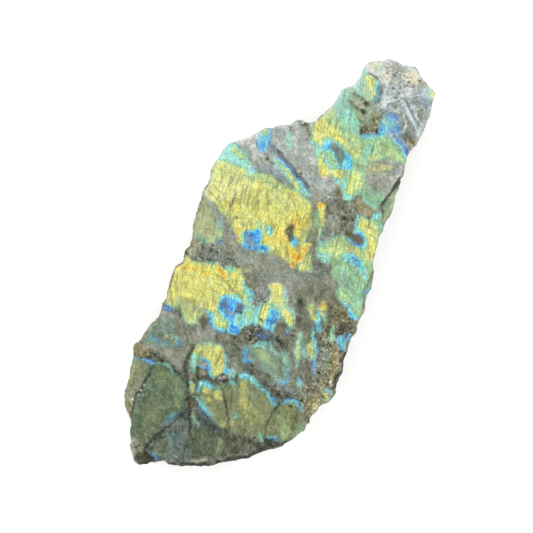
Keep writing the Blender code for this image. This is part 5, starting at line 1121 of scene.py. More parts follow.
# The large olive field at the bottom right.
LOWER_FIELD: tuple[Mark, ...] = (
    Flare(area(7.2, -41.4, 9, -40.2, 12, -39.8, 14, -40.8, 16.4, -41.8, 19, -41.8, 21, -42.4, 22.6, -43.6,
        24, -44.4, 24.6, -46, 25.2, -43, 27, -40.8, 29, -39.6, 31, -40.4, 33, -41.8, 35.4, -43, 39, -44,
        40, -49, 37, -54, 33, -56, 29, -56, 26, -58, 24, -60, 18, -60.4, 13, -62, 9, -62, 5, -60.8,
        0, -58.8, -2.8, -57.4, -3.6, -54, -4.4, -51.4, -2, -50.6, 1.4, -50, 3, -48, 5.6, -47, 7.6, -44.6),
        TEAL, LIME, 1.8, 0.28, 1.0, 0.2),
    Flare(area(8.6, -43, 11.6, -42.6, 13, -46, 17, -49, 23, -51, 23.6, -54, 17, -56, 12, -52, 9, -47), LIME,
        YELLOW, 2.4, 0.14, 1.8, 0.2),
    Flare(dot(10.2, -44.6, 1.6, 2.2, 20), YELLOW, GOLD, 1.2, 0.25, 1.0, 0.35),
    Flare(dot(13.6, -50.4, 2.6, 1.4, -30), YELLOW, GOLD, 1.2, 0.2, 1.0, 0.28),
    Flare(area(26.4, -44, 29, -43, 32, -46, 35, -52, 33.6, -55, 29, -55, 26.6, -51), GREEN, LIME, 1.8, 0.1,
        1.2, 0.14),
    Tone(area(26.4, -44, 31, -43, 36, -46, 37, -52, 33.6, -55, 28, -55), DARK, 0.4, 1.4, veil=0.12),
    Flare(area(30, -48, 33, -49, 35, -54, 31, -54.4, 29.6, -51), GREEN, GREEN, 1.0, 0.18, 0.9, 0.28),
    Flare(area(34.6, -45, 38.4, -45, 38.6, -49, 36, -52, 35, -49), GREEN, TEAL, 1.0, 0.2, 0.9, 0.25),
    Flare(line(2.0, 7.2, -42, 8.6, -41.1, 11, -40.5, 13, -40.9), BLUE, ICE, 0.8, 0.95),
    Flare(line(1.2, 13, -41, 16, -42.2, 19, -42.2, 20.6, -43.2, 22, -44.6, 23.8, -44.8), BLUE, CYAN, 0.5,
        0.6),
    Flare(line(1.0, 20.4, -42.4, 22, -43, 23.4, -43), DEEP_BLUE, BLUE, 0.5, 0.6),
    Flare(line(1.6, 25.8, -43, 27, -41.2, 29.4, -40, 31, -40.6), DEEP_BLUE, CYAN, 0.6, 0.5),
    Flare(line(1.3, 12, -41.6, 15, -44, 16, -46), ICE, TEAL, 0.6, 0.4, 0.7),
    Tone(area(11.6, -42.2, 14.4, -42.6, 17, -43, 18, -44.2, 15.4, -45, 13, -44.4), SMOKE, 0.55, 0.8),
    Tone(dot(14, -46.2, 2.0, 1.0, -30), PALE, 0.35, 0.8),
    Tone(dot(29, -42.4, 0.9, 0.5), BLACK, 0.8, 0.3, 0.2),
    Tone(area(31, -41, 36.4, -42, 37, -46, 34.4, -46.6, 33, -44), GREY, 0.4, 1.0),
    Flare(area(-4.4, -50.8, -2, -50.4, 1.2, -50.2, 1.4, -51.6, -1, -52.4, -2.4, -53, -3, -55.4,
        -4.2, -54.6), BLUE, CYAN, 0.6, 0.9),
    Tone(dot(-2.9, -53.8, 0.7, 1.0, 20), SLATE, 0.7, 0.4),
    Flare(dot(-0.8, -52.8, 1.6, 1.2), LIME, YELLOW, 0.9, 0.7, 0.6, 0.75),
    Flare(line(1.1, 2, -50.6, 3.4, -51), CYAN, ICE, 0.4, 0.8),
    Flare(dot(3.4, -52.4, 2.6, 1.6, -20), LIME, YELLOW, 1.0, 0.55, 0.6, 0.6),
    Flare(dot(1.8, -55.4, 1.2, 0.9), YELLOW, GOLD, 0.8, 0.5),
    Flare(line(1.0, -3.2, -56.8, -1.2, -58, 1.6, -59.4, 4.8, -60.7), DEEP_BLUE, CYAN, 0.4, 0.75),
    Flare(line(1.8, -3, -57, 1, -57.6, 6, -60), TEAL, TEAL, 0.6, 0.35, 0.8),
    Flare(dot(13, -56, 1.4, 1.0), CYAN, TEAL, 0.6, 0.7),
    Tone(dot(12.3, -55.9, 0.7, 0.5), SLATE, 0.7, 0.35),
    Flare(dot(14, -58.4, 1.2, 0.8), LIME, YELLOW, 0.7, 0.3),
    Flare(dot(10.8, -61, 1.0, 0.8), LIME, YELLOW, 0.6, 0.6),
    Flare(line(1.5, 24, -56.8, 24.8, -58.4, 26.4, -59.6), CYAN, TEAL, 0.6, 0.7),
    Flare(line(1.0, 27.6, -56.4, 29.6, -56, 31.4, -56.4), BLUE, CYAN, 0.4, 0.6),
    Tone(area(13.6, -57, 19, -58.4, 24, -58.6, 25, -60.4, 19, -61, 14.6, -60), TAN, 0.45, 1.0, veil=0.5),
    Tone(line(0.6, 16.4, -57.8, 18.6, -58.4, 20.4, -58.6), CHARCOAL, 0.6, 0.4),
    Tone(area(27, -57, 29.4, -56.6, 30.6, -58, 30, -59.4, 28, -59.6, 26.6, -58.6), BLACK, 0.85, 0.5, 0.3),
    Tone(dot(25.8, -60.8, 1.2, 1.0), BLACK, 0.85, 0.4, 0.3),
    Tone(dot(23, -59.4, 0.8, 0.6), BLACK, 0.8, 0.35, 0.2),
    Tone(dot(21.2, -39, 0.7, 0.4), BLACK, 0.8, 0.3, 0.2),
    Tone(line(0.9, 21.6, -40.4, 22.6, -41.2, 24.4, -41.8), BLACK, 0.8, 0.35, 0.2),
    Tone(line(1.8, 7, -38, 12, -38, 15, -38.8), SLATE, 0.6, 1.0),
    Tone(line(2.0, 16.4, -38, 20, -38.2, 24, -38.5, 27, -38), VIOLET, 0.6, 1.0),
    Flare(area(1, -63.6, 2.6, -64.4, 4.6, -65.4, 9, -66.4, 14, -64, 18, -66, 15, -72, 10, -75, 6, -76,
        3.6, -71, 2.2, -67), TEAL, GREEN, 1.4, 0.08, 1.4, 0.10),
    Flare(dot(1.8, -65.2, 1.8, 0.7, -30), TEAL, GREEN, 0.5, 0.55),
    Flare(line(0.7, -1, -62.4, 0.4, -64.4), LIME, LIME, 0.4, 0.5),
    Flare(line(1.4, 13, -66, 13.6, -69, 14, -71), LIME, LIME, 0.6, 0.3, 0.7),
    Tone(area(12, -62, 22, -62, 26, -62, 22, -68, 16, -73, 14.4, -68), DARK, 0.4, 1.6),
    Tone(area(3, -66, 12, -65, 14, -72, 8, -76, 4, -73), CHARCOAL, 0.22, 1.6, veil=0.1),
    Tone(area(-1, -59.4, 2, -60.4, 5, -61.4, 9, -62.2, 10, -64.4, 5, -64.6, 2, -63.8, -0.6, -62.6),
        DEEP_SLATE, 0.8, 0.6),
    Tone(dot(31, -48, 3.4, 4.0), DARK, 0.2, 1.6, veil=0.1),
)

# The dull bottom of the slab: olive panes between dark cracks.
BOTTOM: tuple[Mark, ...] = (
    Flare(area(-22, -54, -19, -51.8, -15, -53, -10.6, -53.6, -8, -55, -5.6, -59, -5, -64, -8, -69, -10, -76,
        -11, -82, -16.4, -83, -20, -76, -21.4, -70, -21.8, -62), TEAL, GREEN, 3.0, 0.18, 0.9, 0.13),
    Flare(area(-21.6, -57, -20, -54, -16, -54, -15.6, -57, -19, -59), LIME, LIME, 1.4, 0.1, 1.0, 0.16),
    Flare(dot(-17.8, -61.4, 2.6, 2.4), TEAL, TEAL, 1.2, 0.08, 1.2, 0.14),
    Flare(line(0.8, -19.6, -56.6, -17, -54.8, -13.6, -55.2, -10, -57.4, -7, -61), GREEN, LIME, 0.4, 0.14),
    Flare(line(0.8, -20.2, -62.6, -18.4, -59.4, -15.4, -58, -12.2, -59, -9.4, -61.6), TEAL, GREEN, 0.4,
        0.16),
    Tone(line(0.5, -20.6, -60, -18.6, -57.2, -15.4, -56.2, -12, -57.4, -9, -60.2, -7, -63), CHARCOAL, 0.35,
        0.35),
    Tone(line(0.5, -20.4, -66, -19.6, -62, -17.4, -59.6, -14.4, -59, -11.6, -60.6, -9.6, -62.8), CHARCOAL,
        0.35, 0.35),
    Tone(line(0.5, -19, -66.4, -18.2, -63.4, -16.4, -61.4, -14.2, -61, -12.4, -62.4), CHARCOAL, 0.3, 0.35),
    Tone(line(0.5, -10.4, -66, -9.4, -69, -9.6, -73, -10.6, -77), CHARCOAL, 0.3, 0.4),
    Tone(line(0.5, -16, -78.6, -13, -79.6, -10.4, -79.4), CHARCOAL, 0.3, 0.4),
    Flare(area(-15, -54, -9, -54.6, -6.4, -58, -7, -61, -12, -60, -15, -57), TEAL, GREEN, 1.6, 0.08, 1.2,
        0.14),
    Flare(dot(-12.8, -71, 3.2, 1.8, -20), LIME, YELLOW, 1.4, 0.04, 1.4, 0.08),
    Flare(line(0.8, -10, -61.4, -8, -62.2, -6.6, -64), LIME, LIME, 0.4, 0.35),
    Flare(area(-30.6, -55, -27, -55.4, -23, -54.6, -23, -62, -22.6, -68.6, -26.6, -69.6, -28.6, -62), GREEN,
        LIME, 1.6, 0.16, 0.9, 0.2),
    Flare(line(1.4, -29, -58, -28, -61.6, -27, -64.6), LIME, YELLOW, 0.6, 0.35),
    Tone(area(-26, -62.4, -23, -62, -22.8, -68, -25.6, -68.4), GREY, 0.5, 0.9),
    Tone(line(0.8, -27.6, -55.6, -26.6, -58, -26.2, -60), DARK, 0.4, 0.5),
    Tone(area(-26, -69, -22.4, -69.4, -21.6, -71.6, -20, -74.8, -20.6, -76.2, -22.2, -74.4, -24.8, -73.6,
        -26.4, -71), TAN, 0.55, 0.6),
    Tone(area(-26, -69, -22.6, -69, -22, -70.4, -25.6, -70.4), ASH, 0.5, 0.5),
    Flare(area(-7.6, -66, -5.2, -64.8, -5, -67.6, -6.4, -70.4, -7.6, -73, -8.8, -72), BLUE, CYAN, 1.2, 0.18,
        0.9),
    Flare(area(-6, -74.4, -2, -75, 0, -80, -2.4, -82.6, -7, -83, -7.4, -79), TEAL, GREEN, 1.4, 0.08, 1.0,
        0.12),
    Flare(line(0.8, -6.8, -81.2, -5, -82, -3.6, -82.2), LIME, LIME, 0.4, 0.5),
    Flare(line(0.9, -6.6, -82.8, -5, -83.4, -3.8, -84.4), BLUE, CYAN, 0.4, 0.55),
    Tone(dot(-3.2, -66.2, 2.6, 2.4), DEEP_SLATE, 0.9, 1.0),
    Tone(dot(-3.2, -65.8, 1.8, 1.6), BLACK, 0.35, 0.8),
    Tone(dot(-2.4, -67, 1.0, 0.7), PALE, 0.3, 0.6),
    Tone(area(-8, -75, -4, -76, -2, -80, -3, -82.4, -7, -83, -9, -79), CHARCOAL, 0.4, 1.2, veil=0.25),
    Tone(area(-4.4, -71.4, 1, -70, 4, -75, 2, -79.6, -2, -79, -4, -76), SLATE, 0.45, 1.2),
    Flare(dot(-2.4, -74.4, 2.2, 2.6, 30), BLUE, CYAN, 1.0, 0.08),
    Tone(dot(-6.2, -86, 1.8, 1.6, 40), BLACK, 0.75, 0.5),
    Tone(area(-22, -54, -8, -54, -6, -60, -10, -63, -20, -62), CHARCOAL, 0.22, 2.0, veil=0.1),
    Tone(area(-30, -56, -24, -55, -24, -62, -27, -64), DARK, 0.35, 1.2, veil=0.15),
    Tone(line(1.2, -22.6, -53.6, -20.2, -51.7, -18, -51, -14, -52.4, -10.2, -53.9), CHARCOAL, 0.75, 0.5),
    Flare(line(1.0, -24, -54, -21.8, -53.4, -19.8, -52.4, -17.6, -52.2, -15, -53.3), BLUE, TEAL, 0.5, 0.4),
    Tone(area(-9.6, -83.6, -5, -83.4, -4, -86.4, -6.4, -88.8, -10.4, -88.4), BLACK, 0.6, 0.7),
    Tone(area(-16.6, -82.4, -12, -81.6, -10.4, -84, -11, -88.6, -14, -87.4, -16.8, -84.4), CREAM, 0.42,
        0.8),
    Tone(dot(-12.8, -86.2, 1.4, 0.8, -20), CREAM, 0.55, 0.5),
    Tone(dot(-15.2, -83.4, 0.9, 0.5, -40), CREAM, 0.4, 0.4),
    Tone(dot(-10, -88, 1.2, 0.4), TAN, 0.8, 0.3),
    Tone(area(-5.6, -57, -3.4, -57.8, -1.6, -60, -1.8, -62, -3.6, -62.4, -5, -60.6), UMBER, 0.55, 0.7,
        0.15),
    Tone(line(0.9, -5.2, -58, -3, -61.4), BLACK, 0.6, 0.5, 0.1),
    Flare(area(-8, -52.8, -6, -53, -4.6, -55.6, -5, -57.4, -6.2, -56.4), TEAL, LIME, 0.6, 0.6),
    Flare(line(0.8, -7.6, -53.2, -6.4, -53.8), CYAN, ICE, 0.3, 0.7),
    Tone(area(7, -77.8, 9.6, -76.2, 12.4, -74.4, 12.8, -75.4, 10, -77.4, 7.4, -79), CREAM, 0.5, 0.5),
    Tone(dot(1.7, -79.6, 0.4, 0.4), WHITE, 0.7, 0.25),
    Tone(line(0.6, -5, -68.6, -3, -69, -1, -69.6, 1.4, -69), DARK, 0.6, 0.4),
)

# Cracks and small pits across everything.
CRACKS: tuple[Mark, ...] = (
    Tone(line(0.8, -22, -55, -22.3, -58.4, -22.6, -61, -22.1, -63.6, -22.3, -66, -21.9, -69), BLACK, 0.6,
        0.3, 0.15),
    Tone(dot(-22.5, -61.2, 0.6, 0.5), BLACK, 0.8, 0.25, 0.2),
    Tone(dot(-22, -63.8, 0.6, 0.6), BLACK, 0.8, 0.25, 0.2),
    Tone(dot(-22.6, -66.8, 0.6, 0.4), BLACK, 0.8, 0.25, 0.2),
    Tone(dot(-21.9, -62.6, 0.5, 0.4), ASH, 0.8, 0.25),
    Tone(dot(-22.3, -65, 0.5, 0.4), ASH, 0.8, 0.25),
    Tone(dot(-21.7, -67, 0.5, 0.4), ASH, 0.7, 0.25),
    Tone(line(0.7, -21.9, -69, -21.5, -71.2, -20.8, -73.2, -20.1, -75.5), BLACK, 0.8, 0.3, 0.15),
    Tone(line(0.5, -20, -76, -18, -79, -16, -82.4), DARK, 0.6, 0.3),
    Tone(line(1.6, -13.4, -41, -12.8, -45, -11.8, -49.4, -9.2, -53, -6.6, -56.6, -5.2, -59), CHARCOAL, 0.75,
        0.6),
    Tone(line(0.9, -5.2, -59, -3, -61.8, -1.4, -64.4, 0.6, -67.2, 1.2, -69.6, 1.6, -71.2), BLACK, 0.85,
        0.35, 0.15),
    Tone(line(0.7, 1.6, -71, 2.4, -73.4, 3.5, -75.6), DARK, 0.6, 0.35),
    Tone(line(0.75, 3, -47.9, 5.3, -50.7, 7.4, -53.4, 8.7, -54.8, 10.2, -56.9, 12.4, -59.5, 14.4, -61.3),
        BLACK, 0.8, 0.3, 0.15),
    Tone(line(0.9, 24.5, -44.2, 24.4, -48, 24.7, -52, 25.5, -55.2, 26.7, -57.6), BLACK, 0.7, 0.35, 0.15),
    Tone(line(0.7, 25.4, -47, 26.2, -50, 27.6, -53), DARK, 0.4, 0.5),
    Tone(line(0.8, -5.7, -70.2, -7.5, -73.2, -8.9, -77.2, -9.7, -81.2, -10, -84), BLACK, 0.7, 0.35, 0.1),
    Tone(line(0.6, -4.6, -74.6, -6.4, -76.6, -7.4, -79.4, -8, -82.4), CHARCOAL, 0.6, 0.35),
    Tone(line(0.5, -3.6, -64, -4.6, -67, -5.4, -70), CHARCOAL, 0.5, 0.35),
    Tone(line(0.7, 8, -45.4, 9.2, -47.6, 11, -50.4, 12.8, -53), DARK, 0.7, 0.35, 0.05),
    Tone(line(0.7, 0.6, -51, 1.6, -52.6, 2.8, -55), DARK, 0.7, 0.35, 0.05),
    Tone(dot(1, -51.4, 0.5, 0.6), CHARCOAL, 0.7, 0.3, 0.1),
    Tone(line(0.9, 31.6, -41.6, 32.4, -44, 33.2, -47, 34, -50, 34.3, -52), UMBER, 0.65, 0.4, 0.05),
    Tone(line(0.6, -9.8, -38.8, -9.4, -41.6, -8.7, -44.6, -7.6, -48.2, -6.6, -49.8), DARK, 0.65, 0.35),
    Tone(line(0.5, -3.3, -38, -2.8, -41, -2, -45), DARK, 0.6, 0.3),
    Tone(line(0.9, 1.6, -69, 4, -71, 6, -74, 7.4, -76.6), UMBER, 0.6, 0.4),
    Tone(line(0.8, 10.8, -66.6, 12.4, -69.4, 13.2, -73), DARK, 0.5, 0.5),
    Tone(line(0.7, -19.8, -60, -19.3, -61.6), BLACK, 0.6, 0.3, 0.1),
    Tone(line(0.7, -14.6, -60.2, -13.2, -62), BLACK, 0.5, 0.3, 0.1),
    Tone(line(0.6, -18.4, -55, -17, -55.6, -15.4, -55), OLIVE, 0.6, 0.3),
    Tone(line(0.6, -14, -56, -11.6, -57.4, -9.4, -59.8), OLIVE, 0.55, 0.3),
    Tone(line(0.6, -12, -61.6, -9.6, -61.4, -7, -62.8), DARK, 0.45, 0.3),
    Tone(line(0.6, -17, -62.6, -14, -62.4, -11, -64), DARK, 0.4, 0.3),
    Tone(line(0.6, -16.6, -66, -13.6, -65.6, -11, -67), DARK, 0.35, 0.3),
    Tone(line(0.6, -26.6, -58, -25.8, -62, -25, -66), DARK, 0.45, 0.3),
    Tone(line(0.6, -25, -56.6, -24.2, -60, -24, -63), OLIVE, 0.5, 0.3),
    Tone(line(0.5, -10, -68.6, -10.2, -72, -10.4, -75), DARK, 0.4, 0.4),
    Tone(line(1.0, 24.6, -5, 26.4, -9, 27.6, -13, 28, -17), DARK, 0.5, 0.7),
    Tone(area(-33.6, -5.6, -30.6, -6, -29.8, -10, -31, -13.6, -33.4, -13), TAN, 0.45, 0.8),
    Tone(dot(-28.5, -7.7, 0.7, 0.6), BLACK, 0.8, 0.3, 0.2),
    Tone(dot(-25.4, -7, 0.8, 0.7), CHARCOAL, 0.8, 0.35, 0.2),
    Tone(dot(-23, -6.8, 0.8, 0.7), CHARCOAL, 0.7, 0.35, 0.2),
    Tone(dot(-16.9, -6.6, 0.9, 0.5), CHARCOAL, 0.7, 0.35, 0.2),
    Tone(dot(-28, -10.4, 0.7, 0.7), CHARCOAL, 0.7, 0.35, 0.2),
    Tone(dot(-24.6, -10.8, 0.9, 0.5), CHARCOAL, 0.7, 0.35, 0.2),
    Tone(dot(-26.4, -11.3, 0.6, 0.6), CHARCOAL, 0.7, 0.35, 0.2),
    Tone(dot(-19.4, -5, 0.7, 0.5), DARK, 0.7, 0.35, 0.1),
)

# Rust and black along the rim, painted shade in the notch of the right rim, and the last touches beside it.
RIM: tuple[Mark, ...] = (
    Tone(line(1.2, -40.4, 27, -40.6, 22, -39.8, 16, -38.6, 11, -37.4, 5, -36.9, 1, -35.6, -2.6, -34.2, -6.4,
        -33, -10, -33.6, -12, -32.6, -14.6, -32.4, -16.4, -34, -19, -34, -21, -33, -24, -31.6, -28,
        -30.6, -32, -30.6, -34, -29.8, -38, -31.2, -42, -31, -46, -32.4, -51, -31, -55), RUST, 0.75, 0.4),
    Tone(line(1.5, -32.6, -16.4, -34, -19, -34, -21, -33.2, -24), RUST, 0.7, 0.4),
    Tone(dot(-32.6, -12.4, 0.9, 0.7), UMBER, 0.8, 0.4),
    Tone(line(1.9, 0, -83.6, 3.6, -82, 7, -80.4, 10.2, -78.9, 12, -77.8, 14.6, -76.2, 15.6, -74.8), BLACK,
        0.95, 0.4),
    Tone(line(1.7, 15.2, -73.8, 18, -71.2, 20.7, -69.3, 23, -67.1, 25, -64.9, 27.2, -62.9, 29.8, -59.9,
        31.8, -57.9, 34.4, -54.6), BLACK, 0.9, 0.4),
    Tone(line(0.5, 13.8, -73.6, 17, -70.6, 20, -68.2, 22.6, -66, 25, -63.4), ASH, 0.35, 0.5),
    Tone(line(0.7, 38.1, -36.6, 37.9, -38.2, 38.4, -40, 37.4, -42), UMBER, 0.7, 0.4),
    Tone(line(0.8, -25.6, -71.6, -23.6, -73.4, -21.2, -75.4, -18.4, -79, -16.6, -82.6), RUST, 0.5, 0.4),
    Tone(line(0.8, 20.3, 74, 20.5, 71, 20.9, 68, 20.5, 63), TAN, 0.4, 0.4),
    Tone(line(0.5, 28.6, 22, 27.2, 26, 26.2, 29.6), DARK, 0.5, 0.3),
    Tone(area(28, -16, 31, -17.6, 33.6, -22, 35, -27, 33, -30, 29.6, -28, 28.6, -22), SMOKE, 0.25, 1.2,
        veil=0.4),
    Tone(dot(30.8, -19.4, 2.4, 2.6), GREY, 0.5, 0.8, veil=0.8),
    Tone(line(1.6, 29.6, -24, 31, -27, 32, -30), VIOLET, 0.25, 0.8),
    Tone(line(1.6, 31.6, -15, 33.4, -17.4, 34.8, -20, 36, -23, 37.4, -26.4), TAN, 0.55, 0.6),
    Tone(line(1.4, 32, -18.6, 34.2, -21, 36, -24.4), RUST, 0.65, 0.5),
    Tone(line(0.8, 34.6, -16.6, 36.4, -19.4, 37.6, -21.8), RUST, 0.6, 0.3),
    Tone(line(0.8, 33, -16.4, 35.2, -18.6, 36.8, -21.2, 37.8, -23.6), CREAM, 0.55, 0.3),
    Tone(line(0.7, 34.6, -22, 36.2, -25, 38, -28.4), CREAM, 0.5, 0.3),
    Tone(line(0.9, 33.6, -24.4, 35, -27), UMBER, 0.6, 0.4),
    Tone(line(0.7, 33.4, -19.6, 35.2, -22.6), UMBER, 0.6, 0.3),
    Tone(area(35.9, -15.2, 36.8, -14.6, 38, -18.4, 36.8, -18.8), BLACK, 0.85, 0.4),
    # Painted shade: two black dots in the same notch of the right rim.
    Tone(dot(38.9, -24.4, 1.2, 2.2, 15), BLACK, 0.85, 0.4),
    Tone(dot(39.6, -28.4, 1.1, 1.1), BLACK, 0.7, 0.4),
    Flare(line(0.7, 37, -17, 38.2, -19.6), NAVY, BLUE, 0.3, 0.4),
    Flare(line(0.8, 29.8, -17.6, 31.2, -19.6, 32.6, -22.4, 34, -25), CYAN, GREEN, 0.3, 0.32),
    Tone(dot(38, -31.3, 1.3, 1.1), PALE, 0.7, 0.5, veil=0.6),
    Flare(dot(38.5, -32.5, 0.8, 0.6), GOLD, ORANGE, 0.4, 0.6),
    Tone(dot(37.7, -33.4, 0.6, 0.5), BLACK, 0.8, 0.3),
    Tone(dot(38.9, -33.5, 0.5, 0.5), BLACK, 0.7, 0.3),
    Tone(area(34.6, -33.4, 36.4, -32.8, 37.4, -34.6, 38, -36.6, 36, -37.6, 34.4, -36), TAN, 0.6, 0.6),
    Tone(dot(29, -13.4, 0.6, 0.5), CREAM, 0.7, 0.3, veil=0.0),
    Tone(dot(28, -15, 0.7, 0.6), CREAM, 0.6, 0.3),
    Tone(dot(29.6, -18.4, 0.5, 0.6), FROST, 0.6, 0.3),
    Tone(dot(32.7, -30.4, 0.7, 0.5), CREAM, 0.6, 0.3),
    Tone(dot(32.6, -32.6, 1.2, 0.5, 10), CREAM, 0.5, 0.3),
    Tone(dot(33.6, -33.8, 1.4, 0.9, -20), DARK, 0.7, 0.5),
    Tone(dot(31.2, -9.8, 1.3, 1.0, -20), CHARCOAL, 0.7, 0.5, 0.2),
    Tone(dot(21.5, -11.9, 1.1, 0.8, -30), SLATE, 0.85, 0.3),
    Tone(line(0.7, 21.2, -6.8, 23, -8, 24.4, -8.9), FROST, 0.5, 0.3, veil=0.0),
    Tone(line(0.7, 21.2, -7.8, 22.6, -8.8, 24.4, -9.7), DARK, 0.7, 0.3, veil=0.5),
    Flare(line(0.9, 22.4, -22.6, 24.6, -24, 27, -24.6), CYAN, GREEN, 0.4, 0.5),
    Tone(line(0.8, 20.6, -17.6, 21.6, -20, 22.6, -22.6), UMBER, 0.6, 0.35),
    Tone(line(0.8, 35.5, -3.6, 35.8, -6.4, 35.8, -9), RUST, 0.7, 0.3),
)

MARKS: tuple[Mark, ...] = (
    GROUND + COARSE + HEAD + UPPER_FIELD + SHOULDERS + GREY_BAND + YELLOW_FIELD + LEFT_LOBE + RIGHT_FIELD
    + MIDDLE + RIGHT_STREAKS + WAIST + LOWER_FIELD + BOTTOM + CRACKS + RIM
)


@dataclass(frozen=True)
class Grain:
    """A smooth random field: the size of its lumps, which field it is and how strong it is."""

    SHIFT: ClassVar[np.ndarray] = np.array((13.7, 7.3, 3.1))

    size: float
    field: int
    strength: float = 1.0

    def at(self, places: np.ndarray) -> np.ndarray:
        """The field at points in space.

        Args:
            places: Points in millimetres, an (n, 3) array.

        Returns:
            One value a point, between about -1 and 1 times the strength.
        """
        shifted = places / self.size + self.SHIFT * self.field
        return np.array([noise.noise(Vector(place)) for place in shifted]) * self.strength


def layered(places: np.ndarray, *grains: Grain) -> np.ndarray:
    """The sum of random fields at points in space."""
    return np.sum([grain.at(places) for grain in grains], axis=0)


@dataclass
class FacePlan:
    """What each point of the stone shows, as the marks are laid over it one after another."""

    RIM_FADE: ClassVar[float] = 0.8
    PLAIN_GRIT: ClassVar[float] = 0.12

    at: np.ndarray
    patches: np.ndarray
    hue: np.ndarray
    glow: np.ndarray
    shade: np.ndarray
    warmth: np.ndarray
    sunk: np.ndarray
    grit: np.ndarray

    @classmethod
    def plain(cls, at: np.ndarray, patches: np.ndarray, shade: float, warmth: float) -> "FacePlan":
        """Stone without a mark on it.

        Args:
            at: The points seen from above, an (n, 2) array.
            patches: Where the rims of the flashes fade, 0 to 1.
            shade: How light the stone is.
            warmth: How warm it is.

        Returns:
            The plan for those points.
        """
        hue, glow, light, warm, sunk, grit = (
            np.full(len(at), start) for start in (GREEN.value, 0.0, shade, warmth, 0.0, cls.PLAIN_GRIT)
        )
        return cls(at, patches, hue, glow, light, warm, sunk, grit)

    def near(self, shape: Shape, margin: float) -> np.ndarray:
        """The numbers of the points in a shape's box.

        Args:
            shape: The shape.
            margin: How much wider the box is on each side.

        Returns:
            The numbers as an array.
        """
        low_x, low_y, high_x, high_y = shape.span()
        x, y = self.at[:, 0], self.at[:, 1]
        within = (x > low_x - margin) & (x < high_x + margin) & (y > low_y - margin) & (y < high_y + margin)
        return np.flatnonzero(within)

    def lay(self, mark: Mark) -> None:
        """Lays one mark over the plan.

        Args:
            mark: A flare, a tone or grit.
        """
        chosen = self.near(mark.shape, mark.feather)
        depth = mark.shape.depth(self.at[chosen])
        cover = eased(depth, -mark.feather, mark.feather)
        if isinstance(mark, Flare):
            self.lay_flare(mark, chosen, depth, cover)
        elif isinstance(mark, Grit):
            self.grit[chosen] += cover * (mark.amount - self.grit[chosen])
        else:
            self.lay_tone(mark, chosen, cover)

    def lay_flare(self, flare: Flare, chosen: np.ndarray, depth: np.ndarray, cover: np.ndarray) -> None:
        """Lays a flash over what is there.

        Args:
            flare: The flare.
            chosen: The points in its box.
            depth: How far inside it each of them lies.
            cover: How much of it each of them shows, 0 to 1.
        """
        heart = eased(depth, 0.0, flare.reach)
        heart += (1.0 - heart) * self.patches[chosen] * self.RIM_FADE
        heart_glow = flare.glow if flare.heart_glow is None else flare.heart_glow
        hue = flare.rim.value + heart * (flare.heart.value - flare.rim.value)
        new = cover * (flare.glow + heart * (heart_glow - flare.glow))
        old = (1.0 - new) * self.glow[chosen]
        share = new / (new + old + 1e-6)
        self.hue[chosen] += share * (hue - self.hue[chosen])
        self.glow[chosen] = new + old

    def lay_tone(self, tone: Tone, chosen: np.ndarray, cover: np.ndarray) -> None:
        """Lays plain stone over what is there.

        Args:
            tone: The tone.
            chosen: The points in its box.
            cover: How much of it each of them shows, 0 to 1.
        """
        shade, warmth = tone.matrix.value
        veil = tone.amount if tone.veil is None else tone.veil
        self.shade[chosen] += cover * tone.amount * (shade - self.shade[chosen])
        self.warmth[chosen] += cover * tone.amount * (warmth - self.warmth[chosen])
        self.glow[chosen] *= 1.0 - cover * veil
        self.sunk[chosen] = np.maximum(self.sunk[chosen], cover * tone.sunk)


Input = Union["Strand", bpy.types.NodeSocket, float, tuple[float, ...]]


@dataclass(frozen=True)
class Strand:
    """A value on its way through a shader: sums on it add Math nodes."""

    web: "Web"
    socket: bpy.types.NodeSocket

    def maths(self, operation: str, *others: Input) -> "Strand":
        """Adds a Math node.

        Args:
            operation: The Math node's operation.
            others: Its other values.

        Returns:
            The result.
        """
        values = dict(enumerate((self, *others)))
        return self.web.value("ShaderNodeMath", {"operation": operation}, values)

    def __add__(self, other: Input) -> "Strand":
        """Self + other."""
        return self.maths("ADD", other)

    def __sub__(self, other: Input) -> "Strand":
        """Self - other."""
        return self.maths("SUBTRACT", other)

    def __mul__(self, other: Input) -> "Strand":
        """Self * other."""
        return self.maths("MULTIPLY", other)

    def __rsub__(self, other: float) -> "Strand":
        """Other - self."""
        return self.maths("MULTIPLY_ADD", -1.0, other)

    __radd__ = __add__
    __rmul__ = __mul__

    def most(self, other: Input) -> "Strand":
        """The larger of the two."""
        return self.maths("MAXIMUM", other)

    def step(self, low: float, high: float) -> "Strand":
        """A smooth step.

        Args:
            low: Where it leaves 0.
            high: Where it reaches 1.

        Returns:
            The step.
        """
        values = {"Value": self, "From Min": low, "From Max": high}
        return self.web.value("ShaderNodeMapRange", {"interpolation_type": "SMOOTHSTEP"}, values)


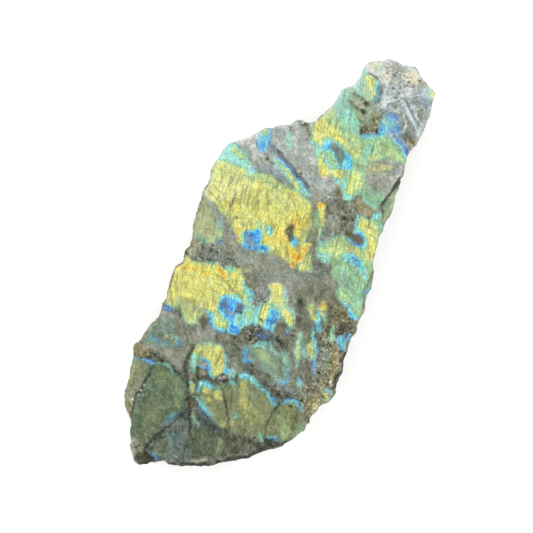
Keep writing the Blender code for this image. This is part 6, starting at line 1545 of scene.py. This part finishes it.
@dataclass(frozen=True)
class Web:
    """The nodes of one material."""

    tree: bpy.types.NodeTree

    def node(self, kind: str, settings: Optional[dict[str, Any]] = None,
             values: Optional[dict[Union[str, int], Input]] = None) -> bpy.types.Node:
        """Adds a node.

        Args:
            kind: The node's type.
            settings: Its settings, set first; "stops" holds a ramp's places and colours.
            values: What each of its sockets is set or linked to.

        Returns:
            The node.
        """
        node = self.tree.nodes.new(kind)
        for name, setting in (settings or {}).items():
            if name == "stops":
                self.set_stops(node.color_ramp, setting)
            else:
                setattr(node, name, setting)
        for name, value in (values or {}).items():
            if isinstance(value, Strand):
                value = value.socket
            if isinstance(value, bpy.types.NodeSocket):
                self.tree.links.new(value, node.inputs[name])
            else:
                node.inputs[name].default_value = value
        return node

    def set_stops(self, ramp: bpy.types.ColorRamp, stops: Sequence[tuple[float, Colour]]) -> None:
        """Gives a ramp its stops.

        Args:
            ramp: The ramp, which starts with two.
            stops: Their places and colours in order.
        """
        for _ in stops[2:]:
            ramp.elements.new(0.5)
        for element, (place, colour) in zip(ramp.elements, stops):
            element.position = place
            element.color = colour

    def value(self, kind: str, settings: Optional[dict[str, Any]] = None,
              values: Optional[dict[Union[str, int], Input]] = None, output: Union[str, int] = 0) -> Strand:
        """Adds a node and takes one of its outputs.

        Args:
            kind: The node's type.
            settings: Its settings.
            values: Its sockets' values or links.
            output: Which output.

        Returns:
            That output.
        """
        return Strand(self, self.node(kind, settings, values).outputs[output])

    def painted(self, name: str) -> Strand:
        """A value that was written on the mesh, by name."""
        return self.value("ShaderNodeAttribute", {"attribute_name": name}, output="Fac")

    def noise(self, place: Strand, size: float, detail: float = 2.0, output: str = "Fac") -> Strand:
        """A smooth random field.

        Args:
            place: Where it is read, in millimetres.
            size: How wide its lumps are.
            detail: How many finer layers it has.
            output: Fac, or Color for three fields at once.

        Returns:
            The field, which lies around 0.5.
        """
        values = {"Vector": place, "Scale": 1.0 / size, "Detail": detail}
        return self.value("ShaderNodeTexNoise", None, values, output)

    def swing(self, place: Strand, size: float, amount: Input, detail: float = 2.0) -> Strand:
        """A smooth random field that swings about 0.

        Args:
            place: Where it is read, in millimetres.
            size: How wide its lumps are.
            amount: How strong it is.
            detail: How many finer layers it has.

        Returns:
            The field.
        """
        return (self.noise(place, size, detail) - 0.5) * amount

    def cells(self, place: Strand, size: float) -> Strand:
        """A pattern of random cells.

        Args:
            place: Where it is read, in millimetres.
            size: How wide the cells are.

        Returns:
            The distance to the middle of the nearest cell, in cell widths.
        """
        values = {"Vector": place, "Scale": 1.0 / size}
        return self.value("ShaderNodeTexVoronoi", {"feature": "F1"}, values, "Distance")

    def bent(self, place: Strand, size: float, amount: float) -> Strand:
        """A place pushed about by a random field, so that what is read there bends.

        Args:
            place: The place in millimetres.
            size: How long the bends are.
            amount: How far it is pushed.

        Returns:
            The place after the push.
        """
        push = self.vector("SUBTRACT", self.noise(place, size, 2.0, "Color"), (0.5, 0.5, 0.5))
        return self.vector("ADD", place, self.scaled(push, amount))

    def vein(self, place: Strand, size: float, width: float) -> Strand:
        """Thin wandering lines.

        Args:
            place: Where they are read, in millimetres.
            size: About how far apart they are.
            width: How wide they are, as a share of the field they follow.

        Returns:
            The lines, 1 along their middles.
        """
        return 1.0 - self.noise(place, size, 1.5).maths("SUBTRACT", 0.5).maths("ABSOLUTE").step(0.0, width)

    def turned(self, place: Strand, degrees: float, grain: tuple[float, float, float]) -> Strand:
        """A place turned and drawn out, for a pattern with a direction.

        Args:
            place: The place in millimetres.
            degrees: How far the pattern is turned about the height.
            grain: How wide, long and high one lump of it is.

        Returns:
            The place, on which a lump is 1 wide.
        """
        values = {"Vector": place, "Rotation": (0.0, 0.0, math.radians(degrees)), "Scale": grain}
        return self.value("ShaderNodeMapping", {"vector_type": "TEXTURE"}, values)

    def vector(self, operation: str, *values: Input) -> Strand:
        """Adds a Vector Math node.

        Args:
            operation: Its operation.
            values: Its vectors.

        Returns:
            The result.
        """
        return self.value("ShaderNodeVectorMath", {"operation": operation}, dict(enumerate(values)))

    def scaled(self, vector: Strand, by: Input) -> Strand:
        """A vector or colour times a number."""
        return self.value("ShaderNodeVectorMath", {"operation": "SCALE"}, {0: vector, "Scale": by})

    def mixed(self, under: Input, over: Input, share: Input) -> Strand:
        """One colour laid over another.

        Args:
            under: The colour below.
            over: The colour above.
            share: How much of the one above shows.

        Returns:
            The mixture.
        """
        return self.value("ShaderNodeMix", {"data_type": "RGBA"}, {0: share, 6: under, 7: over}, 2)


@dataclass(frozen=True)
class Labradorite:
    """The finish of the stone: a ramp of flash hues over a ramp of greys, with cracks, grains and saw marks.

    Attributes:
        flash_stops: The hues of the flash.
        stone_stops: The greys of the stone, dark to light.
        crack_colour: The colour of the fine cracks.
        crazing: How dark the short cracks that run every way are.
        twins: How dark the ones along the feldspar's twins are.
        ripples: How dark the ones across them are.
        shades: How dark the broad soft ones are.
        stone_cracks: How much of a crack shows in the grey stone.
        flash_cracks: How much more of it shows in the flash.
        crack_veil: How much of the flash a crack takes away.
        flash_share: How much of the stone a full flash hides.
        pale_colour: The colour of healed cracks and of the painted glints.
        glints: How bright the painted glints are.
        pale_lost: How much of them is lost on broken stone.
        tint: How much red, green and blue the stone gains where it is warm.
        lean: How far the feldspar's twins lean, in degrees.
        ripple_lean: How far the ripples across them lean.
        polish: The roughness of the polish.
        broken_roughness: The roughness of the broken stone.
        unevenness: How much the roughness varies.
        gloss: What the polish adds by reflection, taken off the colour.
        darkest: The least that is left of a colour.
        ior: The stone's index of refraction.
    """

    flash_stops: tuple[tuple[float, Colour], ...] = (
        (0.00, srgb(78, 88, 112)),
        (0.11, srgb(72, 108, 168)),
        (0.21, srgb(74, 164, 250)),
        (0.32, srgb(104, 214, 242)),
        (0.42, srgb(168, 240, 222)),
        (0.50, srgb(146, 216, 186)),
        (0.60, srgb(176, 220, 158)),
        (0.70, srgb(216, 232, 150)),
        (0.80, srgb(244, 240, 126)),
        (0.90, srgb(246, 206, 76)),
        (1.00, srgb(236, 158, 50)),
    )
    stone_stops: tuple[tuple[float, Colour], ...] = (
        (0.00, srgb(26, 24, 18)),
        (0.25, srgb(80, 83, 68)),
        (0.50, srgb(130, 134, 116)),
        (0.75, srgb(174, 179, 168)),
        (1.00, srgb(234, 236, 230)),
    )
    crack_colour: Colour = srgb(66, 76, 46)
    crazing: float = 0.56
    twins: float = 0.85
    ripples: float = 0.66
    shades: float = 0.32
    stone_cracks: float = 0.24
    flash_cracks: float = 0.32
    crack_veil: float = 0.25
    flash_share: float = 0.98
    pale_colour: Colour = srgb(242, 246, 226)
    glints: float = 0.36
    pale_lost: float = 0.6
    tint: tuple[float, float, float] = (0.32, 0.05, -0.46)
    lean: float = 20.0
    ripple_lean: float = -78.0
    polish: float = 0.22
    broken_roughness: float = 0.62
    unevenness: float = 0.08
    gloss: float = 0.012
    darkest: float = 0.002
    ior: float = 1.56

    def material(self) -> bpy.types.Material:
        """Makes the material.

        Returns:
            The material, read from the stone's own attributes and coordinates.
        """
        made = bpy.data.materials.new("labradorite")
        made.use_nodes = True
        made.node_tree.nodes.clear()
        web = Web(made.node_tree)
        place = web.scaled(web.value("ShaderNodeTexCoord", output="Object"), 1.0 / MM)
        wandering = web.bent(place, 3.4, 2.4)
        broken, sawn, glow = web.painted("broken"), web.painted("sawn"), web.painted("glow")
        cracks = self.cracks(web, place, wandering)
        stone, flash = self.stone(web, place, wandering), self.flash(web, place, wandering)
        pale = self.pale(web, place, wandering, glow)
        colour = web.mixed(stone, flash, glow * (1.0 - cracks * self.crack_veil) * self.flash_share)
        colour = web.mixed(colour, self.crack_colour, cracks * (self.stone_cracks + glow * self.flash_cracks))
        # Healed cracks, and glints painted in as small highlights in the flash.
        colour = web.mixed(colour, self.pale_colour, pale * (1.0 - broken * self.pale_lost))
        colour = web.vector("SUBTRACT", colour, (self.gloss,) * 3)
        roughness = self.polish + broken * (self.broken_roughness - self.polish)
        shader = web.node("ShaderNodeBsdfPrincipled", None, {
            "Base Color": web.vector("MAXIMUM", colour, (self.darkest,) * 3),
            "Roughness": roughness + web.noise(place, 0.8) * self.unevenness,
            "Normal": self.relief(web, place, wandering, broken, sawn),
            "IOR": self.ior,
        })
        web.node("ShaderNodeOutputMaterial", None, {"Surface": shader.outputs[0]})
        return made

    def pale(self, web: Web, place: Strand, wandering: Strand, glow: Strand) -> Strand:
        """The painted glints of light in the flash and the healed cracks in the grey stone.

        Args:
            web: The material's nodes.
            place: Where, in millimetres.
            wandering: The same, bent a little.
            glow: How much the stone flashes, 0 to 1.

        Returns:
            How pale they are, 0 to 1.
        """
        elsewhere = web.vector("ADD", wandering, (31.0, 17.0, 5.0))
        healed = web.vein(elsewhere, 1.9, 0.035) * web.noise(place, 2.4).step(0.46, 0.6)
        # Painted highlights: small pale glints in the flash.
        elsewhere = web.vector("ADD", wandering, (11.0, 47.0, 3.0))
        glints = web.noise(web.turned(elsewhere, self.lean, (0.5, 1.6, 1.0)), 1.0, 1.0).step(0.58, 0.72)
        lines = healed * (0.10 + web.painted("shade").step(0.5, 1.0) * 0.34)
        return (glints * glow * self.glints).most(lines)

    def cracks(self, web: Web, place: Strand, wandering: Strand) -> Strand:
        """The fine dark cracks that cross every flash.

        Args:
            web: The material's nodes.
            place: Where, in millimetres.
            wandering: The same, bent a little.

        Returns:
            How dark the cracks are, 0 to 1.
        """
        crazed = web.vein(wandering, 1.7, 0.06) * web.noise(place, 2.2).step(0.42, 0.58)
        bent = web.bent(place, 11.0, 3.4)
        twins = web.vein(web.turned(bent, self.lean, (1.6, 14.0, 8.0)), 1.0, 0.075)
        patches = web.noise(web.turned(place, self.lean, (2.4, 8.0, 6.0)), 1.0, 1.0)
        twins = twins * patches.step(0.42, 0.60) * self.twins
        ripples = web.vein(web.turned(bent, self.ripple_lean, (1.5, 13.0, 8.0)), 1.0, 0.07)
        patches = web.noise(web.turned(place, self.ripple_lean, (3.0, 8.0, 6.0)), 1.0, 1.0)
        ripples = ripples * patches.step(0.48, 0.64) * self.ripples
        shades = web.noise(web.turned(bent, self.lean, (0.8, 9.0, 8.0)), 1.0, 1.0).step(0.52, 0.72)
        return (crazed * self.crazing).most(twins).most(ripples).most(shades * self.shades)

    def stone(self, web: Web, place: Strand, wandering: Strand) -> Strand:
        """The stone's own colour where it doesn't flash.

        Args:
            web: The material's nodes.
            place: Where, in millimetres.
            wandering: The same, bent a little.

        Returns:
            The colour.
        """
        grit = web.painted("grit")
        drawn = web.turned(web.bent(place, 6.0, 5.0), 52.0, (1.0, 4.2, 3.0))
        mottle = web.swing(wandering, 2.8, 0.5, 3.0) + web.swing(drawn, 1.0, 0.45, 3.0)
        grains = web.swing(wandering, 0.8, 0.36 + grit * 0.6)
        pale = web.noise(wandering, 0.8, 1.0).step(0.60, 0.74) * grit * 0.3
        specks = (1.0 - web.cells(wandering, 1.9).step(0.14, 0.30)) * web.noise(place, 2.2).step(0.46, 0.58)
        shade = web.painted("shade") + mottle + grains + pale - specks * (0.03 + grit * 0.6)
        grey = web.value("ShaderNodeValToRGB", {"stops": self.stone_stops}, {"Fac": shade}, "Color")
        warmth = web.painted("warmth") + web.swing(wandering, 4.6, 0.7, 3.0)
        warm = web.value("ShaderNodeCombineXYZ", None, {0: warmth, 1: warmth, 2: warmth})
        return web.vector("MULTIPLY", grey, web.vector("MULTIPLY_ADD", warm, self.tint, (1.0, 1.0, 1.0)))

    def flash(self, web: Web, place: Strand, wandering: Strand) -> Strand:
        """The flash of the feldspar's thin layers.

        Args:
            web: The material's nodes.
            place: Where, in millimetres.
            wandering: The same, bent a little.

        Returns:
            The colour.
        """
        along = web.turned(wandering, self.lean, (1.3, 7.0, 5.0))
        order = web.painted("hue")
        drift = web.swing(along, 1.0, 0.15) + web.swing(wandering, 1.3, 0.15)
        hue = order + drift * (1.0 + (1.0 - order.step(0.35, 0.62)) * 0.9)
        bright = web.value("ShaderNodeValToRGB", {"stops": self.flash_stops}, {"Fac": hue}, "Color")
        grain = web.swing(along, 0.5, 0.9) + web.swing(wandering, 0.9, 1.0, 1.0) + web.swing(place, 6.0, 0.5)
        return web.scaled(bright, 1.0 + grain)

    def relief(self, web: Web, place: Strand, wandering: Strand, broken: Strand, sawn: Strand) -> Strand:
        """The fine relief: steps on broken stone, saw marks on the back, hardly anything on the polish.

        Args:
            web: The material's nodes.
            place: Where, in millimetres.
            wandering: The same, bent a little.
            broken: How rough the stone is, 0 to 1.
            sawn: How much it shows the saw, 0 to 1.

        Returns:
            The normal.
        """
        steps = web.cells(wandering, 1.6) * 0.5 + web.noise(place, 0.5, 3.0) * 0.5
        saw = web.noise(web.turned(place, 8.0, (0.5, 60.0, 5.0)), 1.0, 1.0)
        height = steps * broken * 0.5 + saw * sawn * 0.10 + web.noise(place, 1.1, 2.0) * 0.02
        values = {"Strength": 0.6, "Distance": MM, "Height": height}
        return web.value("ShaderNodeBump", None, values, "Normal")


@dataclass
class Slab:
    """The slab of stone: its polished face, broken flanks and sawn back, made over its solid.

    A slope is how much a face looks up, or down at the back: 1 where it lies flat, 0 where it is upright.

    Attributes:
        merge: How near to one another points are joined.
        voxel: How wide the even faces are before those of the polished side are halved.
        fine_slope: The least slope of a face that is halved.
        fine_height: The least height of a face that is halved.
        ground_shade: How light the stone is where no mark lies.
        ground_warmth: How warm it is there.
        flank_shade: How light the flanks are.
        flank_contrast: How much of the marks' shade comes through on the flanks.
        flank_height: The heights between which it comes through.
        flank_grit: How much grit the flanks show.
        rust: The least and most warmth of the flanks.
        back_shade: How light the back is.
        flat_slope: The slopes between which broken stone turns to polish.
        flat_height: The heights between which it does.
        sawn_slope: The slopes between which broken stone turns to the sawn back.
        sawn_height: The heights between which the sawn back ends.
        seen_slope: The slopes between which the marks appear.
        seen_height: The heights between which they do.
        edge_glow: How much of the flash is left where the polish ends.
        pit_roughness: How rough a pit gets for each millimetre of its depth.
        patch_fade: The values of a random field between which the rims of the flashes fade.
        foot: The heights between which the broken stone starts to stand out.
        terrace_levels: How many terraces the broken stone has for each step of its random field.
        terrace_depth: How deep they are.
        terrace_stretch: How much closer they lie along x, y and z.
        outward: How far the broken stone stands out besides.
        spine: Half the length of the line that the way round the slab is measured from.
        tip_radius: How far its two bends lie from the ends of that line.
        map_slope: The least slope of a face that is mapped with the polished side or the back.
        top_above: The height above which a face can belong to the polished side.
        back_below: The height below which it can belong to the back.
        map_scale: How wide a millimetre of the polished side is in the map.
        back_scale: How wide one of the back is, as a share of that.
        flank_scale: How wide one of the flanks is, as a share of that.
        top_corner: Where the polished side starts in the map.
        back_corner: Where the back starts, which runs leftwards.
        flank_corner: Where the flanks start.
        flank_rise: How far their strips lie apart.
    """

    merge: float = 0.002
    voxel: float = 0.85
    fine_slope: float = 0.7
    fine_height: float = 15.0
    ground_shade: float = 0.5
    ground_warmth: float = -0.02
    flank_shade: float = 0.52
    flank_contrast: float = 0.55
    flank_height: Range = (3.0, 14.0)
    flank_grit: float = 0.6
    rust: Range = (-0.2, 0.9)
    back_shade: float = 0.5
    flat_slope: Range = (0.55, 0.93)
    flat_height: Range = (16.4, 17.5)
    sawn_slope: Range = (0.8, 0.98)
    sawn_height: Range = (0.3, 0.8)
    seen_slope: Range = (0.05, 0.45)
    seen_height: Range = (6.0, 11.0)
    edge_glow: float = 0.55
    pit_roughness: float = 1.4
    patch_fade: Range = (-0.05, 0.4)
    foot: Range = (0.0, 3.0)
    terrace_levels: float = 4.0
    terrace_depth: float = 0.9
    terrace_stretch: tuple[float, float, float] = (1.0, 1.0, 2.4)
    outward: float = 0.12
    spine: float = 50.0
    tip_radius: float = 38.0
    map_slope: float = 0.35
    top_above: float = 12.0
    back_below: float = 4.0
    map_scale: float = 1.0 / 184.0
    back_scale: float = 0.6
    flank_scale: float = 0.85
    top_corner: Point = (0.006, 0.010)
    back_corner: Point = (0.728, 0.012)
    flank_corner: Point = (0.475, 0.612)
    flank_rise: float = 0.097

    def solid(self) -> bpy.types.Mesh:
        """A closed copy of the solid's mesh.

        Returns:
            The mesh, its loose triangles joined.
        """
        form = bmesh.new()
        form.from_mesh(bpy.data.objects[NODE].data)
        bmesh.ops.remove_doubles(form, verts=form.verts[:], dist=self.merge * MM)
        mesh = bpy.data.meshes.new("slab form")
        form.to_mesh(mesh)
        form.free()
        return mesh

    def even(self, mesh: bpy.types.Mesh) -> bpy.types.Mesh:
        """The same form in small, even faces.

        Args:
            mesh: The closed copy.

        Returns:
            A new mesh.
        """
        carrier = bpy.data.objects.new("slab form", mesh)
        bpy.context.scene.collection.objects.link(carrier)
        remesh = carrier.modifiers.new("even faces", "REMESH")
        remesh.mode = "VOXEL"
        remesh.voxel_size = self.voxel * MM
        graph = bpy.context.evaluated_depsgraph_get()
        made = bpy.data.meshes.new_from_object(carrier.evaluated_get(graph))
        bpy.data.objects.remove(carrier)
        return made

    def refine_face(self, mesh: bpy.types.Mesh) -> None:
        """Halves the faces of the polished side, which carry its markings.

        Args:
            mesh: The mesh that is changed.
        """
        form = bmesh.new()
        form.from_mesh(mesh)
        form.normal_update()
        upper = [
            face for face in form.faces
            if face.normal.z > self.fine_slope and face.calc_center_median().z > self.fine_height * MM
        ]
        edges = {edge for face in upper for edge in face.edges}
        bmesh.ops.subdivide_edges(form, edges=list(edges), cuts=1, use_grid_fill=True)
        form.to_mesh(mesh)
        form.free()

    def plan(self, places: np.ndarray) -> FacePlan:
        """Lays every mark over the points, with edges that wander as in natural stone.

        Args:
            places: The points in millimetres.

        Returns:
            What each point shows.
        """
        level = np.column_stack([places[:, :2], np.zeros(len(places))])
        wander = np.column_stack([
            layered(level, Grain(3.0, field, 0.7), Grain(1.3, field + 2, 0.4), Grain(0.7, field + 30, 0.12))
            for field in (1, 2)
        ])
        patches = eased(Grain(4.6, 5).at(level), *self.patch_fade)
        plan = FacePlan.plain(places[:, :2] + wander, patches, self.ground_shade, self.ground_warmth)
        for mark in MARKS:
            plan.lay(mark)
        return plan

    def weather(self, places: np.ndarray, normals: np.ndarray, plan: FacePlan,
                broken: np.ndarray) -> np.ndarray:
        """Roughens the broken stone, moves the rim a little and presses the cracks and pits in.

        Args:
            places: The points in millimetres.
            normals: Which way they face.
            plan: What they show.
            broken: How rough each is.

        Returns:
            The new places.
        """
        steps = layered(places, Grain(4.5, 11, 0.55), Grain(1.7, 12, 0.34))
        terraces = Grain(5.5, 13, self.terrace_levels).at(places * np.array(self.terrace_stretch))
        terraces = np.round(terraces) / self.terrace_levels * self.terrace_depth
        push = (steps + terraces + self.outward) * broken * eased(places[:, 2], *self.foot)
        moved = places + normals * push[:, None]
        for swell in SWELLS:
            away = np.linalg.norm(places[:, :2] - np.array(swell.centre), axis=1)
            moved[:, :2] += (1.0 - eased(away, 0.0, swell.reach))[:, None] * np.array(swell.push)
        moved[:, 2] = np.maximum(moved[:, 2] - plan.sunk * (1.0 - broken), 0.0)
        return moved

    def round_the_edge(self, at: np.ndarray) -> np.ndarray:
        """How far round the slab a point lies, along a long ring inside it.

        Args:
            at: The points seen from above.

        Returns:
            The way from the lower end of the right side, anticlockwise.
        """
        level = np.clip(at[:, 1], -self.spine, self.spine)
        angle = np.arctan2(at[:, 1] - level, at[:, 0])
        side, bend = 2 * self.spine, math.pi * self.tip_radius
        left = (level < self.spine) & (level > -self.spine) & (at[:, 0] < 0)
        lower_bend = 2 * side + bend + self.tip_radius * (angle + math.pi)
        way = np.where(angle > 0, side + self.tip_radius * angle, lower_bend)
        way = np.where(left, side + bend + self.spine - level, way)
        return np.where(angle == 0, level + self.spine, way)

    def map_faces(self, mesh: bpy.types.Mesh, places: np.ndarray) -> None:
        """Lays the faces out flat: the polished side, the back, and the flanks in four strips.

        Args:
            mesh: The mesh that gets the map.
            places: Its points in millimetres.
        """
        corner_point = np.empty(len(mesh.loops), np.int32)
        mesh.loops.foreach_get("vertex_index", corner_point)
        counts = np.empty(len(mesh.polygons), np.int32)
        mesh.polygons.foreach_get("loop_total", counts)
        owner = np.repeat(np.arange(len(counts)), counts)
        centres = vectors(mesh.polygons, "center") / MM
        upward = vectors(mesh.polygons, "normal")[:, 2]
        above = (upward > self.map_slope) & (centres[:, 2] > self.top_above)
        below = (upward < -self.map_slope) & (centres[:, 2] < self.back_below)

        from_low = (places - places.min(axis=0))[corner_point] * self.map_scale
        map_top = np.array(self.top_corner) + from_low[:, :2]
        map_back = np.array(self.back_corner) + from_low[:, :2] * np.array((-1.0, 1.0)) * self.back_scale

        ring = 4 * self.spine + 2 * math.pi * self.tip_radius
        strip = ring / 4
        centre_way = self.round_the_edge(centres[:, :2])
        way = self.round_the_edge(places[corner_point, :2])
        way += ring * np.round((centre_way[owner] - way) / ring)
        number = np.clip(np.floor(centre_way / strip), 0, 3)[owner]
        map_flank = np.column_stack([(way - number * strip) * self.map_scale, from_low[:, 2]])
        map_flank = map_flank * self.flank_scale + np.array(self.flank_corner)
        map_flank[:, 1] += number * self.flank_rise
        chosen = np.where(above[owner, None], map_top, np.where(below[owner, None], map_back, map_flank))
        layer = mesh.uv_layers.new(name="OFBake")
        layer.uv.foreach_set("vector", chosen.astype(np.float32).ravel())

    def write(self, mesh: bpy.types.Mesh, values: dict[str, np.ndarray]) -> None:
        """Writes values on a mesh's points for its material.

        Args:
            mesh: The mesh.
            values: Each value's name and its numbers.
        """
        for name, numbers in values.items():
            written = mesh.attributes.new(name, "FLOAT", "POINT")
            written.data.foreach_set("value", numbers.astype(np.float32))

    def build(self, finish: Labradorite) -> bpy.types.Object:
        """Makes the stone and dresses it.

        Args:
            finish: The stone's finish.

        Returns:
            The piece.
        """
        mesh = self.even(self.solid())
        self.refine_face(mesh)
        places, normals = vectors(mesh.vertices, "co") / MM, vectors(mesh.vertex_normals, "vector")
        height, slope = places[:, 2], normals[:, 2]
        plan = self.plan(places)
        flat = eased(slope, *self.flat_slope) * eased(height, *self.flat_height)
        sawn = eased(-slope, *self.sawn_slope) * (1.0 - eased(height, *self.sawn_height))
        broken = (1.0 - flat) * (1.0 - sawn)
        seen = eased(slope, *self.seen_slope) * eased(height, *self.seen_height)
        through = self.flank_contrast * eased(height, *self.flank_height)
        flank = self.flank_shade + (plan.shade - self.ground_shade) * through
        lumps = layered(places, Grain(9.0, 21, 0.16), Grain(3.5, 22, 0.10))
        bare = np.where(sawn > 0.5, self.back_shade, flank) + lumps
        rust = np.clip(Grain(7.0, 23, 1.1).at(places), *self.rust)
        moved = self.weather(places, normals, plan, broken)
        mesh.vertices.foreach_set("co", (moved * MM).astype(np.float32).ravel())
        mesh.update()
        self.write(mesh, {
            "hue": plan.hue,
            "glow": plan.glow * seen * (self.edge_glow + (1.0 - self.edge_glow) * flat),
            "shade": bare + (plan.shade - bare) * seen,
            "warmth": rust + (plan.warmth - rust) * seen,
            "broken": np.clip(broken + plan.sunk * self.pit_roughness, 0.0, 1.0),
            "sawn": sawn,
            "grit": self.flank_grit + (plan.grit - self.flank_grit) * seen,
        })
        self.map_faces(mesh, moved)
        mesh.shade_smooth()
        mesh.materials.append(finish.material())
        piece = bpy.data.objects.new("polished_slab", mesh)
        bpy.context.scene.collection.objects.link(piece)
        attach(piece, BODY)
        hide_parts(NODE)
        return piece


@dataclass
class Studio:
    """The floor, the soft lights and the camera over the slab."""

    floor_side: float = 3000.0
    face_height: float = 18.0
    over: Point = (-4.51, -2.18)
    height: float = 1095.6
    lens: float = 200.0
    turn: float = 30.0
    sky: float = 0.87
    floor_light: float = 0.35
    card_side: float = 620.0
    card_height: float = 1400.0

    def sheet(self, name: str, side: float, shade: float, roughness: float, glow: float) -> bpy.types.Object:
        """Makes a plain level square.

        Args:
            name: Its name.
            side: How wide it is.
            shade: How light it is, 0 to 1.
            roughness: How rough it is, 0 to 1.
            glow: How much light it gives off.

        Returns:
            The square, at the origin.
        """
        form = bmesh.new()
        bmesh.ops.create_grid(form, x_segments=1, y_segments=1, size=side / 2 * MM)
        mesh = bpy.data.meshes.new(name)
        form.to_mesh(mesh)
        form.free()
        paint = bpy.data.materials.new(name)
        paint.use_nodes = True
        shader = paint.node_tree.nodes["Principled BSDF"]
        shader.inputs["Base Color"].default_value = (shade, shade, shade, 1.0)
        shader.inputs["Roughness"].default_value = roughness
        shader.inputs["Emission Color"].default_value = (1.0, 1.0, 1.0, 1.0)
        shader.inputs["Emission Strength"].default_value = glow
        mesh.materials.append(paint)
        sheet = bpy.data.objects.new(name, mesh)
        bpy.context.scene.collection.objects.link(sheet)
        return sheet

    def floor(self) -> bpy.types.Object:
        """Lays the plain pale floor.

        Returns:
            The floor.
        """
        floor = self.sheet("floor", self.floor_side, 0.9, 0.9, self.floor_light)
        return floor

    def card(self) -> bpy.types.Object:
        """Hangs a black card behind the camera, which keeps the sky's reflection off the polish.

        Returns:
            The card.
        """
        card = self.sheet("black_card", self.card_side, 0.01, 1.0, 0.0)
        card.location = (self.over[0] * MM, self.over[1] * MM, self.card_height * MM)
        return card

    def light(self, name: str, place: tuple[float, float, float], side: float, power: float) -> None:
        """Hangs a soft square light that looks at the slab.

        Args:
            name: The light's name.
            place: Where it hangs, in millimetres.
            side: How wide it is.
            power: Its power in watts.
        """
        lamp = bpy.data.lights.new(name, "AREA")
        lamp.shape = "SQUARE"
        lamp.size = side * MM
        lamp.energy = power
        held = bpy.data.objects.new(name, lamp)
        held.location = Vector(place) * MM
        held.rotation_euler = Vector(place).to_track_quat("Z", "Y").to_euler()
        bpy.context.scene.collection.objects.link(held)

    def camera(self) -> None:
        """Hangs the camera straight over the slab."""
        seen = bpy.data.cameras.new("camera")
        seen.lens = self.lens
        seen.sensor_width = 36.0
        held = bpy.data.objects.new("camera", seen)
        held.location = Vector((self.over[0], self.over[1], self.face_height + self.height)) * MM
        held.rotation_euler = (0.0, 0.0, math.radians(self.turn))
        bpy.context.scene.collection.objects.link(held)
        bpy.context.scene.camera = held

    def build(self) -> None:
        """Sets the scene up."""
        self.floor()
        self.card()
        world = bpy.data.worlds.new("soft sky")
        world.use_nodes = True
        sky = world.node_tree.nodes["Background"]
        sky.inputs["Color"].default_value = (1.0, 1.0, 1.0, 1.0)
        sky.inputs["Strength"].default_value = self.sky
        bpy.context.scene.world = world
        self.light("key light", (-620.0, 420.0, 700.0), 420.0, 2.4)
        self.light("fill light", (700.0, -300.0, 620.0), 520.0, 1.6)
        self.camera()
        bpy.context.scene.view_settings.view_transform = "Standard"


def main() -> None:
    """Builds the slab and its studio."""
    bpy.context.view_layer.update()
    slab = Slab().build(Labradorite())
    slab.data.calc_loop_triangles()
    count, finish = len(slab.data.loop_triangles), slab.data.materials[0].name
    log.info("%s: %d triangles, finish %s", slab.name, count, finish)
    Studio().build()
    log.info("studio: floor, key light, fill light and camera")


if __name__ == "__main__":
    main()
